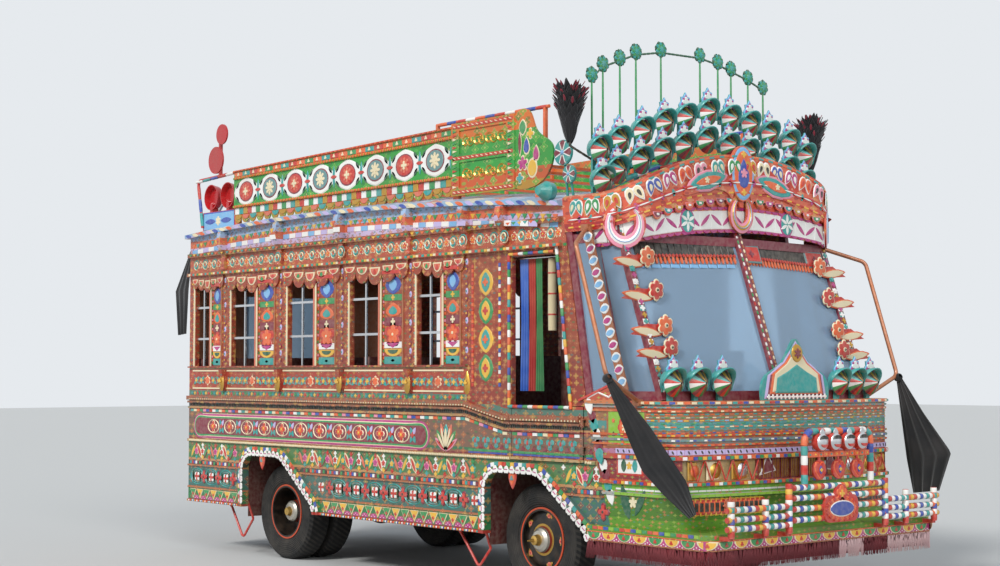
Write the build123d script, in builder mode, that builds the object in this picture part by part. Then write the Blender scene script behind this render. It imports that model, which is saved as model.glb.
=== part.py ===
"""A coach-built, richly decorated city minibus on a light-truck chassis.

Millimetres, +X forward, +Y to the vehicle's left, +Z up. The origin is on the ground
under the middle of the vehicle. Every name gives a real size or place.
"""
from math import atan2, cos, degrees, hypot, pi, sin, sqrt
import os

from build123d import *

os.makedirs("parts", exist_ok=True)

# Driving dimensions of the vehicle
wheelbase = 3150
rear_axle_x = -1670
front_axle_x = rear_axle_x + wheelbase
half_width = 1100               # outer faces of the side walls
wall = 40                       # a whole side wall, skin to lining
body_back = -3015               # outer face of the rear wall
joint_gap = 0.3                 # running or seating gap between separate pieces

# Wheels
tyre_radius = 385
tyre_width = 205
bead_radius = 205
flange_radius = 220
wheel_y = 882.5                 # centre plane of the front and of the outer rear tyres
twin_spacing = 235
kingpin_y = 790
axle_z = tyre_radius

# Heights of the body side, from the ground
skirt_z = 406
floor_z = 780
floor_thick = 40
belt_z = 936                    # cream moulding above the arches
waist_z = 1310                  # ribbed waist moulding, rear part
cab_waist_z = 1219              # the same moulding beside the cab
sill_z = 1561
band_z = 2355                   # strip above the windows
arch_top_z = 850
eave_apex_x = -1000             # where the curved eave is highest
eave_apex_z = 2750
eave_radius = 33000

# Lengthwise places of the body side
pillars = (-2422, -1560, -694, 179, 836)
kink_front_x = 1250             # where the waist has come down beside the cab
cab_opening_back = 1317
cab_opening_top_front = 1776
cab_opening_low_front = 1907
cab_opening_top_z = 2312
cab_opening_low_z = 1300
post_low_x = 2085               # front edge of the leaning door post at the cab waist
post_lean = 0.177               # how far it leans back for each millimetre of height
post_low_lean = 0.30            # the same below the cab waist
nose_front_x = 2950
nose_top_z = 1340
nose_bottom_z = 540
nose_corner = 300
roof_front_x = 2380


def eave_z(x, above=0):
    """Height of the curved eave line at x."""
    radius = eave_radius + above
    return eave_apex_z - eave_radius + sqrt(radius ** 2 - (x - eave_apex_x) ** 2)


def post_x(z):
    """Front edge of the leaning door post at height z."""
    lean = post_lean if z > cab_waist_z else post_low_lean
    return post_low_x - lean * (z - cab_waist_z)


def save(piece, name):
    """Label a finished piece and write it."""
    piece.label = name
    export_step(piece, f"parts/{name}.step")


def side_plate(points, low=wall, thick=wall):
    """A plate in the right-hand wall: its inner face stands low inside the outer face."""
    with BuildPart() as plate:
        with BuildSketch(Plane.XZ.offset(half_width - low)):
            Polygon(*points, align=None)
        extrude(amount=thick)
    return plate.part


def box(x, y, z):
    """A plain block between two corners, each given as a pair of limits."""
    with BuildPart() as block:
        with Locations(((x[0] + x[1]) / 2, (y[0] + y[1]) / 2, (z[0] + z[1]) / 2)):
            Box(abs(x[1] - x[0]), abs(y[1] - y[0]), abs(z[1] - z[0]))
    return block.part


def bar(start, end, width, depth, across=(0, 1, 0)):
    """A straight rectangular bar; width lies along across."""
    line = Vector(*end) - Vector(*start)
    with BuildPart() as straight:
        with BuildSketch(Plane(origin=start, x_dir=across, z_dir=line)):
            Rectangle(width, depth)
        extrude(amount=line.length)
    return straight.part


def rod(start, end, radius):
    """A straight round bar."""
    line = Vector(*end) - Vector(*start)
    with BuildPart() as straight:
        with BuildSketch(Plane(origin=start, z_dir=line)):
            Circle(radius)
        extrude(amount=line.length)
    return straight.part


def bent_tube(points, bend, radius):
    """A round bar bent at each middle point."""
    with BuildPart() as tube:
        with BuildLine() as path:
            FilletPolyline(*points, radius=bend)
        start = path.wires()[0] @ 0
        direction = path.wires()[0] % 0
        with BuildSketch(Plane(origin=start, z_dir=direction)):
            Circle(radius)
        sweep(path=path.wires()[0])
    return tube.part


def pane(corners, thick):
    """A flat sheet with the given corners, thickened to its outer side."""
    origin = Vector(*corners[0])
    along = Vector(*corners[1]) - origin
    normal = along.cross(Vector(*corners[-1]) - origin)
    plane = Plane(origin=origin, x_dir=along, z_dir=normal)
    local = [plane.to_local_coords(Vector(*corner)) for corner in corners]
    with BuildPart() as sheet:
        with BuildSketch(plane):
            Polygon(*[(point.X, point.Y) for point in local], align=None)
        extrude(amount=thick)
    return sheet.part


def cab_band(low, high, back, front, half, radius, thick):
    """A band round the front of the cab, open at the back, with two rounded corners."""
    with BuildPart() as band:
        with BuildSketch(Plane.XY.offset(low)):
            with Locations(((back + front) / 2, 0)):
                Rectangle(front - back, 2 * half)
            fillet(vertices().group_by(Axis.X)[-1], radius)
        extrude(amount=high - low)
        with BuildSketch(Plane.XY.offset(low)):
            with Locations(((back + front - thick) / 2, 0)):
                Rectangle(front - back - thick, 2 * (half - thick))
            fillet(vertices().group_by(Axis.X)[-1], max(radius - thick, 1))
        extrude(amount=high - low, mode=Mode.SUBTRACT)
    return band.part


def mirrored(piece):
    """The same piece on the other side of the vehicle."""
    return piece.mirror(Plane.XZ)


# Chassis frame: two channel rails, crossmembers, spring hangers and floor bearers
rail_y = 380
rail_width = 70
rail_low_z = 600
rail_high_z = 750
rail_skin = 8
rail_back = -2950
rail_front = 2870
crossmember_x = (-2900, -2250, -1050, -150, 500, 2300, 2830)
bearer_x = (-2900, -2300, -1000, -400, 200, 900, 2330, 2525)
bearer_width = 60
spring_half = 540
spring_eye_radius = 22
spring_eye_z = 560

with BuildPart() as chassis_frame:
    with BuildSketch(Plane.YZ.offset(rail_back)):
        for side in (-1, 1):
            web_y = side * (rail_y - rail_width / 2 + rail_skin / 2)
            with Locations((web_y, (rail_low_z + rail_high_z) / 2)):
                Rectangle(rail_skin, rail_high_z - rail_low_z)
            with Locations((side * rail_y, rail_low_z + rail_skin / 2),
                           (side * rail_y, rail_high_z - rail_skin / 2)):
                Rectangle(rail_width, rail_skin)
    extrude(amount=rail_front - rail_back)
    with Locations(*[(x, 0, (rail_low_z + rail_high_z) / 2) for x in crossmember_x]):
        Box(60, 2 * rail_y - rail_width, 100)
    with Locations(*[(x, 0, (rail_high_z + floor_z) / 2) for x in bearer_x]):
        Box(bearer_width, 2 * (half_width - wall) - 20, floor_z - rail_high_z)
    hanger_low = spring_eye_z + spring_eye_radius + joint_gap
    with Locations(*[(axle + end * spring_half, side * rail_y, (hanger_low + rail_low_z) / 2)
                     for axle in (rear_axle_x, front_axle_x)
                     for end in (-1, 1) for side in (-1, 1)]):
        Box(60, rail_width, rail_low_z - hanger_low)
save(chassis_frame.part, "chassis_frame")

# Leaf springs: each pack is a main leaf with two eyes and shorter leaves below
beam_half_height = 40
leaf_thick = 12
spring_width = 60
spring_seat_z = axle_z + 55 + joint_gap
leaf_lengths = (1.0, 0.72, 0.45)

with BuildPart() as leaf_springs:
    for axle in (rear_axle_x, front_axle_x):
        for side in (-1, 1):
            with BuildSketch(Plane.XZ.offset(-side * rail_y - spring_width / 2)):
                for number, share in enumerate(leaf_lengths):
                    reach = spring_half * share
                    low = spring_seat_z + (len(leaf_lengths) - 1 - number) * leaf_thick
                    rise = (spring_eye_z - low) * share ** 2
                    with BuildLine():
                        lower = ThreePointArc((axle - reach, low + rise), (axle, low),
                                              (axle + reach, low + rise))
                        upper = ThreePointArc((axle - reach, low + rise + leaf_thick),
                                              (axle, low + leaf_thick),
                                              (axle + reach, low + rise + leaf_thick))
                        Line(lower @ 0, upper @ 0)
                        Line(lower @ 1, upper @ 1)
                    make_face()
                with Locations((axle - spring_half, spring_eye_z), (axle + spring_half, spring_eye_z)):
                    Circle(spring_eye_radius)
            extrude(amount=spring_width)
save(leaf_springs.part, "leaf_springs")

# Front axle beam with a boss for each kingpin
boss_radius = 34
boss_half_height = 45
pin_radius = 14
beam_depth = 70

with BuildPart() as front_axle:
    with Locations((front_axle_x, 0, axle_z)):
        Box(beam_depth, 2 * kingpin_y, 2 * beam_half_height)
    for side in (-1, 1):
        with Locations((front_axle_x, side * kingpin_y, axle_z)):
            Cylinder(boss_radius, 2 * boss_half_height)
        with Locations((front_axle_x, side * rail_y, axle_z + (beam_half_height + 55) / 2)):
            Box(beam_depth + 50, spring_width + 20, 55 - beam_half_height)
    with Locations((front_axle_x, -kingpin_y, axle_z), (front_axle_x, kingpin_y, axle_z)):
        Cylinder(pin_radius + joint_gap, 4 * boss_half_height, mode=Mode.SUBTRACT)
save(front_axle.part, "front_axle")

# Steering knuckles: ears above and below the boss, kingpin, back plate, stub and arm
ear_thick = 38
ear_low_z = axle_z - boss_half_height - joint_gap - ear_thick
ear_high_z = axle_z + boss_half_height + joint_gap + ear_thick
stub_radius = 28
stub_end_y = 905
plate_y = kingpin_y + boss_radius + 8
plate_radius = 150
steering_arm = 120
rod_eye_radius = 20
rod_pin_radius = 9
rod_eye_height = 22

for side, name in ((-1, "right"), (1, "left")):
    with BuildPart() as knuckle:
        inner_y = kingpin_y - boss_radius
        for low, high in ((ear_low_z, ear_low_z + ear_thick), (ear_high_z - ear_thick, ear_high_z)):
            with Locations((front_axle_x, side * (inner_y + plate_y) / 2, (low + high) / 2)):
                Box(76, plate_y - inner_y, high - low)
        with Locations((front_axle_x, side * (plate_y + 3), axle_z)):
            Cylinder(plate_radius, 6, rotation=(90, 0, 0))
        with Locations((front_axle_x, side * (plate_y + stub_end_y) / 2, axle_z)):
            Cylinder(stub_radius, stub_end_y - plate_y, rotation=(90, 0, 0))
        with Locations((front_axle_x, side * kingpin_y, axle_z)):
            Cylinder(pin_radius, ear_high_z - ear_low_z)
        arm_y = kingpin_y
        arm_points = [(front_axle_x + 30, side * (kingpin_y - 28)),
                      (front_axle_x + 30, side * (kingpin_y + 28)),
                      (front_axle_x - steering_arm, side * (arm_y + rod_eye_radius)),
                      (front_axle_x - steering_arm, side * (arm_y - rod_eye_radius))]
        with BuildSketch(Plane.XY.offset(ear_low_z)):
            Polygon(*arm_points, align=None)
            with Locations((front_axle_x - steering_arm, side * arm_y)):
                Circle(rod_eye_radius)
        extrude(amount=20)
        with Locations((front_axle_x - steering_arm, side * arm_y, ear_low_z - rod_eye_height / 2 - 3)):
            Cylinder(rod_pin_radius, rod_eye_height + 6)
    save(knuckle.part, f"knuckle_{name}")

# Tie rod between the two steering arms
with BuildPart() as tie_rod:
    rod_z = ear_low_z - joint_gap - rod_eye_height / 2
    eye_x = front_axle_x - steering_arm
    with Locations((eye_x, 0, rod_z)):
        Cylinder(10, 2 * (kingpin_y - 14), rotation=(90, 0, 0))
    for side in (-1, 1):
        with Locations((eye_x, side * kingpin_y, rod_z)):
            Cylinder(rod_eye_radius, rod_eye_height)
    with Locations((eye_x, -kingpin_y, rod_z), (eye_x, kingpin_y, rod_z)):
        Cylinder(rod_pin_radius + joint_gap, 3 * rod_eye_height, mode=Mode.SUBTRACT)
save(tie_rod.part, "tie_rod")

# Rear axle: tube, differential, spindles and the propeller shaft up to the gearbox
twin_mid_y = wheel_y - twin_spacing / 2
hub_inner_y = 565
spindle_radius = 45
spindle_end_y = 860
gearbox_back_x = 700
gearbox_z = 600
shaft_end_x = gearbox_back_x - joint_gap

with BuildPart() as rear_axle:
    with Locations((rear_axle_x, 0, axle_z)):
        Cylinder(55, 2 * (hub_inner_y - 8), rotation=(90, 0, 0))
        Cylinder(spindle_radius, 2 * spindle_end_y, rotation=(90, 0, 0))
        Sphere(150)
    nose_start = (rear_axle_x, 0, axle_z)
    nose_end = (rear_axle_x + 260, 0, axle_z + 24)
    add(rod(nose_start, nose_end, 60))
    add(rod(nose_end, (shaft_end_x - 10, 0, gearbox_z - 8), 38))
    add(box((shaft_end_x - 40, shaft_end_x), (-60, 60), (gearbox_z - 62, gearbox_z + 48)))
save(rear_axle.part, "rear_axle")

# Engine and gearbox: one closed block between the rails, hung from them by four brackets
engine_back_x = 1380
engine_front_x = 2200
engine_half_width = 240
engine_low_z = 470
engine_high_z = 1060

with BuildPart() as engine_block:
    add(box((engine_back_x, engine_front_x), (-engine_half_width, engine_half_width),
            (engine_low_z, engine_high_z)))
    add(box((gearbox_back_x, engine_back_x), (-130, 130), (gearbox_z - 130, gearbox_z + 120)))
    rail_inner_y = rail_y - rail_width / 2
    with Locations(*[(x, 0, 670) for x in (engine_back_x + 120, engine_front_x - 120)]):
        Box(90, 2 * (rail_inner_y - joint_gap), 40)
save(engine_block.part, "engine_block")

# Exhaust: pipe beside the gearbox, silencer, tail pipe, hung from the right-hand rail
exhaust_y = -255
exhaust_z = 535
tail_z = 365

with BuildPart() as exhaust_pipe:
    add(rod((engine_back_x - joint_gap, exhaust_y + 40, exhaust_z), (600, exhaust_y + 40, exhaust_z), 24))
    add(rod((660, exhaust_y + 50, exhaust_z), (540, exhaust_y - 10, exhaust_z), 23))
    add(rod((600, exhaust_y, exhaust_z), (-2600, exhaust_y, exhaust_z), 24))
    add(rod((-2590, exhaust_y, exhaust_z), (-2810, exhaust_y, tail_z), 24))
    add(rod((-2800, exhaust_y, tail_z), (-3020, exhaust_y, tail_z), 24))
    with Locations((-100, exhaust_y, exhaust_z)):
        Cylinder(72, 620, rotation=(0, 90, 0))
    for x in (-2500, -100, 560):
        add(box((x - 15, x + 15), (exhaust_y, -rail_inner_y + joint_gap), (exhaust_z + 20, rail_low_z + 40)))
save(exhaust_pipe.part, "exhaust_pipe")

# Fuel tank outside the right-hand rail
tank_x = (-620, 120)
tank_y = (-860, -rail_y - rail_width / 2 - joint_gap)

with BuildPart() as fuel_tank:
    with BuildSketch(Plane.YZ.offset(tank_x[0])):
        with Locations(((tank_y[0] + tank_y[1]) / 2, 590)):
            RectangleRounded(tank_y[1] - tank_y[0] - 20, 290, 60)
        with Locations((tank_y[1] - 30, 632)):
            Rectangle(60, 80)
    extrude(amount=tank_x[1] - tank_x[0])
save(fuel_tank.part, "fuel_tank")

# Tyres: closed rings with rounded shoulders
def tyre(centre_y):
    """One tyre, centred on the axle line at the origin."""
    half = tyre_width / 2
    shoulder = 26
    profile = [(centre_y - 76.7, bead_radius), (centre_y - 76.7, flange_radius + 3),
               (centre_y - half + 6, bead_radius + 46), (centre_y - half, bead_radius + 90),
               (centre_y - half + 8, tyre_radius - shoulder),
               (centre_y - half + 30, tyre_radius - 4), (centre_y, tyre_radius),
               (centre_y + half - 30, tyre_radius - 4), (centre_y + half - 8, tyre_radius - shoulder),
               (centre_y + half, bead_radius + 90), (centre_y + half - 6, bead_radius + 46),
               (centre_y + 76.7, flange_radius + 3), (centre_y + 76.7, bead_radius)]
    with BuildPart() as ring:
        with BuildSketch(Plane.YZ):
            Polygon(*profile, align=None)
        revolve(axis=Axis.Y)
    return ring.part


def rim_ring(centre_y, rim_skin=9):
    """Barrel of a rim with a flange at each edge."""
    profile = [(centre_y - 84, flange_radius), (centre_y - 77, flange_radius),
               (centre_y - 77, bead_radius - joint_gap), (centre_y + 77, bead_radius - joint_gap),
               (centre_y + 77, flange_radius), (centre_y + 84, flange_radius),
               (centre_y + 84, bead_radius - rim_skin), (centre_y - 84, bead_radius - rim_skin)]
    with BuildPart() as ring:
        with BuildSketch(Plane.YZ):
            Polygon(*profile, align=None)
        revolve(axis=Axis.Y)
    return ring.part


hub_front_inner_y = plate_y + 6 + 7
front_hub_profile = [(hub_front_inner_y, 0), (hub_front_inner_y, 78), (940, 78), (940, 150), (925, 197),
                     (934, 197), (950, 150), (956, 92), (985, 80), (1000, 62), (1003, 40), (1040, 32),
                     (1046, 14), (1095, 4), (1095, 0)]
rear_hub_profile = [(hub_inner_y, 0), (hub_inner_y, 84), (twin_mid_y - 8, 84), (twin_mid_y - 8, 197),
                    (twin_mid_y + 8, 197), (twin_mid_y + 8, 100), (850, 92), (915, 84), (930, 70),
                    (936, 38), (962, 30), (962, 0)]

for side, name in ((-1, "right"), (1, "left")):
    with BuildPart() as front_tyre:
        with Locations((front_axle_x, 0, axle_z)):
            add(tyre(side * wheel_y))
    save(front_tyre.part, f"tyre_front_{name}")

    with BuildPart() as front_rim:
        with BuildSketch(Plane.YZ):
            Polygon(*[(side * y, r) for y, r in front_hub_profile], align=None)
        revolve(axis=Axis.Y)
        add(rim_ring(side * wheel_y))
        with Locations((0, side * (hub_front_inner_y + stub_end_y + 1) / 2, 0)):
            Cylinder(stub_radius + joint_gap, stub_end_y + 1 - hub_front_inner_y, rotation=(90, 0, 0),
                     mode=Mode.SUBTRACT)
    placed = front_rim.part.moved(Location((front_axle_x, 0, axle_z)))
    save(placed, f"rim_front_{name}")

    with BuildPart() as rear_tyres:
        with Locations((rear_axle_x, 0, axle_z)):
            add(tyre(side * wheel_y))
            add(tyre(side * (wheel_y - twin_spacing)))
    save(rear_tyres.part, f"tyres_rear_{name}")

    with BuildPart() as rear_rim:
        with BuildSketch(Plane.YZ):
            Polygon(*[(side * y, r) for y, r in rear_hub_profile], align=None)
        revolve(axis=Axis.Y)
        add(rim_ring(side * wheel_y))
        add(rim_ring(side * (wheel_y - twin_spacing)))
        spacer = [(side * y, r) for y in (wheel_y - twin_spacing + 77, wheel_y - 77) for r in (196, 204)]
        with BuildSketch(Plane.YZ):
            Polygon(spacer[0], spacer[1], spacer[3], spacer[2], align=None)
        revolve(axis=Axis.Y)
        with Locations((0, side * (hub_inner_y + spindle_end_y + 1) / 2, 0)):
            Cylinder(spindle_radius + joint_gap, spindle_end_y + 1 - hub_inner_y, rotation=(90, 0, 0),
                     mode=Mode.SUBTRACT)
    placed = rear_rim.part.moved(Location((rear_axle_x, 0, axle_z)))
    save(placed, f"rim_rear_{name}")

# Floor with raised boxes over the wheels, a hatch for the engine and a step well on the left
inside_y = half_width - wall
floor_front = 2560
wheel_box_half = 470
wheel_box_z = 900
wheel_box_y = 520
engine_hatch = (engine_back_x - 40, engine_front_x + 40)
doorway = (260, 830)
step_z = 470

with BuildPart() as floor:
    add(box((body_back + wall, floor_front), (-inside_y, inside_y), (floor_z, floor_z + floor_thick)))
    for axle in (rear_axle_x, front_axle_x):
        for low, high in ((-inside_y, -wheel_box_y), (wheel_box_y, inside_y)):
            reach = (axle - wheel_box_half, axle + wheel_box_half)
            add(box(reach, (low, high), (floor_z, wheel_box_z)))
            inner_low = low if low < 0 else low + 20
            inner_high = high if low > 0 else high - 20
            hollow = (floor_z - 1, wheel_box_z - 20)
            add(box((reach[0] + 20, reach[1] - 20), (inner_low, inner_high), hollow), mode=Mode.SUBTRACT)
    add(box((engine_hatch[0] + 20, engine_hatch[1] - 20), (-engine_half_width - 10, engine_half_width + 10),
            (floor_z - 1, floor_z + floor_thick + 1)), mode=Mode.SUBTRACT)
    add(box(engine_hatch, (-engine_half_width - 30, engine_half_width + 30),
            (floor_z + floor_thick, engine_high_z + 60)))
    add(box((engine_hatch[0] + 20, engine_hatch[1] - 20), (-engine_half_width - 10, engine_half_width + 10),
            (floor_z, engine_high_z + 40)), mode=Mode.SUBTRACT)
    add(box(doorway, (inside_y - 330, inside_y), (step_z, floor_z + floor_thick)))
    add(box((doorway[0] + 20, doorway[1] - 20), (inside_y - 310, inside_y + 1),
            (step_z + 20, floor_z + floor_thick + 1)), mode=Mode.SUBTRACT)
save(floor.part, "floor")


def wheel_arch(axle, grow=0):
    """Points of a wheel arch: upright behind, sloping down in front."""
    return [(axle - 430 - grow, 300), (axle - 430 - grow, arch_top_z + grow),
            (axle + 150 + grow / 3, arch_top_z + grow), (axle + 590 + grow, 500 + grow / 2),
            (axle + 640 + grow, 300)]


def arch_plate(axle, grow, low, thick):
    """A plate of the arch's shape, to cut the wall or to make its trim."""
    with BuildPart() as plate:
        with BuildSketch(Plane.XZ.offset(half_width - low)):
            Polygon(*wheel_arch(axle, grow), align=None)
            upper = vertices().filter_by_position(Axis.Y, arch_top_z - 1, arch_top_z + 200)
            fillet(upper, 140 + grow)
        extrude(amount=thick)
    return plate.part


# Lower side walls: skin, ribs, kinked waist moulding and roped trim round the arches
rib_rows = (  # bottom z, top z, how far it stands out
    (skirt_z, skirt_z + 18, 14),
    (524, 538, 10),
    (712, 726, 12),
    (belt_z - 12, belt_z + 10, 16),
)
waist_rows = (  # offset below the waist line: bottom, top, how far it stands out
    (-26, 8, 30),
    (-52, -34, 20),
    (-98, -84, 12),
)
skirt_front_x = 2000
skirt_outline = [(body_back, skirt_z), (skirt_front_x, skirt_z), (skirt_front_x, nose_bottom_z),
                 (post_x(nose_bottom_z), nose_bottom_z), (post_x(cab_waist_z), cab_waist_z),
                 (post_x(cab_opening_low_z), cab_opening_low_z), (pillars[-1], cab_opening_low_z),
                 (pillars[-1], sill_z), (body_back, sill_z)]


def waist_line(offset):
    """The kinked waist line, moved up by an offset."""
    return [(body_back, waist_z + offset), (pillars[-1] - 14, waist_z + offset),
            (kink_front_x, cab_waist_z + offset), (post_x(cab_waist_z) - 4, cab_waist_z + offset)]


def lower_side():
    """The right-hand lower wall with its mouldings and arches."""
    with BuildPart() as wall_part:
        add(side_plate(skirt_outline))
        for low, high, out in rib_rows:
            front = post_x(high) - 4
            add(side_plate([(body_back, low), (front, low), (front, high), (body_back, high)], 2, out + 2))
        for low, high, out in waist_rows:
            strip = waist_line(low) + waist_line(high)[::-1]
            add(side_plate(strip, 0, out))
        for axle in (rear_axle_x, front_axle_x):
            add(arch_plate(axle, 62, 2, 24))
            add(arch_plate(axle, 24, 2, 34))
            add(arch_plate(axle, 0, wall + 1, wall + 60), mode=Mode.SUBTRACT)
        below = [(body_back - 1, 200), (3000, 200), (3000, skirt_z), (body_back - 1, skirt_z)]
        add(side_plate(below, 2, 80), mode=Mode.SUBTRACT)
        front_cut = [(post_x(200), 200), (post_x(cab_waist_z), cab_waist_z), (post_x(1500), 1500),
                     (3400, 1500), (3400, 200)]
        below_nose = [(skirt_front_x, 200), (3000, 200), (3000, nose_bottom_z),
                      (skirt_front_x, nose_bottom_z)]
        add(side_plate(below_nose, 2, 80), mode=Mode.SUBTRACT)
        add(side_plate(front_cut, wall + 1, wall + 80), mode=Mode.SUBTRACT)
        add([pillar_foot(x) for x in pillars[:4]])
    return wall_part.part


def pillar_foot(x):
    """A tapered bracket on the sill under a window pillar."""
    with BuildPart() as foot:
        with BuildSketch(Plane.YZ.offset(x - 24)):
            Polygon((-half_width + 4, 1545), (-half_width - 52, 1545), (-half_width - 44, 1490),
                    (-half_width - 16, 1375), (-half_width + 4, 1360), align=None)
        extrude(amount=48)
    return foot.part


lower_wall = lower_side()
hinge_y = half_width + 16
pin_half = 6
barrel_half = 11
door_gap = 5
driver_door_x = (cab_opening_back + 5, 2036)
driver_door_z = (930, cab_opening_low_z - 5)
driver_hinge = (driver_door_x[1] + 10, (1010, 1190))
passenger_door_x = (doorway[0] + door_gap, doorway[1] - 10)
passenger_door_z = (step_z + 8, 2224)
passenger_hinge = (doorway[1], (620, 1050, 1700, 2100))


def hinge_brackets(x, heights):
    """Pins and their brackets on the right-hand wall, for a door behind x."""
    parts = []
    for z in heights:
        with BuildPart() as pin:
            with Locations((x, -hinge_y, z)):
                Cylinder(pin_half, 60)
        parts.append(pin.part)
        for low in (z - 28, z + 20.3):
            parts.append(box((x - 6, x + 20), (-hinge_y - 8, -half_width + 2), (low, low + 7.7)))
    return parts


def hinge_barrels(x, heights):
    """The barrels of a door's hinges, bored for the pins, with their leaves."""
    parts = []
    for z in heights:
        with BuildPart() as barrel:
            with Locations((x, -hinge_y, z)):
                Cylinder(barrel_half, 40)
            add(box((x - 16, x - 2), (-hinge_y + 2, -hinge_y + 10), (z - 20, z + 20)))
            add(box((x - 36, x - 10), (-hinge_y + 2, -half_width + 2), (z - 20, z + 20)))
            with Locations((x, -hinge_y, z)):
                Cylinder(pin_half + joint_gap, 60, mode=Mode.SUBTRACT)
        parts.append(barrel.part)
    return parts


def door_cut(x, z):
    """A tall block through the right-hand wall between limits of x and z."""
    return box(x, (-half_width - 100, -inside_y + 20), z)


with BuildPart() as lower_side_right:
    add(lower_wall)
    add(door_cut((cab_opening_back, driver_hinge[0]), (driver_door_z[0] - 5, cab_opening_low_z + 1)),
        mode=Mode.SUBTRACT)
    add(box((driver_hinge[0] - 1, driver_hinge[0] + 44), (-half_width - 90, -half_width),
            (driver_door_z[0] - 5, cab_opening_low_z + 1)), mode=Mode.SUBTRACT)
    add(hinge_brackets(*driver_hinge))
save(lower_side_right.part, "lower_side_right")

with BuildPart() as driver_door:
    add(lower_wall)
    add(door_cut(driver_door_x, driver_door_z), mode=Mode.INTERSECT)
    add(box((driver_door_x[1] - 18, driver_door_x[1] + 1), (-half_width - 90, -half_width), driver_door_z),
        mode=Mode.SUBTRACT)
    add(hinge_barrels(*driver_hinge))
save(driver_door.part, "driver_door")

with BuildPart() as lower_left:
    add(lower_wall)
    add(door_cut(doorway, (step_z, sill_z + 1)), mode=Mode.SUBTRACT)
    add(box((doorway[1] - 1, doorway[1] + 34), (-half_width - 90, -half_width), (step_z, sill_z + 1)),
        mode=Mode.SUBTRACT)
    add(hinge_brackets(passenger_hinge[0], passenger_hinge[1][:2]))
save(mirrored(lower_left.part), "lower_side_left")

# Upper side walls: windows, painted shutters, cornice with scroll brackets, valances
shutter_depth = 12
window_low_z = sill_z + 14
window_high_z = band_z - 30
opening_share = (0.12, 0.54)        # the open part of a bay, as shares of its length
shutter_share = (0.59, 0.88)        # the painted shutter beside it
cornice_rows = (  # height share between the band and the eave: bottom, top, how far it stands out
    (0.00, 0.07, 34),
    (0.42, 0.50, 30),
)
bracket_width = 56
bay_edges = (body_back + 30,) + pillars


def bracket(x):
    """A scroll bracket that swells outwards up to the eave."""
    top = eave_z(x) - 6
    with BuildPart() as scroll:
        with BuildSketch(Plane.YZ.offset(x - bracket_width / 2)):
            with BuildLine():
                low = (-half_width + 4, band_z - 6)
                high = (-half_width + 4, top)
                outer = (-half_width - 66, top)
                waist = (-half_width - 22, band_z + (top - band_z) * 0.42)
                Polyline(low, high, outer)
                upper = ThreePointArc(outer, (-half_width - 74, top - (top - band_z) * 0.30), waist)
                ThreePointArc(waist, (-half_width - 34, band_z + (top - band_z) * 0.2), low)
            make_face()
        extrude(amount=bracket_width)
        with Locations((x, -half_width - 26, band_z + 44)):
            Sphere(27)
    return scroll.part


def valance(low_x, high_x):
    """A pierced drop board with a scalloped lower edge over one window."""
    count = 5
    step = (high_x - low_x) / count
    with BuildPart() as board:
        with BuildSketch(Plane.XZ.offset(half_width - 2)):
            with Locations(((low_x + high_x) / 2, band_z - 30)):
                Rectangle(high_x - low_x, 60)
            for number in range(count):
                depth = 58 + 34 * (1 - abs(number - 2) / 2)
                with Locations((low_x + step * (number + 0.5), band_z - depth)):
                    Circle(step / 2)
            with Locations(((low_x + high_x) / 2, band_z + 200)):
                Rectangle(high_x - low_x + 200, 400, mode=Mode.SUBTRACT)
        extrude(amount=16)
    return board.part


def wall_top(x):
    """Top of a wall, just under the roof."""
    return eave_z(x, -joint_gap)


wall_front_top = post_x(wall_top(post_x(2628)))     # where the leaning post meets the eave


def upper_side():
    """The right-hand upper wall from the sill to the eave."""
    front_top = wall_front_top
    with BuildPart() as wall_part:
        with BuildSketch(Plane.XZ.offset(half_width - wall)):
            with BuildLine():
                Polyline((wall_front_top, wall_top(wall_front_top)),
                         (post_x(cab_opening_low_z), cab_opening_low_z),
                         (pillars[-1], cab_opening_low_z), (pillars[-1], sill_z), (body_back, sill_z),
                         (body_back, wall_top(body_back)))
                ThreePointArc((body_back, wall_top(body_back)), (eave_apex_x, wall_top(eave_apex_x)),
                              (wall_front_top, wall_top(wall_front_top)))
            make_face()
        extrude(amount=wall)
        for low, high, out in cornice_rows:
            rise = eave_z(eave_apex_x) - band_z
            low_z, high_z = band_z + low * rise, band_z + high * rise
            add(side_plate([(body_back, low_z), (front_top, low_z), (front_top, high_z),
                            (body_back, high_z)], 2, out + 2))
        add(side_plate([(body_back, sill_z), (pillars[-1], sill_z), (pillars[-1], sill_z + 12),
                        (body_back, sill_z + 12)], 2, 22))
        for back, front in zip(bay_edges, bay_edges[1:]):
            bay = front - back
            opening = (back + opening_share[0] * bay, back + opening_share[1] * bay)
            add(box(opening, (-half_width - 5, -inside_y + 1), (window_low_z, window_high_z)),
                mode=Mode.SUBTRACT)
            shutter = (back + shutter_share[0] * bay, back + shutter_share[1] * bay)
            add(box(shutter, (-half_width - 5, -half_width + shutter_depth), (window_low_z, window_high_z)),
                mode=Mode.SUBTRACT)
            add(valance(back + 30, front - 20))
        cab_opening = [(cab_opening_back, cab_opening_low_z), (cab_opening_back, cab_opening_top_z),
                       (cab_opening_top_front, cab_opening_top_z),
                       (cab_opening_low_front, cab_opening_low_z)]
        add(side_plate(cab_opening, wall + 1, wall + 60), mode=Mode.SUBTRACT)
        for x in pillars + (kink_front_x,):
            add(bracket(x))
    return wall_part.part


upper_wall = upper_side()
save(upper_wall, "upper_side_right")

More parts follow.
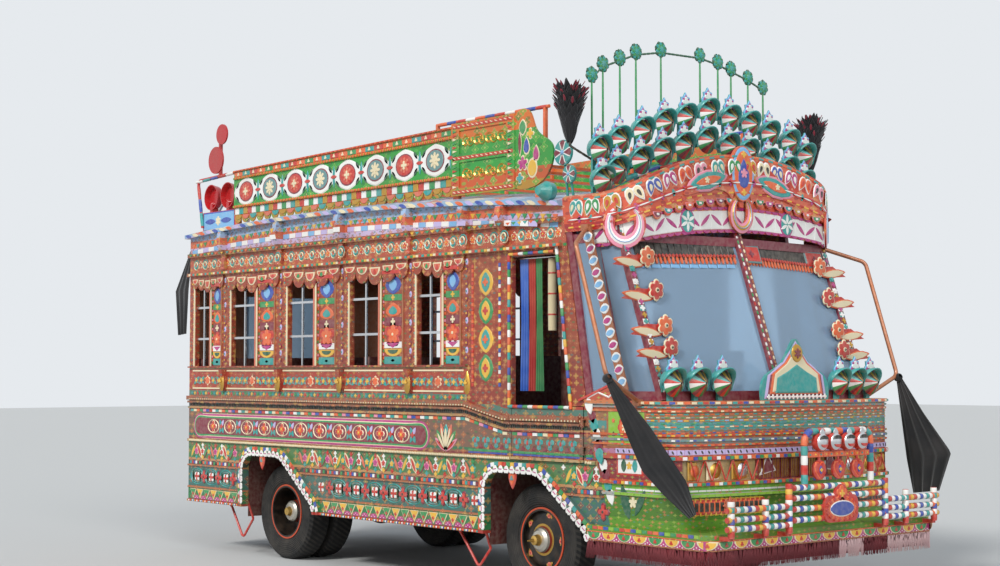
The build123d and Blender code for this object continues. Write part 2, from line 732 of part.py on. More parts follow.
with BuildPart() as upper_left:
    add(upper_wall)
    add(door_cut(doorway, (sill_z - 1, passenger_door_z[1] + 6)), mode=Mode.SUBTRACT)
    add(box((doorway[1] - 1, doorway[1] + 34), (-half_width - 90, -half_width),
            (sill_z - 1, passenger_door_z[1] + 6)), mode=Mode.SUBTRACT)
    add(hinge_brackets(passenger_hinge[0], passenger_hinge[1][2:]))
save(mirrored(upper_left.part), "upper_side_left")

with BuildPart() as passenger_door:
    for panel in (lower_wall, upper_wall):
        with BuildPart(mode=Mode.PRIVATE) as leaf:
            add(panel)
            add(door_cut(passenger_door_x, passenger_door_z), mode=Mode.INTERSECT)
            add(box((passenger_door_x[1] - 18, passenger_door_x[1] + 1), (-half_width - 90, -half_width),
                    passenger_door_z), mode=Mode.SUBTRACT)
        add(leaf.part)
    add(box((passenger_door_x[0], passenger_door_x[0] + 40), (-half_width, -inside_y),
            (sill_z - 5, passenger_door_z[1])))
    add(box(passenger_door_x, (-half_width, -inside_y), (passenger_door_z[1] - 44, passenger_door_z[1])))
    add(hinge_barrels(*passenger_hinge))
save(mirrored(passenger_door.part), "passenger_door")

# Roof: a crowned sheet that follows the curved eave, with a rolled edge
roof_rise = 120
roof_skin = 34
eave_out = 50

roof_flat = 1050                # the underside is flat outside this half width
roof_back = body_back - 20
visor_thick = 25
visor_corner = 300
visor_back_x = 1840
visor_front_x = 2430


def roof_under(x, y, above=0):
    """Height of the roof's underside, or of a surface above it."""
    bow = roof_rise * (1 - (y / roof_flat) ** 2) if abs(y) < roof_flat else 0
    return eave_z(x) + bow + above


def roof_top(x, y):
    """Height of the roof's upper surface."""
    edge = half_width + eave_out
    return eave_z(x) + roof_skin + roof_rise * (1 - (y / edge) ** 2)


def cab_plan(front, half, radius):
    """A plan with two rounded front corners, in the sketch being drawn."""
    with Locations(((visor_back_x + front) / 2, 0)):
        Rectangle(front - visor_back_x, 2 * half)
    fillet(vertices().group_by(Axis.X)[-1], radius)


inner_half = half_width - visor_thick - joint_gap
inner_corner = visor_corner - visor_thick - joint_gap
with BuildSketch() as roof_nose:
    cab_plan(roof_front_x, inner_half, inner_corner)

with BuildPart() as roof:
    edge = half_width + eave_out
    hinge_line = Axis((eave_apex_x, 0, eave_apex_z - eave_radius), (0, 1, 0))
    for reach, turn in ((roof_front_x - eave_apex_x, 1), (eave_apex_x - roof_back, -1)):
        with BuildSketch(Plane(origin=(eave_apex_x, 0, eave_apex_z), x_dir=(0, 1, 0), z_dir=(1, 0, 0))):
            with BuildLine():
                ThreePointArc((-edge, roof_skin), (0, roof_rise + roof_skin), (edge, roof_skin))
                ThreePointArc((-roof_flat, 0), (0, roof_rise), (roof_flat, 0))
                Polyline((-edge, roof_skin), (-edge, 0), (-roof_flat, 0))
                Polyline((edge, roof_skin), (edge, 0), (roof_flat, 0))
            make_face()
        revolve(axis=hinge_line, revolution_arc=turn * degrees(atan2(reach, eave_radius)))
    with BuildSketch(Plane.XY.offset(2400)):
        with Locations(((visor_back_x + 2600) / 2, 0)):
            Rectangle(2600 - visor_back_x, 2 * edge + 20)
        add(roof_nose.sketch, mode=Mode.SUBTRACT)
    extrude(amount=800, mode=Mode.SUBTRACT)
save(roof.part, "roof")

# Rear wall with its window
rear_window = (-560, 560, 1640, 2200)

with BuildPart() as rear_wall:
    with BuildSketch(Plane.YZ.offset(body_back)):
        top = wall_top(body_back)
        with BuildLine():
            Polyline((-roof_flat, top), (-inside_y, top), (-inside_y, skirt_z), (inside_y, skirt_z),
                     (inside_y, top), (roof_flat, top))
            ThreePointArc((-roof_flat, top), (0, top + roof_rise), (roof_flat, top))
        make_face()
    extrude(amount=wall)
    add(box((body_back - 1, body_back + wall + 1), rear_window[:2], rear_window[2:]), mode=Mode.SUBTRACT)
    for z in (531, 719, belt_z, waist_z, band_z + 20):
        add(box((body_back - 14, body_back + 1), (-inside_y, inside_y), (z - 12, z + 12)))
save(rear_wall.part, "rear_wall")


# Nose: a bowed sheet shell with ribs, openings for the lamps and grille, and a cowl on top
nose_skin = 30
nose_side_x = 2830
lamp_low_z = 838
lamp_high_z = 972
lamp_inner_y = 430
lamp_outer_y = 1010
grille_half = 410
cowl_back_x = 2585
nose_rib_rows = (   # bottom z, top z, how far it stands out
    (1318, 1340, 16),
    (1296, 1308, 10),
    (1270, 1284, 8),
    (1120, 1134, 10),
    (1088, 1104, 12),
    (1060, 1072, 10),
    (972, 1000, 16),
    (812, 836, 18),
    (742, 762, 12),
)


def nose_face(low, out, back):
    """Plan of the nose, grown by out, in a sketch at height low."""
    with BuildSketch(Plane.XY.offset(low)) as plan:
        half = half_width + out
        side_x = nose_side_x + out
        with BuildLine():
            Polyline((side_x, -half), (back, -half), (back, half), (side_x, half))
            ThreePointArc((side_x, -half), (nose_front_x + out, 0), (side_x, half))
        make_face()
        corners = [vertex for vertex in vertices() if vertex.X > side_x - 1]
        fillet(corners, 170 + out)
    return plan.sketch


def behind_post(low, high, half, gap=0.0):
    """Everything behind the leaning door post, to cut away from the nose."""
    with BuildPart() as block:
        with BuildSketch(Plane.XZ.offset(-half)):
            Polygon((post_x(low) + gap, low), (post_x(cab_waist_z) + gap, cab_waist_z),
                    (post_x(high) + gap, high), (1000, high), (1000, low), align=None)
        extrude(amount=2 * half)
    return block.part


gusset_points = [(2000, nose_top_z - 15), (2000, nose_top_z), (2360, 1466), (2400, nose_top_z - 15)]
gusset_thick = 12

with BuildPart() as nose:
    add(nose_face(nose_bottom_z, 0, 1900))
    extrude(amount=nose_top_z - nose_bottom_z)
    add(nose_face(nose_bottom_z - 1, -nose_skin, 1800))
    extrude(amount=nose_top_z - nose_bottom_z + 2, mode=Mode.SUBTRACT)
    add(nose_face(nose_top_z - 15, -nose_skin / 2, cowl_back_x))
    extrude(amount=15)
    for low, high, out in nose_rib_rows:
        with BuildPart(mode=Mode.PRIVATE) as rib:
            add(nose_face(low, out, 1900))
            extrude(amount=high - low)
            add(nose_face(low - 1, -2, 1800))
            extrude(amount=high - low + 2, mode=Mode.SUBTRACT)
        add(rib.part)
    add(box((2600, 3100), (lamp_inner_y, lamp_outer_y), (lamp_low_z, lamp_high_z)), mode=Mode.SUBTRACT)
    add(box((2600, 3100), (-lamp_outer_y, -lamp_inner_y), (lamp_low_z, lamp_high_z)), mode=Mode.SUBTRACT)
    add(box((2600, 3100), (-grille_half, grille_half), (lamp_low_z, lamp_high_z)), mode=Mode.SUBTRACT)
    for offset in (half_width, -half_width - gusset_thick):
        with BuildSketch(Plane.XZ.offset(offset)):
            Polygon(*gusset_points, align=None)
        extrude(amount=gusset_thick)
    add(behind_post(100, 2000, half_width + 60), mode=Mode.SUBTRACT)
save(nose.part, "nose_panel")

# Grille mesh plate and the two wide lamp boxes
lamp_seat_x = 2700

with BuildPart() as grille:
    add(box((2900, 2920), (-grille_half, grille_half), (lamp_low_z, lamp_high_z)))
    for number in range(9):
        centre = -360 + 90 * number
        add(box((2920, 2932), (centre - 5, centre + 5), (lamp_low_z, lamp_high_z)))
save(grille.part, "grille")

with BuildPart() as headlamps:
    for side in (-1, 1):
        low, high = sorted((side * lamp_inner_y, side * lamp_outer_y))
        with BuildPart(mode=Mode.PRIVATE) as lamp:
            add(nose_face(lamp_low_z, -8, 2400))
            extrude(amount=lamp_high_z - lamp_low_z)
            add(box((lamp_seat_x, 3100), (low, high), (lamp_low_z, lamp_high_z)), mode=Mode.INTERSECT)
        add(lamp.part)
save(headlamps.part, "headlamps")

# Windscreen frame: two raked flat panes, corner and centre posts, quarter windows
pane_foot = 1370
corner_foot = (2660, 1000, pane_foot)
centre_foot = (2760, 0, pane_foot)
pane_lean = 0.352               # how far the panes lean back for each millimetre of height
header_z = 2400
post_head_z = 2625
centre_head_z = 2722
frame_depth = 46


def leaned(foot, z):
    """The point at height z on a windscreen post that starts at foot."""
    return (foot[0] - pane_lean * (z - foot[2]), foot[1], z)


with BuildPart() as windscreen_frame:
    for side in (-1, 1):
        foot = (corner_foot[0], side * corner_foot[1], pane_foot)
        add(bar(leaned(foot, nose_top_z), leaned(foot, post_head_z), 56, frame_depth))
        add(bar((foot[0], foot[1], pane_foot), centre_foot, 60, frame_depth, (0, 0, 1)))
        add(bar(leaned(foot, header_z), leaned(centre_foot, header_z), 60, frame_depth, (0, 0, 1)))
        rear_foot = (post_x(pane_foot) + 30, side * 1078, pane_foot)
        rear_head = (post_x(header_z) + 30, side * 1078, header_z)
        add(bar(rear_foot, foot, 60, 30, (0, 0, 1)))
        add(bar(rear_head, leaned(foot, header_z), 60, 30, (0, 0, 1)))
        rear_low = (post_x(nose_top_z) + 32, side * 1078, nose_top_z)
        rear_high = (post_x(post_head_z) + 32, side * 1078, post_head_z)
        add(bar(rear_low, rear_high, 36, 56))
        mid_foot = (2380, side * 1032, pane_foot)
        mid_head = (2120, side * 1038, header_z)
        add(bar(mid_foot, mid_head, 26, 34))
    add(bar(leaned(centre_foot, nose_top_z), leaned(centre_foot, centre_head_z), 70, frame_depth))
    add(box((1500, 3000), (-1200, 1200), (1000, nose_top_z)), mode=Mode.SUBTRACT)
    add(behind_post(1000, 3200, half_width + 60), mode=Mode.SUBTRACT)
    add(roof.part.moved(Location((0, 0, -joint_gap))), mode=Mode.SUBTRACT)
    add(box((1500, 3000), (-1200, 1200), (roof_top(2240, 0) + 30, 3300)), mode=Mode.SUBTRACT)
save(windscreen_frame.part, "windscreen_frame")

# Glass: two windscreen panes and the quarter panes, held between the bars
with BuildPart() as window_glass:
    for side in (-1, 1):
        foot = (corner_foot[0], side * corner_foot[1], pane_foot)
        add(pane([foot, centre_foot, leaned(centre_foot, header_z), leaned(foot, header_z)], 5))
        rear_foot = (post_x(pane_foot) + 34, side * 1078, pane_foot)
        rear_head = (post_x(header_z) + 34, side * 1078, header_z)
        quarter = [rear_foot, foot, leaned(foot, header_z), rear_head]
        add(pane(quarter, 4))
    add(windscreen_frame.part, mode=Mode.SUBTRACT)
    add(box((body_back + 16, body_back + 21), rear_window[:2], rear_window[2:]))
save(window_glass.part, "window_glass")

# Bars across the open side windows
bar_rows = (1810, 2080)         # heights of the cross bars

with BuildPart() as window_bars:
    for back, front in zip(bay_edges, bay_edges[1:]):
        bay = front - back
        low_x, high_x = back + opening_share[0] * bay, back + opening_share[1] * bay
        middle = (low_x + high_x) / 2
        for side in (-1, 1):
            if side > 0 and doorway[0] < middle < doorway[1]:
                continue
            centre = side * (half_width - 22)
            for z in bar_rows:
                add(box((low_x, high_x), (centre - 7, centre + 7), (z - 9, z + 9)))
            add(box((middle - 8, middle + 8), (centre - 7, centre + 7), (window_low_z, window_high_z)))
save(window_bars.part, "window_bars")

# Bumper: a shelf round the nose with a scalloped valance, carried by two arms
bumper_half = 1126
bumper_front_x = 3160
bumper_low_z = 500
valance_low_z = 443
bumper_back_x = 2092
arm_low_z = 470

with BuildPart() as front_bumper:
    with BuildSketch(Plane.XY.offset(bumper_low_z)):
        with Locations(((bumper_back_x + bumper_front_x) / 2, 0)):
            Rectangle(bumper_front_x - bumper_back_x, 2 * bumper_half)
        fillet(vertices().group_by(Axis.X)[-1], 90)
        with Locations((2300, 0)):
            Rectangle(500, 2 * (half_width - 60), mode=Mode.SUBTRACT)
    extrude(amount=nose_bottom_z - bumper_low_z)
    add(cab_band(valance_low_z, bumper_low_z + 1, bumper_back_x, bumper_front_x, bumper_half, 90, 14))
    for side in (-1, 1):
        low, high = sorted((side * (rail_y - 30), side * (rail_y + 30)))
        add(box((2620, 3120), (low, high), (arm_low_z, bumper_low_z)))
        add(box((2680, 2860), (low, high), (bumper_low_z, rail_low_z)))
save(front_bumper.part, "front_bumper")

# Thread fringe under the bumper
with BuildPart() as front_fringe:
    add(cab_band(320, valance_low_z, bumper_back_x + 10, bumper_front_x - 4, bumper_half - 4, 86, 6))
save(front_fringe.part, "front_fringe")

# Bull bars: rows of thin tube between uprights, a hoop, and a plate carrier
tube_radius = 17
guard_x = 3243
inner_upright_y = 480
outer_upright_y = (700, 1010)
outer_rows = (575, 632, 690)
middle_rows = (600, 668, 736, 800)
hoop_half = 330
hoop_top_z = 1147

with BuildPart() as bumper_tubes:
    for side in (-1, 1):
        for y in (inner_upright_y,) + outer_upright_y:
            top = 830 if y == inner_upright_y else 745
            add(rod((guard_x, side * y, 522), (guard_x, side * y, top), 20))
            low, high = sorted((side * (y - 16), side * (y + 16)))
            add(box((bumper_front_x - 10, guard_x), (low, high), (506, 530)))
        for z in outer_rows:
            add(rod((guard_x, side * inner_upright_y, z), (guard_x, side * (outer_upright_y[1] + 40), z),
                    tube_radius))
    for z in middle_rows:
        add(rod((guard_x, -inner_upright_y, z), (guard_x, inner_upright_y, z), tube_radius))
    add(bent_tube([(guard_x, -hoop_half, middle_rows[-1]), (guard_x, -hoop_half, hoop_top_z),
                   (guard_x, hoop_half, hoop_top_z), (guard_x, hoop_half, middle_rows[-1])], 70, 20))
    add(box((guard_x - 8, guard_x + 8), (-hoop_half, hoop_half), (985, 1020)))
    for side in (-1, 0, 1):
        with BuildSketch(Plane.YZ.offset(guard_x - 8)):
            with Locations((side * 190, 905)):
                Circle(62)
        extrude(amount=16)
        add(rod((guard_x, side * 190, 905), (guard_x, side * 190, 990), 9))
    for y in (-200, -68, 68, 200):
        with Locations((guard_x + 20, y, 1082)):
            Cylinder(56, 46, rotation=(0, 90, 0))
        add(rod((guard_x, y, 1020), (guard_x, y, hoop_top_z), 8))
    with BuildSketch(Plane.YZ.offset(guard_x + 6)):
        with Locations((0, 655)):
            RectangleRounded(330, 170, 50)
        with Locations((0, 750)):
            Circle(60)
    extrude(amount=22)
    add(box((bumper_front_x - 10, bumper_front_x), (-600, 600), (505, 515)), mode=Mode.SUBTRACT)
    add(front_bumper.part, mode=Mode.SUBTRACT)
save(bumper_tubes.part, "bumper_tubes")

# Visor: an arched board round the cab roof with horseshoes, wings and a centre pendant
visor_low = (2440, 2690, 2520)      # lower edge at the right, the middle and the left
visor_high = (2665, 3000, 2755)     # upper edge in the same places
visor_slope = (visor_low[2] - visor_low[0]) / (2 * half_width)
visor_bow = (2 * visor_low[1] - visor_low[0] - visor_low[2]) / (2 * half_width ** 2)


def crescent(low, high, half):
    """An arched strip seen from the front, through three heights of each edge."""
    with BuildPart() as strip:
        with BuildSketch(Plane.YZ.offset(1700)):
            with BuildLine():
                ThreePointArc((-half, low[0]), (0, low[1]), (half, low[2]))
                ThreePointArc((-half, high[0]), (0, high[1]), (half, high[2]))
                Line((-half, low[0]), (-half, high[0]))
                Line((half, low[2]), (half, high[2]))
            make_face()
        extrude(amount=1400)
    return strip.part


def arched_band(low, high, back, front, half, radius, thick):
    """A band round the cab whose edges rise to the middle."""
    with BuildPart() as band:
        add(cab_band(min(low) - 5, max(high) + 5, back, front, half, radius, thick))
        add(crescent(low, high, half + 20), mode=Mode.INTERSECT)
        add(behind_post(1000, 3200, half_width + 60), mode=Mode.SUBTRACT)
    return band.part


def horseshoe(x, y, z, size):
    """An open ring plate that faces forward."""
    plane = Plane(origin=(x, y, z), x_dir=(0, 1, 0), z_dir=(1, 0, 0))
    with BuildPart() as shoe:
        with BuildSketch(plane):
            Ellipse(size, size * 1.15)
            Ellipse(size * 0.45, size * 0.62, mode=Mode.SUBTRACT)
            with Locations((0, size)):
                Rectangle(size * 0.8, size * 1.3, mode=Mode.SUBTRACT)
        extrude(amount=14)
    return shoe.part


with BuildPart() as visor:
    add(arched_band(visor_low, visor_high, visor_back_x, visor_front_x, half_width, visor_corner,
                    visor_thick))
    for side in (-1, 1):
        with BuildSketch(Plane.YZ.offset(visor_front_x - 4)):
            with BuildLine():
                Spline((side * 110, 2700), (side * 330, 2740), (side * 560, 2690), (side * 330, 2890),
                       (side * 110, 2900), periodic=True)
            make_face()
        extrude(amount=18)
    with BuildSketch(Plane.YZ.offset(visor_front_x - 4)):
        with Locations((0, 2870)):
            Ellipse(115, 190)
    extrude(amount=30)
    add(horseshoe(visor_front_x - 4, 0, 2600, 120))
    add(bar((visor_front_x + 3, -20, 2670), (visor_front_x + 3, 20, 2670), 60, 14, (0, 0, 1)))
    for side, z in ((-1, 2480), (1, 2570)):
        with BuildPart(mode=Mode.PRIVATE) as shoe:
            add(horseshoe(0, 0, 0, 140).rotate(Axis.Z, side * 38))
        add(shoe.part.moved(Location((2332, side * 1007, z))))
    count = 17
    for number in range(count):
        y = -800 + 1600 * number / (count - 1)
        low = visor_low[1] + visor_slope * y - visor_bow * y * y
        with BuildSketch(Plane.YZ.offset(visor_front_x - 12)):
            with Locations((y, low)):
                Circle(36)
        extrude(amount=10)
    add(windscreen_frame.part, mode=Mode.SUBTRACT)
    add(window_glass.part, mode=Mode.SUBTRACT)
save(visor.part, "visor_board")

# Lower scalloped band, just inside the visor
band_low = (2330, 2470, 2400)
band_high = (2548, 2680, 2570)

with BuildPart() as visor_valance:
    add(arched_band(band_low, band_high, 2100, visor_front_x - visor_thick - joint_gap,
                    half_width - visor_thick - joint_gap, visor_corner - visor_thick, 12))
    add(windscreen_frame.part, mode=Mode.SUBTRACT)
    add(window_glass.part, mode=Mode.SUBTRACT)
save(visor_valance.part, "visor_valance")


def lamp_cone(radius, depth, crest):
    """A hooded show lamp: a pan, a cone that points forward and a crest plate on top."""
    pan = 26
    profile = [(0, 0), (0, radius * 0.7), (pan, radius), (pan + 8, radius), (pan + depth, 6),
               (pan + depth, 0)]
    outline = [(0.0, 1.0), (0.16, 0.72), (0.42, 0.66), (0.38, 0.38), (0.62, 0.1), (0.55, -0.25),
               (-0.55, -0.25), (-0.62, 0.1), (-0.38, 0.38), (-0.42, 0.66), (-0.16, 0.72)]
    with BuildPart() as lamp:
        with BuildSketch(Plane.XZ):
            Polygon(*profile, align=None)
        revolve(axis=Axis.X)
        with BuildSketch(Plane.YZ.offset(pan - 2)):
            with Locations((0, radius)):
                Polygon(*[(across * crest, up * crest) for across, up in outline], align=None)
        extrude(amount=12)
    return lamp.part


# Crown: a frame of two arched strips over the cab roof, with two rows of lamps
crown_x = 2100
crown_rows = (  # y, centre height of the upper lamp
    (-1036, 2975), (-859, 3050), (-640, 3131), (-430, 3206), (-224, 3262), (0, 3320),
    (224, 3295), (430, 3273), (640, 3224), (859, 3180), (1036, 3096),
)
second_row = (30, -50, -205)    # x, y and z of a lower lamp from the one above it
lamp_radius = 80
lamp_depth = 70
crest_height = 100
crown_base = ((-1040, 2700), (-560, 2900), (0, 2990), (560, 2935), (1040, 2780))
base_tube_x = 2150
base_tube_radius = 16

crown_lamp = lamp_cone(lamp_radius, lamp_depth, crest_height)

with BuildPart() as crown:
    for drop in (0, second_row[2]):
        with BuildSketch(Plane.YZ.offset(crown_x - 30)):
            upper = [(y, z + drop + 14) for y, z in crown_rows]
            lower = [(y, z + drop - 14) for y, z in crown_rows]
            Polygon(*(lower + upper[::-1]), align=None)
        extrude(amount=31 if drop == 0 else 31 + second_row[0])
    for y, z in crown_rows[::2]:
        foot_z = roof_top(crown_x - 15, y) - 14
        add(box((crown_x - 34, crown_x - 16), (y - 16, y + 16), (foot_z, z)))
        if abs(y) < 700:
            tube_z = crown_base[1][1] if y < 0 else crown_base[3][1]
            add(box((crown_x - 34, base_tube_x), (y - 8, y + 8), (tube_z - 40, tube_z + 8)))
    add(bent_tube([(base_tube_x, y, z) for y, z in crown_base], 300, base_tube_radius))
    lamps = []
    for y, z in crown_rows:
        lamps.append(crown_lamp.moved(Location((crown_x, y, z))))
        low_y = max(y + second_row[1], -1040)
        lamps.append(crown_lamp.moved(Location((crown_x + second_row[0], low_y, z + second_row[2]))))
    add(lamps)
    add(roof.part.moved(Location((0, 0, joint_gap))), mode=Mode.SUBTRACT)
save(crown.part, "crown")

# Show lamps and the arched plaque on the cowl under the windscreen
cone_x = 2800
cone_y = (-980, -775, -570, 610, 800, 990)
cone_z = 1452
plaque_half = 330
plaque_x = 2880

with BuildPart() as front_lamps:
    lamps = []
    for y in cone_y:
        reach = cone_x - 100 * abs(y) / 1000
        lamps.append(crown_lamp.moved(Location((reach, y, cone_z))))
        lamps.append(box((reach - 6, reach + 14), (y - 20, y + 20), (nose_top_z, cone_z)))
    add(lamps)
    with BuildSketch(Plane.YZ.offset(plaque_x)):
        with BuildLine():
            Polyline((-plaque_half, nose_top_z), (plaque_half, nose_top_z))
            Spline((plaque_half, nose_top_z), (plaque_half - 40, 1500), (130, 1590), (0, 1740),
                   (-130, 1590), (-plaque_half + 40, 1500), (-plaque_half, nose_top_z))
        make_face()
    extrude(amount=20)
    with BuildSketch(Plane.YZ.offset(plaque_x + 18)):
        with Locations((0, 1640)):
            Circle(58)
    extrude(amount=14)
save(front_lamps.part, "front_show_lamps")

# Flower arch: a thin bow on stalks over the crown, with stiff cloth flowers
flower_x = 2100
flower_points = ((-1037, 3464), (-936, 3548), (-779, 3607), (-628, 3665), (-388, 3708), (0, 3715),
                 (183, 3690), (319, 3657), (498, 3613), (659, 3558))
stalk_radius = 6

with BuildPart() as flower_arch:
    bow = [(y, z - 10) for y, z in flower_points] + [(y, z + 2) for y, z in flower_points[::-1]]
    with BuildSketch(Plane.YZ.offset(flower_x - 44)):
        Polygon(*bow, align=None)
    extrude(amount=10)
    stalks = []
    for y, z in flower_points:
        foot_z = [height for place, height in crown_rows if abs(place - y) < 130 or place > y][0]
        stalks.append(rod((flower_x - 39, y, foot_z - 30), (flower_x - 39, y, z), stalk_radius))
    with BuildPart(mode=Mode.PRIVATE) as flower:
        with BuildSketch(Plane.YZ.offset(-18)):
            Circle(34)
            with PolarLocations(34, 5):
                Circle(26)
        extrude(amount=36)
    flowers = [flower.part.moved(Location((flower_x - 39, y, z + 20))) for y, z in flower_points]
    add(stalks + flowers)
    add(crown.part, mode=Mode.SUBTRACT)
save(flower_arch.part, "flower_arch")

# Plumes: two bunches of dark feathers on arms outside the crown
plume_x = 2040
plume_y = 1215
plume_z = 3010

with BuildPart() as plumes:
    for side in (-1, 1):
        end_z = crown_rows[0][1] if side < 0 else crown_rows[-1][1]
        add(rod((crown_x - 34, side * 1030, end_z - 60), (plume_x, side * plume_y, plume_z), 11))
        with Locations((plume_x, side * plume_y, plume_z + 30)):
            Cone(26, 60, 60)
        with Locations((plume_x, side * plume_y, plume_z + 190)):
            Cone(60, 112, 260)
        with Locations((plume_x, side * plume_y, plume_z + 380)):
            Cone(112, 90, 120)
    add(crown.part, mode=Mode.SUBTRACT)
save(plumes.part, "plumes")

# Roof rack: two long rails on feet, cross slats, posts and a top rail round the sides
rack_y = 1000
rack_back_x = -2416
rack_front_x = 1560
rack_rail_z = 2850
slat_z = 2928                   # underside of the slats, just over the roof's crown
rack_top_back_z = 3242
rack_top_front_z = 3299
rack_post_x = (-2401, -1800, -1200, -600, 0, 560)
rack_slat_x = (-2300, -1950, -1600, -1250, -900, -550, -200, 150, 500, 850, 1200, 1500)
hand_rail_x = (360, 1600)
hand_rail_z = 3334
box_back_x = 574
box_front_x = 1278
box_low_z = 2790
box_high_z = 3318


def rack_top(x):
    """Top of the rack side at x."""
    share = (x - rack_back_x) / (box_back_x - rack_back_x)
    return rack_top_back_z + share * (rack_top_front_z - rack_top_back_z)


with BuildPart() as roof_rack:
    bars = []
    for side in (-1, 1):
        centre = side * rack_y
        bars.append(box((rack_back_x, rack_front_x), (centre - 15, centre + 15),
                        (rack_rail_z, rack_rail_z + 30)))
        bars.append(box((rack_back_x, rack_front_x), (centre - 12, centre + 12), (slat_z - 20, slat_z)))
        for x in rack_post_x:
            bars.append(box((x - 12, x + 12), (centre - 12, centre + 12), (rack_rail_z + 10, rack_top(x))))
        for x in (rack_back_x + 30, -1300, -300, 600, rack_front_x - 60):
            foot_z = roof_top(x, rack_y) - 14
            bars.append(box((x - 30, x + 30), (centre - 15, centre + 15), (foot_z, rack_rail_z + 10)))
    for x in rack_slat_x:
        bars.append(box((x - 20, x + 20), (-rack_y, rack_y), (slat_z, slat_z + 18)))
    bars.append(box((rack_back_x, rack_back_x + 24), (-rack_y, rack_y),
                    (rack_top_back_z - 24, rack_top_back_z)))
    for y in (-820, -480, 480, 820):
        bars.append(box((rack_back_x, rack_back_x + 24), (y - 10, y + 10), (slat_z, rack_top_back_z - 10)))
    bars.append(box((rack_back_x, rack_back_x + 24), (-rack_y, rack_y), (slat_z, slat_z + 18)))
    for side in (-1, 1):
        centre = side * rack_y
        bars.append(rod((hand_rail_x[0], centre, hand_rail_z), (hand_rail_x[1], centre, hand_rail_z), 12))
        for x in (hand_rail_x[0] + 12, hand_rail_x[1] - 40):
            bars.append(box((x - 12, x + 12), (centre - 12, centre + 12), (rack_rail_z + 10, hand_rail_z)))
    add(bars)
    add(roof.part.moved(Location((0, 0, joint_gap))), mode=Mode.SUBTRACT)
save(roof_rack.part, "roof_rack")

# Rack panels: side boards with drop rails and scallops, front boxes and curved end boards
board_thick = 14
drop_low_z = 2812

with BuildPart() as rack_panels:
    pieces = []
    for side in (-1, 1):
        inner = rack_y + 15
        outline = [(rack_back_x, 2924), (box_back_x, 2924), (box_back_x, rack_top(box_back_x)),
                   (rack_back_x, rack_top(rack_back_x))]
        with BuildPart(mode=Mode.PRIVATE) as board:
            with BuildSketch(Plane.XZ.offset(inner)):
                Polygon(*outline, align=None)
            extrude(amount=board_thick)
            with BuildSketch(Plane.XZ.offset(inner)):
                Polygon((rack_back_x, 2846), (box_back_x, 2846), (box_back_x, 2925), (rack_back_x, 2925),
                        align=None)
                count = 26
                for number in range(count):
                    step = (box_back_x - rack_back_x) / count
                    with Locations((rack_back_x + step * (number + 0.5), 2846)):
                        Circle(step * 0.46)
            extrude(amount=8)
            for low, high, out in ((0.0, 0.05, 26), (0.76, 0.81, 24), (0.96, 1.0, 26)):
                edge_low = [(x, 2924 + share * (rack_top(x) - 2924)) for share in (low,)
                            for x in (rack_back_x, box_back_x)]
                edge_high = [(x, 2924 + share * (rack_top(x) - 2924)) for share in (high,)
                             for x in (box_back_x, rack_back_x)]
                with BuildSketch(Plane.XZ.offset(inner)):
                    Polygon(*(edge_low + edge_high), align=None)
                extrude(amount=out)
            add(box((box_back_x, box_front_x), (-inner - 22, -inner + 0), (box_low_z, box_high_z)))
            for low, high in ((2850, 3030), (3090, 3260)):
                add(box((box_back_x + 90, box_front_x - 90), (-inner - 30, -inner - 12), (low, high)),
                    mode=Mode.SUBTRACT)
            with BuildSketch(Plane.XZ.offset(inner)):
                with BuildLine():
                    Polyline((box_front_x, box_low_z + 10), (box_front_x, box_high_z))
                    Spline((box_front_x, box_high_z), (1440, 3300), (1500, 3180), (1660, 3060), (1640, 2900),
                           (1500, 2800), (box_front_x, box_low_z + 10))
                make_face()
            extrude(amount=16)
        pieces.append(board.part if side < 0 else mirrored(board.part))
    add(pieces)
    add(roof.part.moved(Location((0, 0, joint_gap))), mode=Mode.SUBTRACT)
save(rack_panels.part, "rack_panels")

# Rear lamp boxes at the back corners of the roof, each with two hooded reflectors
rear_box_x = (-2960, -2430)
rear_box_y = (940, 1010)
rear_box_z = (2790, 2920)
reflector_x = (-2830, -2560)
reflector_z = 3050
rear_discs = ((-2700, 3362, 118), (-2604, 3579, 88))     # x, z and radius

with BuildPart() as rear_lamps:
    pieces = []
    for side in (-1, 1):
        low, high = sorted((side * rear_box_y[0], side * rear_box_y[1]))
        pieces.append(box(rear_box_x, (low, high), (2748, rear_box_z[1])))
        for x in reflector_x:
            with BuildPart(mode=Mode.PRIVATE) as lamp:
                with BuildSketch(Plane.XY):
                    Polygon((0, 0), (100, 0), (112, 60), (104, 60), (92, 10), (0, 10), align=None)
                revolve(axis=Axis.Y)
            turned = lamp.part if side > 0 else mirrored(lamp.part)
            pieces.append(turned.moved(Location((x, side * 950, reflector_z))))
            pieces.append(box((x - 20, x + 20), (low + 5, high - 5), (rear_box_z[1], reflector_z - 60)))
        hoop = [(rear_box_x[0] + 10, side * 1020, rear_box_z[0]), (rear_box_x[0] - 70, side * 1020, 3210),
                (rack_back_x - 2, side * 1020, 3232)]
        pieces.append(bent_tube(hoop, 40, 13))
        for x, z, radius in rear_discs:
            with BuildPart(mode=Mode.PRIVATE) as disc:
                with Locations((x, side * 1037, z)):
                    Cylinder(radius, 14, rotation=(90, 0, 0))
            pieces.append(disc.part)
        low, high = sorted((side * 1010, side * 1036))
        pieces.append(box((-2662, -2636), (low, high), (3215, 3560)))
    add(pieces)
    add(roof.part.moved(Location((0, 0, joint_gap))), mode=Mode.SUBTRACT)
save(rear_lamps.part, "rear_lamp_boxes")

# Rear ladder up to the rack
ladder_y = (-820, -480)

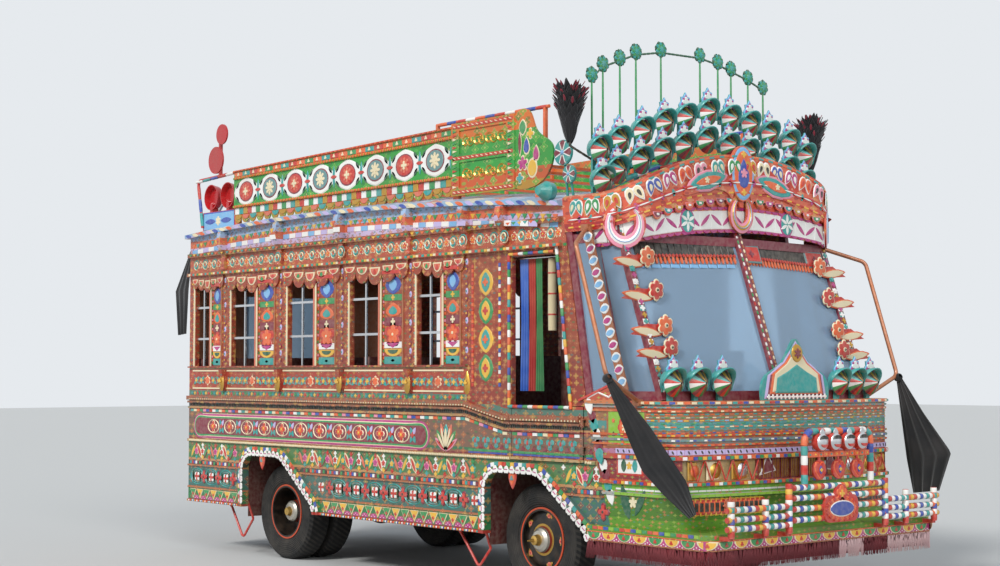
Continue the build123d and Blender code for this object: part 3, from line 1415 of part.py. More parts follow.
with BuildPart() as rear_ladder:
    pieces = []
    for y in ladder_y:
        rail = [(-3070, y, 620), (-3070, y, 2900), (-2780, y, 3150), (rack_back_x, y, 3150)]
        pieces.append(bent_tube(rail, 90, 14))
        for z in (700, 1500, 2400):
            pieces.append(box((-3070, body_back - 14), (y - 10, y + 10), (z - 10, z + 10)))
    for z in range(640, 2700, 290):
        pieces.append(rod((-3070, ladder_y[0], z), (-3070, ladder_y[1], z), 11))
    add(pieces)
    add(rear_wall.part, mode=Mode.SUBTRACT)
save(rear_ladder.part, "rear_ladder")

# Side arms: roped arms with blades beside the windscreen
arm_reach = 1450

with BuildPart() as side_arms:
    pieces = []
    for side in (-1, 1):
        pieces.append(bent_tube([(2090, side * 1116, 2462), (2348, side * arm_reach, 2330),
                                 (2623, side * arm_reach, 1500), (2570, side * 1112, 1330)], 60, 15))
        low, high = sorted((side * 1100, side * 1140))
        pieces.append(box((2060, 2130), (low, high), (2446, 2486)))
        pieces.append(box((2530, 2590), (low, high), (1310, 1350)))
        pieces.append(bar((2105, side * 1130, 2460), (2455, side * 1130, 1400), 9, 74, (0, 1, 0)))
        low, high = sorted((side * 1110, side * 1134))
        pieces.append(box((2355, 2385), (low, high), (1385, 1430)))
    add(pieces)
    add(nose.part, mode=Mode.SUBTRACT)
    add(visor.part, mode=Mode.SUBTRACT)
save(side_arms.part, "side_arms")

# Rosettes and horn lamps at the roof's front corners
with BuildPart() as rosettes:
    pieces = []
    for side in (-1, 1):
        for x, z, radius in ((1831, 2985, 86), (1890, 2836, 62)):
            with BuildPart(mode=Mode.PRIVATE) as wheel_disc:
                with Locations((x, side * 1080, z)):
                    Cylinder(radius, 16, rotation=(90, 0, 0))
            pieces.append(wheel_disc.part)
            pieces.append(rod((x, side * 1074, z), (x, side * 1040, roof_top(x, 1040) - 12), 9))
        with BuildPart(mode=Mode.PRIVATE) as horn:
            with BuildSketch(Plane.XY):
                Polygon((0, 0), (60, 0), (66, 50), (30, 120), (0, 120), align=None)
            revolve(axis=Axis.Y)
        turned = horn.part if side > 0 else mirrored(horn.part)
        pieces.append(turned.moved(Location((1740, side * 1110, 2730))))
        pieces.append(rod((1740, side * 1122, 2730), (1740, side * 1122, roof_top(1740, 1122) - 12), 12))
    add(pieces)
    add(roof.part.moved(Location((0, 0, joint_gap))), mode=Mode.SUBTRACT)
    add(visor.part, mode=Mode.SUBTRACT)
save(rosettes.part, "rosettes")

# Seats: benches both sides of an aisle, a cross bench at the back, a driver's seat
bench_x = (-2360, -1720, -1080, -440, 960)
bench_seat_z = 1200
bench_back_z = 1640

with BuildPart() as seats:
    pieces = []
    for x in bench_x:
        for side in (-1, 1):
            if side > 0 and x > 900:
                continue
            base = wheel_box_z if abs(x + 180 - rear_axle_x) < 560 or x > 900 else floor_z + floor_thick
            low, high = sorted((side * 300, side * 1040))
            pieces.append(box((x, x + 420), (low, high), (bench_seat_z - 100, bench_seat_z)))
            pieces.append(box((x - 50, x + 30), (low, high), (bench_seat_z - 100, bench_back_z)))
            for y in (330, 500):
                leg_low, leg_high = sorted((side * (y - 15), side * (y + 15)))
                pieces.append(box((x + 20, x + 360), (leg_low, leg_high),
                                  (floor_z + floor_thick, bench_seat_z - 90)))
    pieces.append(box((-2960, -2560), (-1040, 1040), (floor_z + floor_thick, bench_seat_z)))
    pieces.append(box((-2970, -2880), (-1040, 1040), (bench_seat_z - 20, bench_back_z)))
    for low, high in ((-800, -340), (340, 1000)):
        pieces.append(box((1540, 1940), (low, high), (floor_z + floor_thick, 1150)))
        pieces.append(box((1490, 1560), (low, high), (floor_z + floor_thick, bench_back_z + 40)))
    add(pieces)
    for low, high in ((-1100, -wheel_box_y), (wheel_box_y, 1100)):
        for axle in (rear_axle_x, front_axle_x):
            add(box((axle - wheel_box_half, axle + wheel_box_half), (low, high), (floor_z, wheel_box_z)),
                mode=Mode.SUBTRACT)
save(seats.part, "seats")

# Dashboard with toe board and steering column
column_foot = (2440, -520, 968)
column_head = (2135, -520, 1330)
wheel_rim = 215

with BuildPart() as dashboard:
    add(box((2560, 2585), (-1050, 1050), (floor_z + floor_thick, 1322)))
    add(box((2430, 2560), (-1050, 1050), (1180, 1322)))
    add(rod(column_foot, column_head, 24))
    add(box((2400, 2570), (-560, -480), (940, 1040)))
save(dashboard.part, "dashboard")

column_line = (Vector(*column_head) - Vector(*column_foot)).normalized()
hub_centre = Vector(*column_head) + column_line * (joint_gap + 18)
steering_plane = Plane(origin=hub_centre, x_dir=(0, 1, 0), z_dir=column_line)

with BuildPart() as steering_wheel:
    with BuildSketch(Plane(origin=hub_centre + column_line * -18, x_dir=(0, 1, 0), z_dir=column_line)):
        Circle(42)
    extrude(amount=36)
    with BuildSketch(Plane(origin=hub_centre, x_dir=column_line, z_dir=(0, 1, 0))):
        with Locations((6, wheel_rim)):
            Circle(13)
    revolve(axis=Axis(hub_centre, column_line))
    for turn in (90, 210, 330):
        sideways = column_line.cross(Vector(0, 1, 0))
        reach = Vector(0, 1, 0) * cos(turn * pi / 180) + sideways * sin(turn * pi / 180)
        add(bar(tuple(hub_centre + reach * 20), tuple(hub_centre + reach * (wheel_rim - 4)), 26, 10,
                tuple(column_line.cross(reach))))
save(steering_wheel.part, "steering_wheel")

# Mudflaps behind the wheels
with BuildPart() as mudflaps:
    pieces = []
    for x in (rear_axle_x - wheel_box_half + 2, front_axle_x - wheel_box_half + 2):
        pieces.append(box((x, x + 6), (wheel_box_y + 40, 1040), (320, floor_z)))
        pieces.append(box((x, x + 6), (-1040, -wheel_box_y - 40), (320, floor_z)))
    add(pieces)
save(mudflaps.part, "mudflaps")

# Step loops of bent pipe under the right-hand skirt
loop_radius = 10

with BuildPart() as step_loops:
    for points in (((-2453, 450), (-2453, 380), (-2273, 130), (-2116, 300), (-2116, 450)),
                   ((649, 450), (649, 380), (850, 150), (980, 290), (980, 450))):
        path = [(points[0][0], -inside_y, points[0][1])]
        path += [(x, -1000, z) for x, z in points[1:-1]]
        path.append((points[-1][0], -inside_y, points[-1][1]))
        add(bent_tube(path, 30, loop_radius))
    add(box((-3000, 1500), (-half_width - 50, -inside_y), (100, 800)), mode=Mode.SUBTRACT)
save(step_loops.part, "step_loops")

# Cab curtain on its rod, and the rolled blind beside it
curtain_rod_z = 2300
curtain_y = -1038
curtain_pleats = 9

with BuildPart() as cab_curtain:
    add(rod((cab_opening_back - 60, curtain_y, curtain_rod_z), (cab_opening_top_front - 20, curtain_y,
        curtain_rod_z), 8))
    for x in (cab_opening_back - 50, cab_opening_top_front - 40):
        add(box((x, x + 14), (-inside_y, curtain_y), (curtain_rod_z - 8, curtain_rod_z + 8)))
    wave = []
    for number in range(2 * curtain_pleats + 1):
        wave.append((cab_opening_back + 20 + 13 * number, curtain_y + (12 if number % 2 else -12)))
    with BuildSketch(Plane.XY.offset(1392)):
        Polygon(*(wave + [(x, y + 5) for x, y in wave[::-1]]), align=None)
    extrude(amount=curtain_rod_z - 1392)
    with BuildSketch(Plane.XY.offset(1800)):
        with Locations((1660, curtain_y + 10)):
            Ellipse(56, 30)
    extrude(amount=curtain_rod_z - 1800)
save(cab_curtain.part, "cab_curtain")

# Black cloths tied to the arms and to the rear corner
cloth_thick = 5


def cloth(points, plane):
    """A hanging cloth cut to an outline in a plane."""
    with BuildPart() as piece:
        with BuildSketch(plane):
            Polygon(*points, align=None)
        extrude(amount=cloth_thick)
    return piece.part


right_top = Vector(2640, -arm_reach, 1480)
right_end = Vector(3035, -1142, 641)
across = Vector(0.645, 0.764, 0)
run = right_end - right_top
right_plane = Plane(origin=right_top, x_dir=across, z_dir=run.cross(across) * -1)
down = (run - across * run.dot(across)).length
right_rows = (          # share of the way down, and the two edges across
    (0.0, -22, 22), (0.1, -34, 30), (0.35, -80, 70), (0.6, -110, 80), (0.8, -70, 90), (1.0, -12, 40),
)
right_points = [(run.dot(across) * t + low, down * t) for t, low, high in right_rows]
right_points += [(run.dot(across) * t + high, down * t) for t, low, high in right_rows[::-1]]

with BuildPart() as cloth_right:
    add(cloth(right_points, right_plane))
    with Locations((2630, -arm_reach, 1482)):
        Sphere(30)
    add(side_arms.part, mode=Mode.SUBTRACT)
save(cloth_right.part, "cloth_front_right")

left_points = [(2610, 1490), (2655, 1490), (2850, 1230), (3080, 960), (2980, 690), (2740, 660), (2690, 900)]

with BuildPart() as cloth_left:
    add(cloth(left_points, Plane.XZ.offset(-arm_reach - 4)))
    with Locations((2630, arm_reach, 1482)):
        Sphere(30)
    add(side_arms.part, mode=Mode.SUBTRACT)
save(cloth_left.part, "cloth_front_left")

rear_tip = -3286
rear_points = [(body_back, 2600), (body_back, 2520), (-3080, 2250), (-3110, 1860), (-3230, 1840),
               (rear_tip, 2240), (-3180, 2560)]

with BuildPart() as cloth_rear:
    add(cloth(rear_points, Plane.XZ.offset(1085)))
save(cloth_rear.part, "cloth_rear_right")

# Flowers and leaf spikes along the windscreen's corner posts
flower_rows = ((2270, 45), (2050, 45), (1820, 45), (1680, 45))
flower_y = 866

with BuildPart() as screen_flowers:
    pieces = []
    for side in (-1, 1):
        for z, stand in flower_rows:
            foot = leaned((corner_foot[0], side * corner_foot[1], pane_foot), z)
            centre = (foot[0] + stand, side * flower_y, z)
            pieces.append(rod((foot[0] + 18, foot[1], z), centre, 8))
            with BuildPart(mode=Mode.PRIVATE) as bloom:
                with BuildSketch(Plane.YZ):
                    Circle(34)
                    with PolarLocations(38, 6):
                        Circle(24)
                extrude(amount=14)
            pieces.append(bloom.part.moved(Location(centre)))
            tip = (foot[0] + stand, side * (flower_y + 300), z - 60)
            pieces.append(pane([centre, (centre[0], side * (flower_y + 150), z - 70), tip,
                                (centre[0], side * (flower_y + 150), z + 10)], 6))
    add(pieces)
    add(windscreen_frame.part, mode=Mode.SUBTRACT)
save(screen_flowers.part, "screen_flowers")
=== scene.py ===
# %% [markdown]
# A decorated city minibus, dressed over its CAD model.
# The real bus is a steel body whose every panel carries paint, cut reflective tape,
# pressed tin and strings of beads. The CAD gives each panel its true shape, so this
# script adds two things only: finishes, and the thousands of small repeated ornaments.

import math
import random

import bpy
import numpy as np
from mathutils import Matrix, Vector
from mathutils.bvhtree import BVHTree


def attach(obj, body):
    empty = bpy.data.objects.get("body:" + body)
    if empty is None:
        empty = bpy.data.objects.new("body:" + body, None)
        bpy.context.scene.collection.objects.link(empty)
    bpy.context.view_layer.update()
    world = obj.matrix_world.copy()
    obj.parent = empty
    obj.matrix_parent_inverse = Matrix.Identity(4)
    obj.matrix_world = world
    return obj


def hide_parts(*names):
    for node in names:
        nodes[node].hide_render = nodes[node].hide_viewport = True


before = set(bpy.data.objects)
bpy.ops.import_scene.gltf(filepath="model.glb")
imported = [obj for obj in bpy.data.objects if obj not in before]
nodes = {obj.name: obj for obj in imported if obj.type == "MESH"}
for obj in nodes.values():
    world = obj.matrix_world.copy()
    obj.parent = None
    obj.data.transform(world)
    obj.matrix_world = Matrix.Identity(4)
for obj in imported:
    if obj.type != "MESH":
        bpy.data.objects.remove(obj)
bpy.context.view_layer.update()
print("frame", len(nodes), "nodes")

# %% [markdown]
# Every colour is written as a hex value read one by one, and one function turns it to the
# linear numbers that shaders use. One more function adds a node with its settings and
# links, so each material below is a short list of steps.

# %% Colours and the node helper
PAINT = {
    "red": "#c4281c", "maroon": "#7c1430", "orange": "#e4622a", "yellow": "#e9b436",
    "cream": "#ecdcb4", "white": "#f2f0ea", "green": "#1f8f4c", "forest": "#11583a",
    "teal": "#1f9a94", "slate": "#5f8c8c", "blue": "#2549a6", "sky": "#7ab4e0",
    "pink": "#e88fa6", "magenta": "#b62c7c", "lilac": "#c3b4e0", "lime": "#86b82c",
    "copper": "#b06a44", "black": "#16120f", "salmon": "#d9694c", "gold": "#d2a03c",
    "chrome": "#d9dadc",
}


def linear(code):
    """A colour written as sRGB hex, as the linear RGBA that a shader takes."""
    steps = [int(code[i:i + 2], 16) / 255 for i in (1, 3, 5)]
    return tuple(s / 12.92 if s <= 0.04045 else ((s + 0.055) / 1.055) ** 2.4 for s in steps) + (1.0,)


def put(tree, kind, inputs=None, **settings):
    """Adds one node; inputs maps a socket's name or number to a value or to another socket."""
    made = tree.nodes.new(kind)
    for key, value in settings.items():
        setattr(made, key, value)
    for key, value in (inputs or {}).items():
        if isinstance(value, bpy.types.NodeSocket):
            tree.links.new(value, made.inputs[key])
        else:
            made.inputs[key].default_value = value
    return made


def ramp(tree, factor, stops, smooth=False):
    """A colour ramp from (place, hex or grey) pairs."""
    made = put(tree, "ShaderNodeValToRGB", {"Fac": factor})
    made.color_ramp.interpolation = "LINEAR" if smooth else "CONSTANT"
    points = made.color_ramp.elements
    while len(points) < len(stops):
        points.new(1.0)
    for point, (place, value) in zip(points, stops):
        point.position = place
        point.color = linear(value) if isinstance(value, str) else (value, value, value, 1.0)
    return made.outputs["Color"]


def noise(tree, place, scale, detail):
    return put(tree, "ShaderNodeTexNoise", {"Vector": place, "Scale": scale, "Detail": detail}).outputs["Fac"]


def blend(tree, factor, a, b):
    """Two colours mixed by a factor."""
    return put(tree, "ShaderNodeMix", {"Factor": factor, "A": a, "B": b}, data_type="RGBA").outputs[2]


def maths(tree, operation, *values):
    return put(tree, "ShaderNodeMath", dict(enumerate(values)), operation=operation).outputs[0]


def relieve(tree, shader, height, strength, distance):
    """Gives the surface a fine relief from a height in 0 to 1; distance is its depth in metres."""
    bump = put(tree, "ShaderNodeBump", {"Height": height, "Strength": strength, "Distance": distance})
    tree.links.new(bump.outputs[0], shader.inputs["Normal"])


def blank(name):
    """An empty material tree with its shader, which is returned with the tree."""
    material = bpy.data.materials.new(name)
    material.use_nodes = True
    tree = material.node_tree
    tree.nodes.clear()
    shader = put(tree, "ShaderNodeBsdfPrincipled")
    put(tree, "ShaderNodeOutputMaterial", {"Surface": shader.outputs[0]})
    return material, tree, shader


# %% [markdown]
# Sign painter's enamel and cut tape: a gloss colour that has faded in patches and holds
# road dust. Brush-scale noise of about 30 mm moves the colour, patches of 120 mm dull
# the gloss, and a fine 4 mm noise gives the slight orange peel of hand-laid paint.

# %% Enamel paint
def enamel(name, colour, fade=0.18, rough=0.34, metallic=0.0, peel=0.12, dust=0.16, coat=0.25):
    """Gloss paint of one colour with fading, dust and a light orange peel."""
    material, tree, shader = blank(name)
    place = put(tree, "ShaderNodeTexCoord").outputs["Object"]
    patches = noise(tree, place, 1 / 0.12, 4.0)
    brush = noise(tree, place, 1 / 0.03, 3.0)
    grime = noise(tree, place, 1 / 0.5, 6.0)
    fading = ramp(tree, brush, [(0.35, 0.0), (0.75, fade * 0.9)], smooth=True)
    pale = blend(tree, fading, linear(colour), linear("#d8cdbb"))
    held = ramp(tree, grime, [(0.45, 0.0), (0.8, dust * 1.6)], smooth=True)
    dusty = blend(tree, held, pale, linear("#75614c"))
    tree.links.new(dusty, shader.inputs["Base Color"])
    dull = ramp(tree, patches, [(0.3, rough - 0.08), (0.75, rough + 0.22)], smooth=True)
    tree.links.new(dull, shader.inputs["Roughness"])
    shader.inputs["Metallic"].default_value = metallic
    shader.inputs["Coat Weight"].default_value = coat
    shader.inputs["Coat Roughness"].default_value = 0.2
    fine = noise(tree, place, 1 / 0.004, 2.0)
    relieve(tree, shader, fine, peel, 0.001)
    return material


tape = {name: enamel("enamel_" + name, code) for name, code in PAINT.items()
        if name not in ("gold", "chrome", "copper")}
tape["gold"] = enamel("pressed_brass", PAINT["gold"], rough=0.3, metallic=0.85, dust=0.12)
tape["chrome"] = enamel("pressed_tin", PAINT["chrome"], rough=0.22, metallic=0.95, fade=0.05)
tape["copper"] = enamel("copper_strip", PAINT["copper"], rough=0.42, metallic=0.45, dust=0.25)
print("enamels", len(tape))


# %% [markdown]
# Painted ground: the whole lower body is ruled into level bands, each with its own
# ground colour and brushed foliage. A ramp on the height gives the bands. Two lattices
# of Voronoi cells, one of leaves and one of flowers, give the foliage on them.

# %% Banded and foliate paint
def drop_beside_cab(tree, x, z):
    """The height, corrected for the waist that comes down beside the cab."""
    share = put(tree, "ShaderNodeMapRange", {"Value": x, "From Min": 0.822, "From Max": 1.25,
                                             "To Min": 0.0, "To Max": 0.091})
    above = put(tree, "ShaderNodeMapRange", {"Value": z, "From Min": 0.95, "From Max": 1.15})
    lift = maths(tree, "MULTIPLY", share.outputs[0], above.outputs[0])
    return maths(tree, "ADD", z, lift)


def foliate(name, bands, flowers, leaves=("#1f9a94", "#1f8f4c"), wide=60, tall=60, low=0.4, high=3.4,
            kink=False, cover=0.27, rough=0.36):
    """Painted ground in level bands, under a lattice of flowers with leaves between."""
    material, tree, shader = blank(name)
    place = put(tree, "ShaderNodeTexCoord").outputs["Object"]
    axes = put(tree, "ShaderNodeSeparateXYZ", {0: place})
    height = axes.outputs["Z"]
    if kink:
        height = drop_beside_cab(tree, axes.outputs["X"], height)
    share = put(tree, "ShaderNodeMapRange", {"Value": height, "From Min": low, "From Max": high})
    ground = ramp(tree, share.outputs[0], [((z - low) / (high - low), code) for z, code in bands])
    round_body = maths(tree, "ADD", axes.outputs["X"], axes.outputs["Y"])
    across = maths(tree, "MULTIPLY", round_body, 550 / wide)
    rise = maths(tree, "MULTIPLY", height, 640 / tall)

    def lattice(shift, lobes, edges, colours, loose):
        """One family of shapes: its mask, its colours and its distance from each centre."""
        flat = put(tree, "ShaderNodeCombineXYZ", {"X": across, "Y": rise})
        moved = put(tree, "ShaderNodeVectorMath", {0: flat.outputs[0], 1: (shift, shift, 0)}, operation="ADD")
        cell = put(tree, "ShaderNodeTexVoronoi", {"Vector": moved.outputs[0], "Scale": 1.0, "Randomness": loose},
                   voronoi_dimensions="2D")
        spoke = put(tree, "ShaderNodeVectorMath", {0: moved.outputs[0], 1: cell.outputs["Position"]},
                    operation="SUBTRACT")
        part = put(tree, "ShaderNodeSeparateXYZ", {0: spoke.outputs[0]})
        angle = maths(tree, "ARCTAN2", part.outputs["Y"], part.outputs["X"])
        many = maths(tree, "MULTIPLY", angle, float(lobes))
        wave = maths(tree, "COSINE", many)
        pull = maths(tree, "MULTIPLY_ADD", wave, -0.28, 1.0)
        reach = maths(tree, "MULTIPLY", cell.outputs["Distance"], pull)
        pick = put(tree, "ShaderNodeSeparateColor", {0: cell.outputs["Color"]})
        tint = ramp(tree, pick.outputs[0], [(i / len(colours), code) for i, code in enumerate(colours)])
        return ramp(tree, reach, edges), tint, reach

    leaf_mask, leaf_tint, _ = lattice(0.5, 2, [(0.0, 0.55), (cover * 0.62, 0.0)], leaves, 0.6)
    leafed = blend(tree, leaf_mask, ground, leaf_tint)
    mask, tint, reach = lattice(0.0, 4, [(0.0, 0.65), (cover, 0.0)], flowers, 0.6)
    rings = ramp(tree, reach, [(0.0, 0.8), (cover * 0.3, 0.0), (cover * 0.84, 0.5)])
    ringed = blend(tree, rings, tint, linear("#e2c886"))
    flowered = blend(tree, mask, leafed, ringed)
    grime = noise(tree, place, 2.0, 7.0)
    held = ramp(tree, grime, [(0.42, 0.0), (0.8, 0.4)], smooth=True)
    dusty = blend(tree, held, flowered, linear("#7a6650"))
    tree.links.new(dusty, shader.inputs["Base Color"])
    dull = ramp(tree, grime, [(0.3, rough), (0.8, rough + 0.25)], smooth=True)
    tree.links.new(dull, shader.inputs["Roughness"])
    shader.inputs["Coat Weight"].default_value = 0.2
    raised = maths(tree, "ADD", mask, leaf_mask)
    relieve(tree, shader, raised, 0.3, 0.002)
    return material


P = PAINT
side_bands = [
    (0.40, "#a8342a"), (0.425, "#2c7a45"), (0.522, P["copper"]), (0.54, "#3f6a62"), (0.71, P["copper"]),
    (0.727, "#33453c"), (0.762, "#b98a5c"), (0.784, "#4f7a48"), (0.924, "#b99a6c"), (0.948, "#7c2430"),
    (0.962, "#8a5a44"), (0.976, "#1f6f4c"), (0.992, "#7a5a4a"), (1.172, "#7a5a4a"), (1.188, "#7c2430"),
    (1.21, "#b98a5c"), (1.226, "#3a3028"), (1.258, "#8f5a40"), (1.284, "#94543a"), (1.30, "#9c5a40"),
    (1.32, "#4f7a6c"), (1.362, "#a83c2c"), (1.545, "#b08a5c"), (1.56, "#a8442c"),
]
side_paint = foliate("side_panel_enamel", side_bands, ["#a83424", "#c05a2c", "#8a2c30", "#b98a3c"],
                     leaves=("#2c7a72", "#1c4a38", "#2f7a44"), wide=44, tall=40, kink=True, low=0.4, high=1.6)
upper_bands = [
    (1.55, "#8f3426"), (1.66, "#9a4028"), (2.355, "#a86a4c"), (2.385, "#b8543c"), (2.52, "#94543a"),
    (2.56, "#cdb8d8"), (2.60, "#d9694c"), (2.66, "#9fb8d8"),
]
upper_paint = foliate("window_wall_enamel", upper_bands, ["#c86a3c", "#c8963c", "#a83424"],
                      leaves=("#3f7a74", "#6f2030", "#3f7a44"), wide=36, tall=34, low=1.5, high=2.8)
nose_bands = [
    (0.53, "#5c8f1e"), (0.60, "#4a7a1c"), (0.742, "#a8a8a0"), (0.764, "#6fae2e"), (0.812, "#c04a2c"), (0.84, "#8a2c30"),
    (0.972, "#b8543c"), (1.003, "#b87a98"), (1.034, "#a8543c"), (1.056, "#d0683a"), (1.074, "#8c8c88"),
    (1.106, "#c86034"), (1.136, "#8a6a52"), (1.16, "#4f8f88"), (1.21, "#9a6a48"), (1.27, "#c86a40"), (1.296, "#9a9690"),
    (1.318, "#c8784c"), (1.342, "#b8543c"),
]
nose_paint = foliate("nose_enamel", nose_bands, ["#b84a2c", "#c8763c", "#8fae3c"],
                     leaves=("#3f8a84", "#3a5a2c"), wide=34, tall=22, low=0.5, high=1.5, cover=0.2)
visor_paint = foliate("visor_enamel", [(2.2, "#b02c24"), (2.5, "#d8583a"), (2.68, "#d9694c"), (2.78, "#c8402c"),
                                       (2.9, "#d9694c")],
                      ["#e89a7a", "#b82c24", "#d8a05c"], leaves=("#8a2030", "#b83a2c"),
                      wide=56, tall=50, low=2.0, high=3.3)
rack_paint = foliate("rack_enamel", [(2.7, "#b8862c"), (2.84, "#c85a2c"), (2.93, "#2f9a3c"), (3.20, "#d8702c")],
                     ["#4fae3c", "#2a8a38"], leaves=("#1f6a30", "#5cb84a"),
                     wide=60, tall=60, low=2.6, high=3.5)
print("painted grounds ready")

# %% [markdown]
# The roof is plain sheet steel, painted pale blue over lilac swirls and bleached by the
# sun; the running gear is black chassis paint under a film of road dust. The rest are
# enamels with their own numbers, and the wheels get their finish in a later cell.

# %% Plain finishes
roof_paint = foliate("roof_enamel", [(2.4, "#8fb2cf"), (2.62, "#8fb2cf"), (2.72, "#9cb4c8")],
                     [P["lilac"], P["cream"], P["orange"]], leaves=(P["sky"], P["lilac"]),
                     wide=140, tall=60, low=2.3, high=3.1, cover=0.3, rough=0.45)
chassis_paint = enamel("chassis_black", "#1a1a1b", rough=0.6, coat=0.0, dust=0.4)
iron = enamel("cast_iron_grey", "#4a4946", rough=0.7, coat=0.0, dust=0.5, peel=0.4)
boards = enamel("floor_boards", "#5a4230", rough=0.75, coat=0.0, dust=0.4)
hide = enamel("seat_hide", "#5c1f1a", rough=0.5, coat=0.0, peel=0.5)
dark_plastic = enamel("dash_plastic", "#22201f", rough=0.55, coat=0.0)
flap = enamel("flap_rubber", "#5a1414", rough=0.7, coat=0.0, dust=0.4)


def glass(name, colour, rough=0.05, through=0.85):
    """Window glass: a thin pane, partly clear, with a film of dust."""
    material, tree, shader = blank(name)
    place = put(tree, "ShaderNodeTexCoord").outputs["Object"]
    film = noise(tree, place, 3.0, 5.0)
    veil = ramp(tree, film, [(0.3, rough), (0.9, rough + 0.15)], smooth=True)
    tree.links.new(veil, shader.inputs["Roughness"])
    shader.inputs["Base Color"].default_value = linear(colour)
    shader.inputs["IOR"].default_value = 1.45
    shader.inputs["Transmission Weight"].default_value = through
    return material


screen_glass = glass("screen_glass", "#a8c4dc", through=0.55)
lamp_glass = glass("lamp_glass", "#e8c88c", rough=0.12, through=0.5)
red_lens = enamel("red_lens", "#b8141c", rough=0.2, fade=0.04)

dressed = {
    chassis_paint: ("chassis_frame", "leaf_springs", "front_axle", "knuckle_right", "knuckle_left", "tie_rod",
                    "rear_axle", "fuel_tank"),
    iron: ("engine_block", "exhaust_pipe"),
    boards: ("floor",),
    side_paint: ("lower_side_right", "lower_side_left", "driver_door"),
    upper_paint: ("upper_side_right", "upper_side_left", "passenger_door"),
    roof_paint: ("roof",),
    nose_paint: ("nose_panel", "front_bumper"),
    visor_paint: ("visor_board", "visor_valance"),
    rack_paint: ("rack_panels",),
    tape["maroon"]: ("windscreen_frame", "grille"),
    tape["orange"].copy(): ("roof_rack",),
    lamp_glass: ("headlamps",),
    screen_glass: ("window_glass",),
    tape["chrome"]: ("window_bars", "rear_ladder"),
    tape["teal"]: ("crown", "front_show_lamps", "rosettes"),
    red_lens: ("rear_lamp_boxes",),
    hide: ("seats",),
    dark_plastic: ("dashboard", "steering_wheel"),
    flap: ("mudflaps",),
    tape["red"]: ("step_loops", "bumper_tubes", "screen_flowers"),
    tape["copper"]: ("side_arms", "rear_wall"),
    tape["green"]: ("flower_arch",),
    tape["black"]: ("plumes", "cloth_front_right", "cloth_front_left", "cloth_rear_right", "front_fringe"),
    tape["blue"]: ("cab_curtain",),
}
for material, names in dressed.items():
    for name in names:
        data = nodes[name].data
        data.materials.clear()
        data.materials.append(material)
missing = sorted(set(nodes) - {name for names in dressed.values() for name in names})
print("nodes without a finish, wheels apart:", [name for name in missing if not name.startswith(("rim", "tyre"))])

# %% [markdown]
# Every ornament on the real bus is a small cut or pressed shape fixed to the panel: a
# tape flower, a tin leaf, a bead. They could be modelled one by one, but one shape laid
# along a line a few hundred times says the same thing. So each shape is made once, and
# one Geometry Nodes tree sets copies of it on a cloud of points.

# %% Shapes of the ornaments
UP = Vector((0, 0, 1))
stock = {}


def petals(count, radius, waist=0.5):
    """A flower's outline; waist is how far in the notches reach."""
    turns = [2 * math.pi * i / (count * 4) for i in range(count * 4)]
    return [(radius * (waist + (1 - waist) * abs(math.cos(count * a / 2)) ** 0.7) * math.sin(a),
             radius * (waist + (1 - waist) * abs(math.cos(count * a / 2)) ** 0.7) * math.cos(a)) for a in turns]


def oval(width, height, count=12):
    """An ellipse."""
    turns = [2 * math.pi * i / count for i in range(count)]
    return [(width / 2 * math.sin(a), height / 2 * math.cos(a)) for a in turns]


def block(width, height):
    """A rectangle."""
    return [(-width / 2, height / 2), (width / 2, height / 2), (width / 2, -height / 2), (-width / 2, -height / 2)]


def wedge(width, height):
    """A triangle that points down."""
    return [(-width / 2, height / 2), (width / 2, height / 2), (0, -height / 2)]


def drop(width, height, count=12):
    """A teardrop with its point at the top."""
    turns = [2 * math.pi * i / count for i in range(count)]
    return [(width / 2 * math.sin(a) * 1.2 * abs(math.sin(a / 2)) ** 0.8, height / 2 * math.cos(a)) for a in turns]


def leaf(width, height, count=12):
    """A leaf with a point at both ends."""
    turns = [2 * math.pi * i / count for i in range(count)]
    return [(width / 2 * math.sin(a) * abs(math.sin(a)) ** 0.6, height / 2 * math.cos(a)) for a in turns]


def half_round(width, height, count=8):
    """A half disc with its round side down."""
    turns = [math.pi * i / count for i in range(count + 1)]
    return [(-width / 2 * math.cos(a), height / 2 - height * math.sin(a)) for a in turns]


def outward(outline, faces):
    """Turns the faces over where the outline runs clockwise, so that they face out."""
    pairs = zip(outline, outline[1:] + outline[:1])
    clockwise = sum(x0 * y1 - x1 * y0 for (x0, y0), (x1, y1) in pairs) < 0
    return [face[::-1] for face in faces] if clockwise else faces


def solid(key, points, faces, smooth=False):
    """Keeps a shape as an object, so that the tree can copy it."""
    mesh = bpy.data.meshes.new("motif")
    mesh.from_pydata(points, [], faces)
    mesh.polygons.foreach_set("use_smooth", [smooth] * len(faces))
    made = bpy.data.objects.new("motif", mesh)
    bpy.context.scene.collection.objects.link(made)
    stock[key] = made
    return made


def plate(outline, thick=0.003, dome=0.0, at=(0, 0), turn=0.0):
    """A raised plate with a sloped edge; at and turn shift the outline in its own plane."""
    key = ("plate", tuple(outline), thick, dome, at, turn)
    if key in stock:
        return stock[key]
    c, s = math.cos(turn), math.sin(turn)
    middle = sum(p[0] for p in outline) / len(outline), sum(p[1] for p in outline) / len(outline)
    rings = []
    for share, z in ((1.0, -0.002), (0.9, thick)):
        for x, y in outline:
            x, y = middle[0] + (x - middle[0]) * share, middle[1] + (y - middle[1]) * share
            rings.append((at[0] + c * x - s * y, at[1] + s * x + c * y, z))
    n = len(outline)
    x, y = middle
    rings.append((at[0] + c * x - s * y, at[1] + s * x + c * y, thick + dome))
    faces = []
    for i in range(n):
        j = (i + 1) % n
        faces += [(i, j, n + j, n + i), (n + i, n + j, 2 * n)]
    return solid(key, rings, outward(outline, faces), smooth=dome > 0.004)


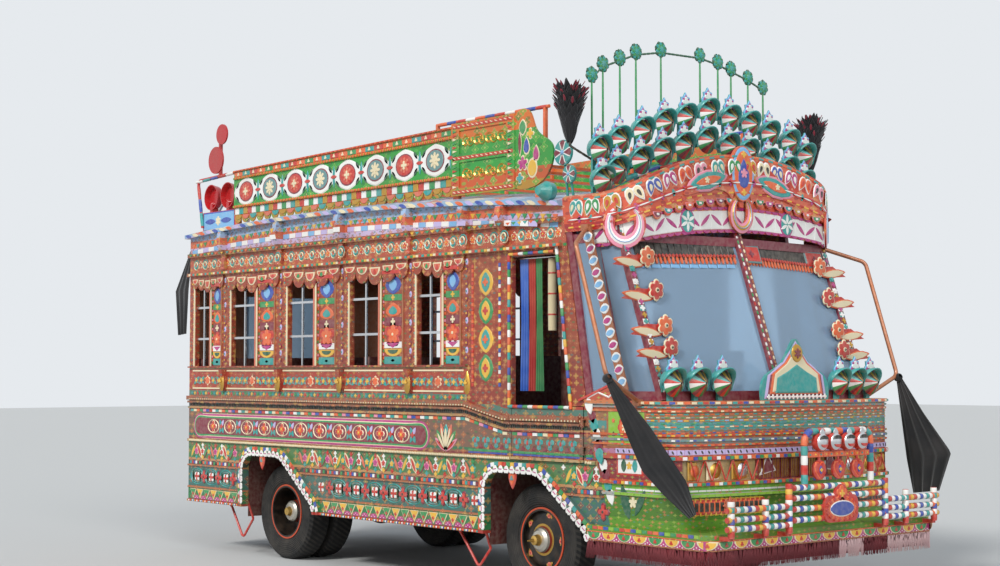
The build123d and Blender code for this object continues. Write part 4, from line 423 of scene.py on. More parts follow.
def hoop(outline, share=0.8, thick=0.004):
    """A raised outline: a plate with its middle cut out."""
    key = ("hoop", tuple(outline), share, thick)
    if key in stock:
        return stock[key]
    n = len(outline)
    mid = (1 + share) / 2
    points = [(x * k, y * k, z) for k, z in ((1, -0.001), (mid, thick), (share, -0.001)) for x, y in outline]
    faces = []
    for ring in (0, n):
        for i in range(n):
            j = (i + 1) % n
            faces.append((ring + i, ring + j, ring + n + j, ring + n + i))
    return solid(key, points, outward(outline, faces))


def ribbon(line, width, thick=0.004):
    """A raised scroll along a flat line, tapered to both ends."""
    key = ("ribbon", tuple(line), width, thick)
    if key in stock:
        return stock[key]
    points, faces = [], []
    n = len(line)
    for i, (x, y) in enumerate(line):
        before, after = line[max(i - 1, 0)], line[min(i + 1, n - 1)]
        dx, dy = after[0] - before[0], after[1] - before[1]
        length = math.hypot(dx, dy) or 1.0
        w = width / 2 * (0.25 + 0.75 * math.sin(math.pi * (i + 0.5) / n))
        points += [(x - dy / length * w, y + dx / length * w, -0.001), (x, y, thick),
                   (x + dy / length * w, y - dx / length * w, -0.001)]
    for i in range(n - 1):
        a, b = 3 * i, 3 * i + 3
        faces += [(a + 1, a, b, b + 1), (a + 2, a + 1, b + 1, b + 2)]
    return solid(key, points, faces)


def spiral(size, turns=1.3, count=14, flip=1):
    """A line that curls in, for scrolls."""
    line = []
    for i in range(count):
        share = i / (count - 1)
        angle = turns * 2 * math.pi * share
        radius = size * (1 - 0.8 * share)
        line.append((flip * radius * math.cos(angle), radius * math.sin(angle)))
    return tuple(line)


def barrel(radius, length, sides=10, bulge=0.0015):
    """A ring of tape or a bead threaded on a tube, with its axis along the line."""
    key = ("barrel", radius, length, sides, bulge)
    if key in stock:
        return stock[key]
    points = []
    for x, r in ((-length / 2, radius), (-length / 4, radius + bulge), (length / 4, radius + bulge),
                 (length / 2, radius)):
        for i in range(sides):
            a = 2 * math.pi * i / sides
            points.append((x, r * math.cos(a), r * math.sin(a)))
    faces = [(s * sides + i, s * sides + (i + 1) % sides, (s + 1) * sides + (i + 1) % sides, (s + 1) * sides + i)
             for s in range(3) for i in range(sides)]
    faces = [face[::-1] for face in faces]
    return solid(key, points, faces, smooth=True)


print("shapes ready")

# %% [markdown]
# The tree below takes a cloud of points that carry a turn and a size, puts the chosen
# shape on each, tilts it by a small chance amount, as hand-laid work is never true, and
# gives it one material. It ends as plain mesh, so nothing depends on it later.

# %% The tree that lays the shapes
def motif_tree():
    """The tree and the names of its input sockets."""
    tree = bpy.data.node_groups.new("motifs_on_points", "GeometryNodeTree")
    sockets = {}
    for name, kind in (("Points", "Geometry"), ("Motif", "Object"), ("Material", "Material"),
                       ("Wander", "Float"), ("Seed", "Int")):
        sockets[name] = tree.interface.new_socket(name, in_out="INPUT", socket_type="NodeSocket" + kind).identifier
    tree.interface.new_socket("Pieces", in_out="OUTPUT", socket_type="NodeSocketGeometry")
    given = put(tree, "NodeGroupInput")
    shape = put(tree, "GeometryNodeObjectInfo", {"Object": given.outputs["Motif"]})
    turn = put(tree, "GeometryNodeInputNamedAttribute", {"Name": "turn"}, data_type="FLOAT_VECTOR")
    size = put(tree, "GeometryNodeInputNamedAttribute", {"Name": "size"}, data_type="FLOAT_VECTOR")
    laid = put(tree, "GeometryNodeInstanceOnPoints", {
        "Points": given.outputs["Points"], "Instance": shape.outputs["Geometry"],
        "Rotation": turn.outputs["Attribute"], "Scale": size.outputs["Attribute"]})
    less = maths(tree, "MULTIPLY", given.outputs["Wander"], -1.0)
    low = put(tree, "ShaderNodeCombineXYZ", {"Z": less})
    high = put(tree, "ShaderNodeCombineXYZ", {"Z": given.outputs["Wander"]})
    chance = put(tree, "FunctionNodeRandomValue", {0: low.outputs[0], 1: high.outputs[0],
                                                   "Seed": given.outputs["Seed"]},
                 data_type="FLOAT_VECTOR")
    tilted = put(tree, "GeometryNodeRotateInstances", {"Instances": laid.outputs[0], "Rotation": chance.outputs[0]})
    plain = put(tree, "GeometryNodeRealizeInstances", {"Geometry": tilted.outputs[0]})
    painted = put(tree, "GeometryNodeSetMaterial", {"Geometry": plain.outputs[0],
                                                    "Material": given.outputs["Material"]})
    put(tree, "NodeGroupOutput", {0: painted.outputs[0]})
    return tree, sockets


layer_tree, layer_sockets = motif_tree()
work = {}


def keep(piece, body, points, faces, material, smooth=False):
    """Adds a mesh to a piece that is built later."""
    name = piece if body == "body" else piece + "_" + body
    work.setdefault(name, {"body": body, "chunks": []})["chunks"].append(
        (np.asarray(points, dtype=np.float32).reshape(-1, 3), list(faces), material, smooth))


WALL = 1.10  # half the width of the body, which is the side walls' outer face
AXLES = (1.480, -1.670)
HUB_Z = 0.385
ARCH = [(-0.43, 0.30), (-0.43, 0.85), (0.15, 0.85), (0.59, 0.50), (0.64, 0.30)]
DOORS = {"driver_door": (-1, 1.322, 2.036, 0.930, 1.295), "passenger_door": (1, 0.265, 0.820, 0.478, 2.224)}


def in_arch(x, z, grow):
    """Whether a place is in a wheel's arch, grown by a margin."""
    for axle in AXLES:
        shape = [(axle + px + grow * (1 if px > 0 else -1), pz + grow * (pz > 0.4)) for px, pz in ARCH]
        inside = False
        for (x0, z0), (x1, z1) in zip(shape, shape[1:] + shape[:1]):
            if (z0 > z) != (z1 > z) and x < (x1 - x0) * (z - z0) / (z1 - z0) + x0:
                inside = not inside
        if inside:
            return True
    return False


def owner(place, half):
    """The body that a side ornament belongs to, or none where it would cross an edge."""
    for name, (side, x0, x1, z0, z1) in DOORS.items():
        if place.y * side > 1.04:
            if x0 + half < place.x < x1 - half and z0 + half < place.z < z1 - half:
                return name
            if x0 - half < place.x < x1 + half and z0 - half < place.z < z1 + half:
                return None
    if abs(place.y) > 1.04 and place.z < 1.0 and in_arch(place.x, place.z, 0.066 + half):
        return None
    return "body"


def lay(piece, places, motif, colours, lift=0.0, half=None, body="body", wander=0.0):
    """Sets a shape on each place, in one material or in named colours that follow in turn."""
    finishes = [tape[name] for name in colours.split()] if isinstance(colours, str) else [colours]
    for number, material in enumerate(finishes):
        set_out(piece, places[number::len(finishes)], motif, material, lift, half, body, wander)


def set_out(piece, places, motif, material, lift, half, body, wander):
    """Sets one shape on each place; half is its reach, where it has to keep clear of edges."""
    by_body = {}
    for place in places:
        held = body if half is None else owner(place[0], half)
        if held:
            by_body.setdefault(held, []).append(place)
    for held, group in by_body.items():
        cloud = bpy.data.meshes.new("cloud")
        spots, turns, sizes = [], [], []
        for spot, along, up, size in group:
            out = along.cross(up).normalized()
            spots.append(spot + out * lift)
            turns += Matrix((along, up, out)).transposed().to_euler()[:]
            sizes += [size, size, size]
        cloud.from_pydata(spots, [], [])
        for name, values in (("turn", turns), ("size", sizes)):
            cloud.attributes.new(name, "FLOAT_VECTOR", "POINT").data.foreach_set("vector", values)
        carrier = bpy.data.objects.new("cloud", cloud)
        bpy.context.scene.collection.objects.link(carrier)
        layer = carrier.modifiers.new("layer", "NODES")
        layer.node_group = layer_tree
        layer[layer_sockets["Motif"]] = motif
        layer[layer_sockets["Material"]] = material
        layer[layer_sockets["Wander"]] = wander
        layer[layer_sockets["Seed"]] = 7
        graph = bpy.context.evaluated_depsgraph_get()
        done = bpy.data.meshes.new_from_object(carrier.evaluated_get(graph), depsgraph=graph)
        points = np.empty(len(done.vertices) * 3, dtype=np.float32)
        done.vertices.foreach_get("co", points)
        keep(piece, held, points, [tuple(p.vertices) for p in done.polygons], material,
             bool(done.polygons and done.polygons[0].use_smooth))
        bpy.data.objects.remove(carrier)
        bpy.data.meshes.remove(done)


def walk(points, pitch, first=0.5, closed=False):
    """Evenly spaced places along a line, each with the line's direction there."""
    points = [Vector(p) for p in points]
    if closed:
        points.append(points[0])
    spans = [(b - a).length for a, b in zip(points, points[1:])]
    total = sum(spans)
    count = max(1, round(total / pitch))
    found = []
    for number in range(count):
        reach = (number + first) * total / count
        for a, b, span in zip(points, points[1:], spans):
            if reach <= span or b is points[-1]:
                found.append((a.lerp(b, min(reach / span, 1.0) if span else 0), (b - a).normalized()))
                break
            reach -= span
    return found


def line(points, pitch, out=None, first=0.5, closed=False):
    """Places along a line, upright and facing away from the bus."""
    places = []
    for spot, along in walk(points, pitch, first, closed):
        face = Vector(out) if out else along.cross(UP).normalized()
        places.append((spot, along, face.cross(along).normalized(), 1.0))
    return places


def ahead(x, y, z):
    """One upright place that faces the front."""
    return Vector((x, y, z)), Vector((0, 1, 0)), UP, 1.0


def aside(x, y, z):
    """One upright place that faces the right."""
    return Vector((x, y, z)), Vector((1, 0, 0)), UP, 1.0


shapes = {}


def on(names, places, reach=0.08):
    """Moves each place on to the true surface of the named CAD pieces, or drops it."""
    held = []
    for name in names:
        if name not in shapes:
            data = nodes[name].data
            shapes[name] = BVHTree.FromPolygons([v.co[:] for v in data.vertices],
                                                [p.vertices[:] for p in data.polygons])
    for spot, along, up, size in places:
        out = along.cross(up).normalized()
        hits = [shapes[n].ray_cast(spot + out * reach, -out, 2 * reach) for n in names]
        hits = [h for h in hits if h[0]]
        if hits:
            nearest = min(hits, key=lambda h: h[3])
            held.append((nearest[0], along, up, size))
    return held


def mirror(places):
    """The same places on the other side of the bus."""
    def flip(v):
        return Vector((v.x, -v.y, v.z))

    return [(flip(spot), -flip(along), flip(up), size) for spot, along, up, size in places]


def both(places):
    """The places on both sides of the bus."""
    return places + mirror(places)


def turned(places, angle):
    """The same places with each ornament turned in its own plane."""
    result = []
    for spot, along, up, size in places:
        result.append((spot, along * math.cos(angle) + up * math.sin(angle),
                       up * math.cos(angle) - along * math.sin(angle), size))
    return result


def shifted(places, across=0.0, rise=0.0):
    """The same places moved in their own plane."""
    return [(spot + along * across + up * rise, along, up, size) for spot, along, up, size in places]


def stack(piece, places, *layers, **settings):
    """Lays several shapes on the same places; each is a shape, its colours and its lift."""
    for layer in layers:
        lay(piece, places, *layer, **settings)


def strip(piece, points, width, thick, colour, out):
    """A flat moulding along a line, square in section."""
    points = [Vector(p) for p in points]
    rings, faces = [], []
    for i, point in enumerate(points):
        along = (points[min(i + 1, len(points) - 1)] - points[max(i - 1, 0)]).normalized()
        face = Vector(out).normalized()
        side = face.cross(along).normalized() * width / 2
        rings += [point + side - face * 0.002, point + side + face * thick,
                  point - side + face * thick, point - side - face * 0.002]
    for i in range(len(points) - 1):
        for k in range(4):
            a, b = 4 * i + k, 4 * i + (k + 1) % 4
            faces.append((a, b, b + 4, a + 4))
    end = 4 * (len(points) - 1)
    faces += [(3, 2, 1, 0), (end, end + 1, end + 2, end + 3)]
    keep(piece, "body", [p[:] for p in rings], faces, tape[colour])


print("laying tools ready")

# %% [markdown]
# Lower side, from the skirt up. Each row is named by its real ornament: beads on the
# skirt's edge, hanging triangles, ovals with flowers, tape blocks, leaves, the long
# medallion frame, and the stepped cornice under the windows.

# %% Rows on the lower side
BLOCKS = "teal red blue white maroon green black orange"
BEADS = "white red orange teal white blue yellow red"
lower = ("lower_side_right", "driver_door")


def side_line(z, start, end):
    """A level line along the right side that drops beside the cab, if it is a waist row."""
    end = 2.05 - 0.3 * (z - 1.219) if end is None else end
    points = [(start, -WALL, z)]
    if z > 1.17 and end > 0.822:
        points += [(0.822, -WALL, z), (1.25, -WALL, z - 0.091), (end, -WALL, z - 0.091)]
    else:
        points.append((end, -WALL, z))
    return points


def side_row(z, pitch, start=-2.985, end=None, first=0.5):
    """A level row on the lower side, on both sides."""
    return both(on(lower, line(side_line(z, start, end), pitch, first=first)))


lay("skirt_beads", side_row(0.415, 0.017, end=1.98), plate(oval(0.0165, 0.017, 6), 0.005, 0.003), BEADS, half=0.008)

hanging = side_row(0.474, 0.112, end=1.98)
stack("skirt_triangles", hanging, (plate(wedge(0.112, 0.088)), "cream"),
      (plate(wedge(0.094, 0.072), at=(0, 0.004)), "green yellow", 0.002),
      (plate(petals(4, 0.016), 0.004), "red", 0.0035), half=0.05)
rounds = side_row(0.446, 0.112, end=1.98, first=1.0)
lay("skirt_triangles", rounds, plate(half_round(0.088, 0.034), turn=math.pi), "magenta", 0, 0.05)
for across, rise in ((-0.02, -0.008), (0, 0.004), (0.02, -0.008)):
    lay("skirt_triangles", shifted(rounds, across, rise), plate(oval(0.008, 0.008, 6), 0.002), "white", 0.003, 0.05)

ovals = side_row(0.625, 0.232)
stack("skirt_ovals", ovals, (hoop(oval(0.228, 0.146, 20), 0.86), "teal", 0.001),
      (hoop(oval(0.186, 0.112, 20), 0.84), "slate", 0.001), half=0.1)
lay("skirt_ovals", turned(ovals, 0.78), plate(petals(4, 0.046, 0.3)), "white", 0.001, 0.05)
lay("skirt_ovals", ovals, plate(petals(4, 0.036, 0.3)), "red", 0.004, 0.05)
between = side_row(0.625, 0.232, first=1.0)
stack("skirt_ovals", between, (plate(petals(4, 0.062, 0.45)), "maroon", 0.003),
      (plate(petals(4, 0.05, 0.45), 0.003, 0.004), "red", 0.005),
      (plate(oval(0.022, 0.022, 8)), "black", 0.009), half=0.06)
for rise in (-0.0058, 0.0058):
    for across in (0.058, -0.058):
        lay("skirt_ovals", shifted(ovals, 0, rise), plate(leaf(0.02, 0.11), at=(across, 0)), "forest", 0.002, 0.1)

lay("side_blocks", side_row(0.744, 0.030), plate(block(0.027, 0.027), 0.004), BLOCKS, half=0.014)

stems = side_row(0.843, 0.105)
swing = [turned([p], 0.5 if i % 2 else -0.5)[0] for i, p in enumerate(stems)]
stack("side_leaves", swing, (plate(leaf(0.05, 0.150)), "green cream maroon forest"),
      (plate(leaf(0.03, 0.118)), "yellow red green salmon", 0.002), half=0.04)
blooms = side_row(0.843, 0.105, first=1.0)
stack("side_leaves", blooms, (plate(petals(5, 0.036, 0.6)), "pink white teal", 0.001),
      (plate(petals(5, 0.024, 0.6)), "magenta red yellow", 0.004), half=0.04)
for rise, colours in ((-0.052, "teal yellow red"), (0.052, "red white green")):
    lay("side_leaves", shifted(blooms, 0, rise), plate(petals(4, 0.02)), colours, 0.001, 0.03)

lay("belt_beads", side_row(0.935, 0.020), plate(oval(0.018, 0.018, 6), 0.004, 0.002), "cream", 0, 0.010)

# %% [markdown]
# The long medallion frame is the side's centrepiece: bands of cream, magenta and green
# tape round a maroon ground, with eleven rosettes between paired drops. It could be one
# painted picture; here it is laid in tape, so that its edges catch the light.

# %% The medallion frame
def round_bar(width, height):
    """A long bar with round ends."""
    r = height / 2
    turns = [math.pi * i / 8 for i in range(9)]
    return ([(-width / 2 + r * (1 - math.sin(a)), -r * math.cos(a)) for a in turns]
            + [(width / 2 - r * (1 - math.sin(a)), r * math.cos(a)) for a in turns])


frame_z = 1.062
for side, x, length in ((-1, -1.26, 3.36), (1, -1.36, 3.16)):
    middle = [(Vector((x, side * WALL, frame_z)), Vector((-side, 0, 0)), UP, 1.0)]
    for cut, height, colour, lift in ((0.0, 0.222, "cream", 0.001), (0.02, 0.208, "magenta", 0.003),
                                      (0.05, 0.182, "cream", 0.005), (0.06, 0.174, "green", 0.006),
                                      (0.09, 0.142, "maroon", 0.008)):
        lay("medallion_frame", middle, plate(round_bar(length - cut, height), 0.001), colour, lift)
# On the left the frame is shorter, and its flowers stop before the passenger door
rosette, halfway = [[p for p in both(line([(-2.72, -WALL, frame_z), (0.22, -WALL, frame_z)], 0.267, first=first))
                     if p[0].y < 0 or p[0].x <= 0.1] for first in (0.5, 1.0)]
base = 0.010  # the flowers sit on the frame's topmost tape
stack("medallion_flowers", rosette, (hoop(oval(0.190, 0.120, 16), 0.86), "cream", base),
      (plate(petals(4, 0.056, 0.5)), "cream", base), (plate(petals(4, 0.049, 0.5)), "red", base + 0.003))
lay("medallion_flowers", turned(rosette, 0.78), plate(petals(4, 0.030, 0.5)), "orange", base + 0.005)
lay("medallion_flowers", rosette, plate(oval(0.024, 0.024, 8), 0.003, 0.003), "yellow", base + 0.008)
for angle in (0.5, -0.5, math.pi + 0.5, math.pi - 0.5):
    lay("medallion_flowers", turned(halfway, angle), plate(drop(0.036, 0.060), at=(0, 0.036)),
        "teal" if angle > 0 else "lilac", base)
lay("medallion_flowers", halfway, plate(petals(4, 0.024)), "red", base + 0.003)

# The frame's front end: tall painted blades that fan out, then a lotus row to the cab
fans = [aside(0.60, -WALL, 0.955)]
for angle, width, height, colour in ((0.0, 0.07, 0.20, "teal"), (0.30, 0.05, 0.21, "salmon"),
                                     (-0.30, 0.05, 0.21, "salmon"),
                                     (0.62, 0.05, 0.19, "green"), (-0.62, 0.05, 0.19, "green"),
                                     (0.92, 0.04, 0.16, "pink"), (-0.92, 0.04, 0.16, "pink")):
    stack("side_fan", turned(fans, angle),
          (plate(leaf(width, height), 0.004, at=(0, height / 2)), colour, 0.001),
          (plate(leaf(width * 0.45, height * 0.7), at=(0, height / 2)), "cream" if colour != "pink" else "red",
           0.005), half=0.0)
for z, colour, width in ((0.962, "blue", 0.012), (0.978, "green", 0.016)):
    lay("lotus_row", side_row(z, 0.060, 0.85), plate(block(0.060, width), 0.002), colour, half=0.030)
lotus = side_row(1.040, 0.110, 0.88)
stack("lotus_row", lotus, (plate(petals(3, 0.046, 0.4), turn=math.pi), "teal", 0.001),
      (plate(petals(3, 0.030, 0.4), turn=math.pi), "slate", 0.004),
      (plate(drop(0.020, 0.034), at=(0, 0.006)), "red", 0.007), half=0.045)
lay("lotus_row", side_row(1.010, 0.110, 0.88, first=1.0), plate(wedge(0.050, 0.034), turn=math.pi), "maroon", 0.001,
    0.03)

# %% The stepped cornice under the windows
lay("waist_blocks", side_row(1.194, 0.052), plate(block(0.049, 0.022), 0.004),
    "teal cream orange green pink blue red white", half=0.026)
lay("waist_dentils", side_row(1.244, 0.024), plate(block(0.012, 0.020), 0.004), "black", half=0.010)
lay("waist_dentils", side_row(1.292, 0.016), plate(oval(0.013, 0.013, 6)), "copper cream", half=0.008)
lay("waist_flowers", side_row(1.342, 0.046, end=0.80), plate(petals(4, 0.017)), "teal yellow red green", half=0.018)
print("lower side rows:", len(work))

# %% [markdown]
# Window wall: five bays a side. Each bay has an opening, a painted shutter, a sill panel
# and a gold foot under its pillar; over them run a scalloped valance, a frieze and the
# small triangles under the eave. One loop over the bays lays them all.

# %% Rows on the window wall
upper = ("upper_side_right",)
sill = ("lower_side_right",)
EDGES = [-2.985, -2.422, -1.560, -0.694, 0.179, 0.836]


def spot_row(names, spots):
    """Single upright places on the right wall, mirrored to the left."""
    return both(on(names, [aside(x, -WALL, z) for x, z in spots]))


def upper_row(z, pitch, first=0.5):
    """A level row on the window wall, on both sides."""
    return both(on(upper, line([(-2.985, -WALL, z), (1.95, -WALL, z)], pitch, first=first), 0.1))


def upright_row(x, low, high, pitch):
    """A row up the window wall and its mirror on the left."""
    return both(on(upper, line([(x, -WALL, low), (x, -WALL, high)], pitch, out=(0, -1, 0))))


def eave(x, drop=0.0):
    """Height of the eave's curve over the window wall."""
    return 2.750 - (x + 1.0) ** 2 / 66 - drop


for back, front in zip(EDGES, EDGES[1:]):
    bay = front - back
    wide = 0.29 * bay - 0.02
    shutter = back + 0.735 * bay
    hole = (back + 0.12 * bay, back + 0.54 * bay)
    for x, colour in ((hole[0] - 0.014, "cream"), (hole[1] + 0.012, "salmon"), (back + 0.58 * bay, "cream"),
                      (back + 0.895 * bay, "copper")):
        for p in spot_row(upper, [(x, 1.95)]):
            side = 1 if p[0].y > 0 else -1
            if side < 0 or not 0.23 < x < 0.85:
                strip("window_trim", [(x, side * WALL, 1.565), (x, side * WALL, 2.345)], 0.016, 0.007, colour,
                      out=(0, side, 0))
    beads = upright_row(hole[0] - 0.032, 1.58, 2.30, 0.022)
    lay("window_beads", beads, plate(oval(0.016, 0.018, 6), 0.003, 0.002), "yellow red teal orange", half=0.010)
    parts = (
        (1.610, plate(block(wide, 0.060)), "teal"), (1.610, plate(leaf(0.022, 0.05), turn=1.57), "white"),
        (1.668, plate(half_round(wide, 0.060)), "yellow"),
        (1.674, plate(half_round(wide * 0.6, 0.034), 0.005), "forest"),
        (1.725, plate(block(wide, 0.050)), "white"), (1.722, plate(wedge(wide * 0.8, 0.040), 0.005), "magenta"),
        (1.805, plate(petals(5, wide * 0.50, 0.6)), "red"),
        (1.805, plate(petals(5, wide * 0.34, 0.6), 0.006), "orange"),
        (1.805, plate(oval(0.024, 0.024, 8), 0.009), "cream"),
        (1.900, plate(block(wide, 0.070)), "maroon"), (1.900, plate(petals(4, 0.030, 0.4), 0.005), "cream"),
        (1.990, plate(drop(wide * 0.9, 0.110)), "orange"), (1.984, plate(drop(wide * 0.5, 0.070), 0.006), "teal"),
        (2.080, plate(block(wide, 0.050)), "green"), (2.080, plate(petals(4, 0.024, 0.4), 0.005), "yellow"),
        (2.175, plate(leaf(wide * 0.9, 0.150)), "blue"), (2.175, plate(leaf(wide * 0.45, 0.10), 0.006), "sky"),
        (2.270, plate(block(wide, 0.030)), "red"),
    )
    for z, motif, colour in parts:
        lay("shutters", spot_row(upper, [(shutter, z)]), motif, colour, half=wide / 2)
    for x in (back + 0.60 * bay, back + 0.87 * bay):
        beads = upright_row(x, 1.59, 2.30, 0.026)
        lay("window_beads", beads, plate(block(0.020, 0.012), 0.004), "green orange pink", half=0.010)
    stack("sill_panels", spot_row(sill, [((back + front) / 2, 1.452)]), (plate(petals(6, 0.046, 0.6)), "cream"),
          (plate(petals(6, 0.036, 0.6), 0.006), "orange"), half=0.05)
    steps = [s for s in (0.10, 0.185, 0.27, 0.35) if s < bay / 2 - 0.04]
    for s in steps:
        for way in (-1, 1):
            x = (back + front) / 2 + way * s
            spots = spot_row(sill, [(x, 1.452)])
            lay("sill_panels", turned(spots, way * 0.9), plate(leaf(0.040, 0.110)), "teal", half=0.05)
            lay("sill_panels", turned(spots, -way * 0.9), plate(leaf(0.026, 0.090)), "slate", 0.002, half=0.05)
            lay("sill_panels", spots, plate(petals(4, 0.020)), "yellow", 0.005, half=0.05)
    for side in (-1, 1):
        if side > 0 and 0.1 < back < 0.83:
            continue
        for z in (1.385, 1.535):
            ends = [(back + 0.036, side * WALL, z), (front - 0.036, side * WALL, z)]
            strip("window_trim", ends, 0.012, 0.006, "cream", out=(0, side, 0))

for x in EDGES[1:]:
    foot = spot_row(sill, [(x, 1.450)])
    stack("pillar_feet", foot, (plate(drop(0.078, 0.180), 0.004, 0.010), "gold"),
          (plate(petals(3, 0.020, 0.5), 0.004), "yellow", 0.016), half=0.04)
    column = upright_row(x, 1.60, 2.33, 0.052)
    stack("pillar_beads", column,
          (plate(oval(0.050, 0.030, 10), 0.004, 0.003), "maroon lilac maroon copper"),
          (plate(oval(0.018, 0.012, 6), 0.004), "yellow teal", 0.006), half=0.02)

# %% Valance, frieze and eave rows
for back, front in zip(EDGES, EDGES[1:]):
    low, high = back + 0.03, front - 0.02
    step = (high - low) / 5
    for number in range(5):
        depth = 0.058 + 0.034 * (1 - abs(number - 2) / 2)
        spots = spot_row(upper, [(low + step * (number + 0.5), 2.355 - depth * 0.82)])
        stack("valance_scallops", spots, (plate(half_round(step * 0.86, depth * 0.8)), "cream"),
              (plate(half_round(step * 0.64, depth * 0.6), 0.005), "salmon"),
              (plate(drop(step * 0.3, depth * 0.5), 0.007), "green" if number % 2 else "red"), half=step / 2)
lay("cornice_blocks", upper_row(2.369, 0.034), plate(block(0.030, 0.018), 0.004),
    "cream red teal orange green yellow", half=0.016)
curl = upper_row(2.452, 0.150)
flipped = upper_row(2.452, 0.150, first=1.0)
lay("frieze_scrolls", curl, ribbon(spiral(0.050), 0.018, 0.005), "teal", 0.001, half=0.05)
lay("frieze_scrolls", turned(curl, math.pi), ribbon(spiral(0.050, flip=-1), 0.014, 0.005), "cream", 0.001, half=0.05)
stack("frieze_scrolls", flipped, (plate(petals(5, 0.036, 0.5)), "cream", 0.001),
      (plate(petals(5, 0.028, 0.5)), "red orange", 0.003),
      (plate(oval(0.014, 0.014, 6)), "yellow", 0.006), half=0.04)
lay("eave_triangles", upper_row(2.537, 0.060), plate(wedge(0.052, 0.022), 0.004), "green yellow teal orange",
    half=0.03)
for offset, colours, shape in ((0.075, "orange teal yellow green", plate(wedge(0.060, 0.040), 0.004)),
                               (0.125, "sky white lilac white", plate(block(0.088, 0.040)))):
    places = line([(x, -WALL, eave(x, offset)) for x in np.linspace(-2.98, 1.80, 25)], 0.062 if offset < 0.1 else 0.09,
                  out=(0, -1, 0))
    lay("eave_rows", both(on(upper, places, 0.1)), shape, colours, half=0.03)
edge = line([(x, -1.15, eave(x, -0.015)) for x in np.linspace(-3.02, 2.30, 30)], 0.110, out=(0, -1, 0))
lay("roof_edge", both(on(("roof",), edge, 0.05)), plate(leaf(0.030, 0.105), turn=1.35), "blue cream orange lilac")

# The painted panel beside the cab opening, and the taped tube round the opening
panel = spot_row(upper, [(1.045, z) for z in (1.55, 1.75, 1.95, 2.15)])
stack("cab_panel", panel, (plate(leaf(0.17, 0.200)), "green yellow"),
      (plate(leaf(0.10, 0.150)), "yellow teal", 0.003),
      (plate(petals(4, 0.032)), "red orange", 0.006), half=0.08)
for x, colours in ((0.90, "red orange"), (1.195, "blue yellow red white")):
    beads = upright_row(x, 1.42, 2.28, 0.030)
    lay("cab_panel", beads, plate(block(0.027, 0.022), 0.005), colours, half=0.01)
ring = [(1.300, -1.106, 2.330), (1.300, -1.106, 1.288), (1.925, -1.106, 1.288), (1.790, -1.106, 2.330)]
for ring_side in (1, -1):
    tube = line([(x, y * ring_side, z) for x, y, z in ring], 0.052, out=(0, -ring_side, 0), closed=True)
    lay("cab_window_tube", tube, barrel(0.011, 0.050), "red blue green white orange yellow teal")

# %% [markdown]
# The wheel arches are edged twice: tape blocks on the outer plate, and a white scalloped
# strip with magenta lines on the inner one, with a red tongue at the crown of the arch.

# %% Wheel arches
def arch_line(axle, grow, y):
    """The outline of a wheel arch, grown outwards."""
    r = 0.14 + grow
    points = [(axle - 0.43 - grow, 0.43)]
    points += [(axle - 0.29 - r * math.cos(a), 0.71 + r * math.sin(a)) for a in [math.pi / 2 * i / 5 for i in range(6)]]
    points += [(axle + 0.09, 0.85 + grow), (axle + 0.16 + grow / 3, 0.83 + grow),
               (axle + 0.22 + grow / 2, 0.785 + grow)]
    points += [(axle + 0.59 + grow, 0.50 + grow / 2), (axle + 0.63 + grow, 0.43)]
    return [(x, y, z) for x, z in points]


for axle in AXLES:
    for grow, y, pitch, shape, colours in (
            (0.043, -1.124, 0.042, plate(block(0.040, 0.030), 0.004),
             "orange red green yellow blue white teal"),
            (0.006, -1.134, 0.060, plate(petals(3, 0.030, 0.7)), "white"),
            (0.010, -1.137, 0.060, plate(block(0.034, 0.006)), "magenta")):
        lay("arch_edges", both(line(arch_line(axle, grow, y), pitch, out=(0, -1, 0))), shape, colours)
    tongue = both([aside(axle - 0.13, -1.118, 0.800)])
    stack("arch_edges", tongue, (plate(drop(0.090, 0.150), 0.004, turn=math.pi), "red"),
          (plate(drop(0.060, 0.100), 0.004, turn=math.pi), "orange", 0.004),
          (plate(petals(3, 0.020)), "slate", 0.009))
print("window wall and arches:", len(work))

# %% [markdown]
# The nose is ruled in fine level rows that run round both corners. Its line is worked out
# once as a plan curve, and each row is that curve at a height, dropped on to the panel.

# %% Rows on the nose
def nose_line(z, start=2.34, out=0.0):
    """The plan line of the nose from the right side round the front to the left side."""
    points = [(start, -WALL - out, z), (2.66, -WALL - out, z)]
    points += [(2.66 + (0.17 + out) * math.sin(a), -0.93 - (0.17 + out) * math.cos(a), z)
               for a in [math.pi / 2 * i / 6 for i in range(1, 6)]]
    points += [(2.95 + out - 0.12 * (y / 0.93) ** 2, y, z) for y in np.linspace(-0.93, 0.93, 19)]
    points += [(x, -y, z) for x, y, z in points[6::-1]]
    return points


def nose_row(z, pitch):
    """A level row round the nose."""
    return on(("nose_panel",), line(nose_line(z, out=0.03), pitch), 0.12)


front_rows = (
    (1.329, 0.046, 0.016, "orange cream teal red blue cream"),
    (1.302, 0.030, 0.007, "orange slate teal"), (1.277, 0.030, 0.009, "red cream orange"),
    (1.258, 0.040, 0.008, "teal orange"), (1.238, 0.034, 0.007, "slate green cream"),
    (1.219, 0.040, 0.008, "teal sky yellow"), (1.199, 0.034, 0.007, "green teal slate"),
    (1.180, 0.040, 0.008, "orange teal cream"), (1.160, 0.030, 0.006, "copper slate"),
    (1.143, 0.030, 0.007, "orange red blue"), (1.127, 0.028, 0.009, "red teal yellow"),
    (1.096, 0.028, 0.010, "slate white blue slate"),
    (1.066, 0.028, 0.009, "red orange teal orange"),
    (0.986, 0.036, 0.022, "red white orange blue green yellow teal"),
    (0.824, 0.034, 0.020, "blue red yellow white teal orange green"),
)
for z, pitch, height, colours in front_rows:
    lay("nose_rows", nose_row(z, pitch), plate(block(pitch * 0.86, height), 0.004 if height > 0.012 else 0.002),
        colours)
mauve = nose_row(1.022, 0.052)
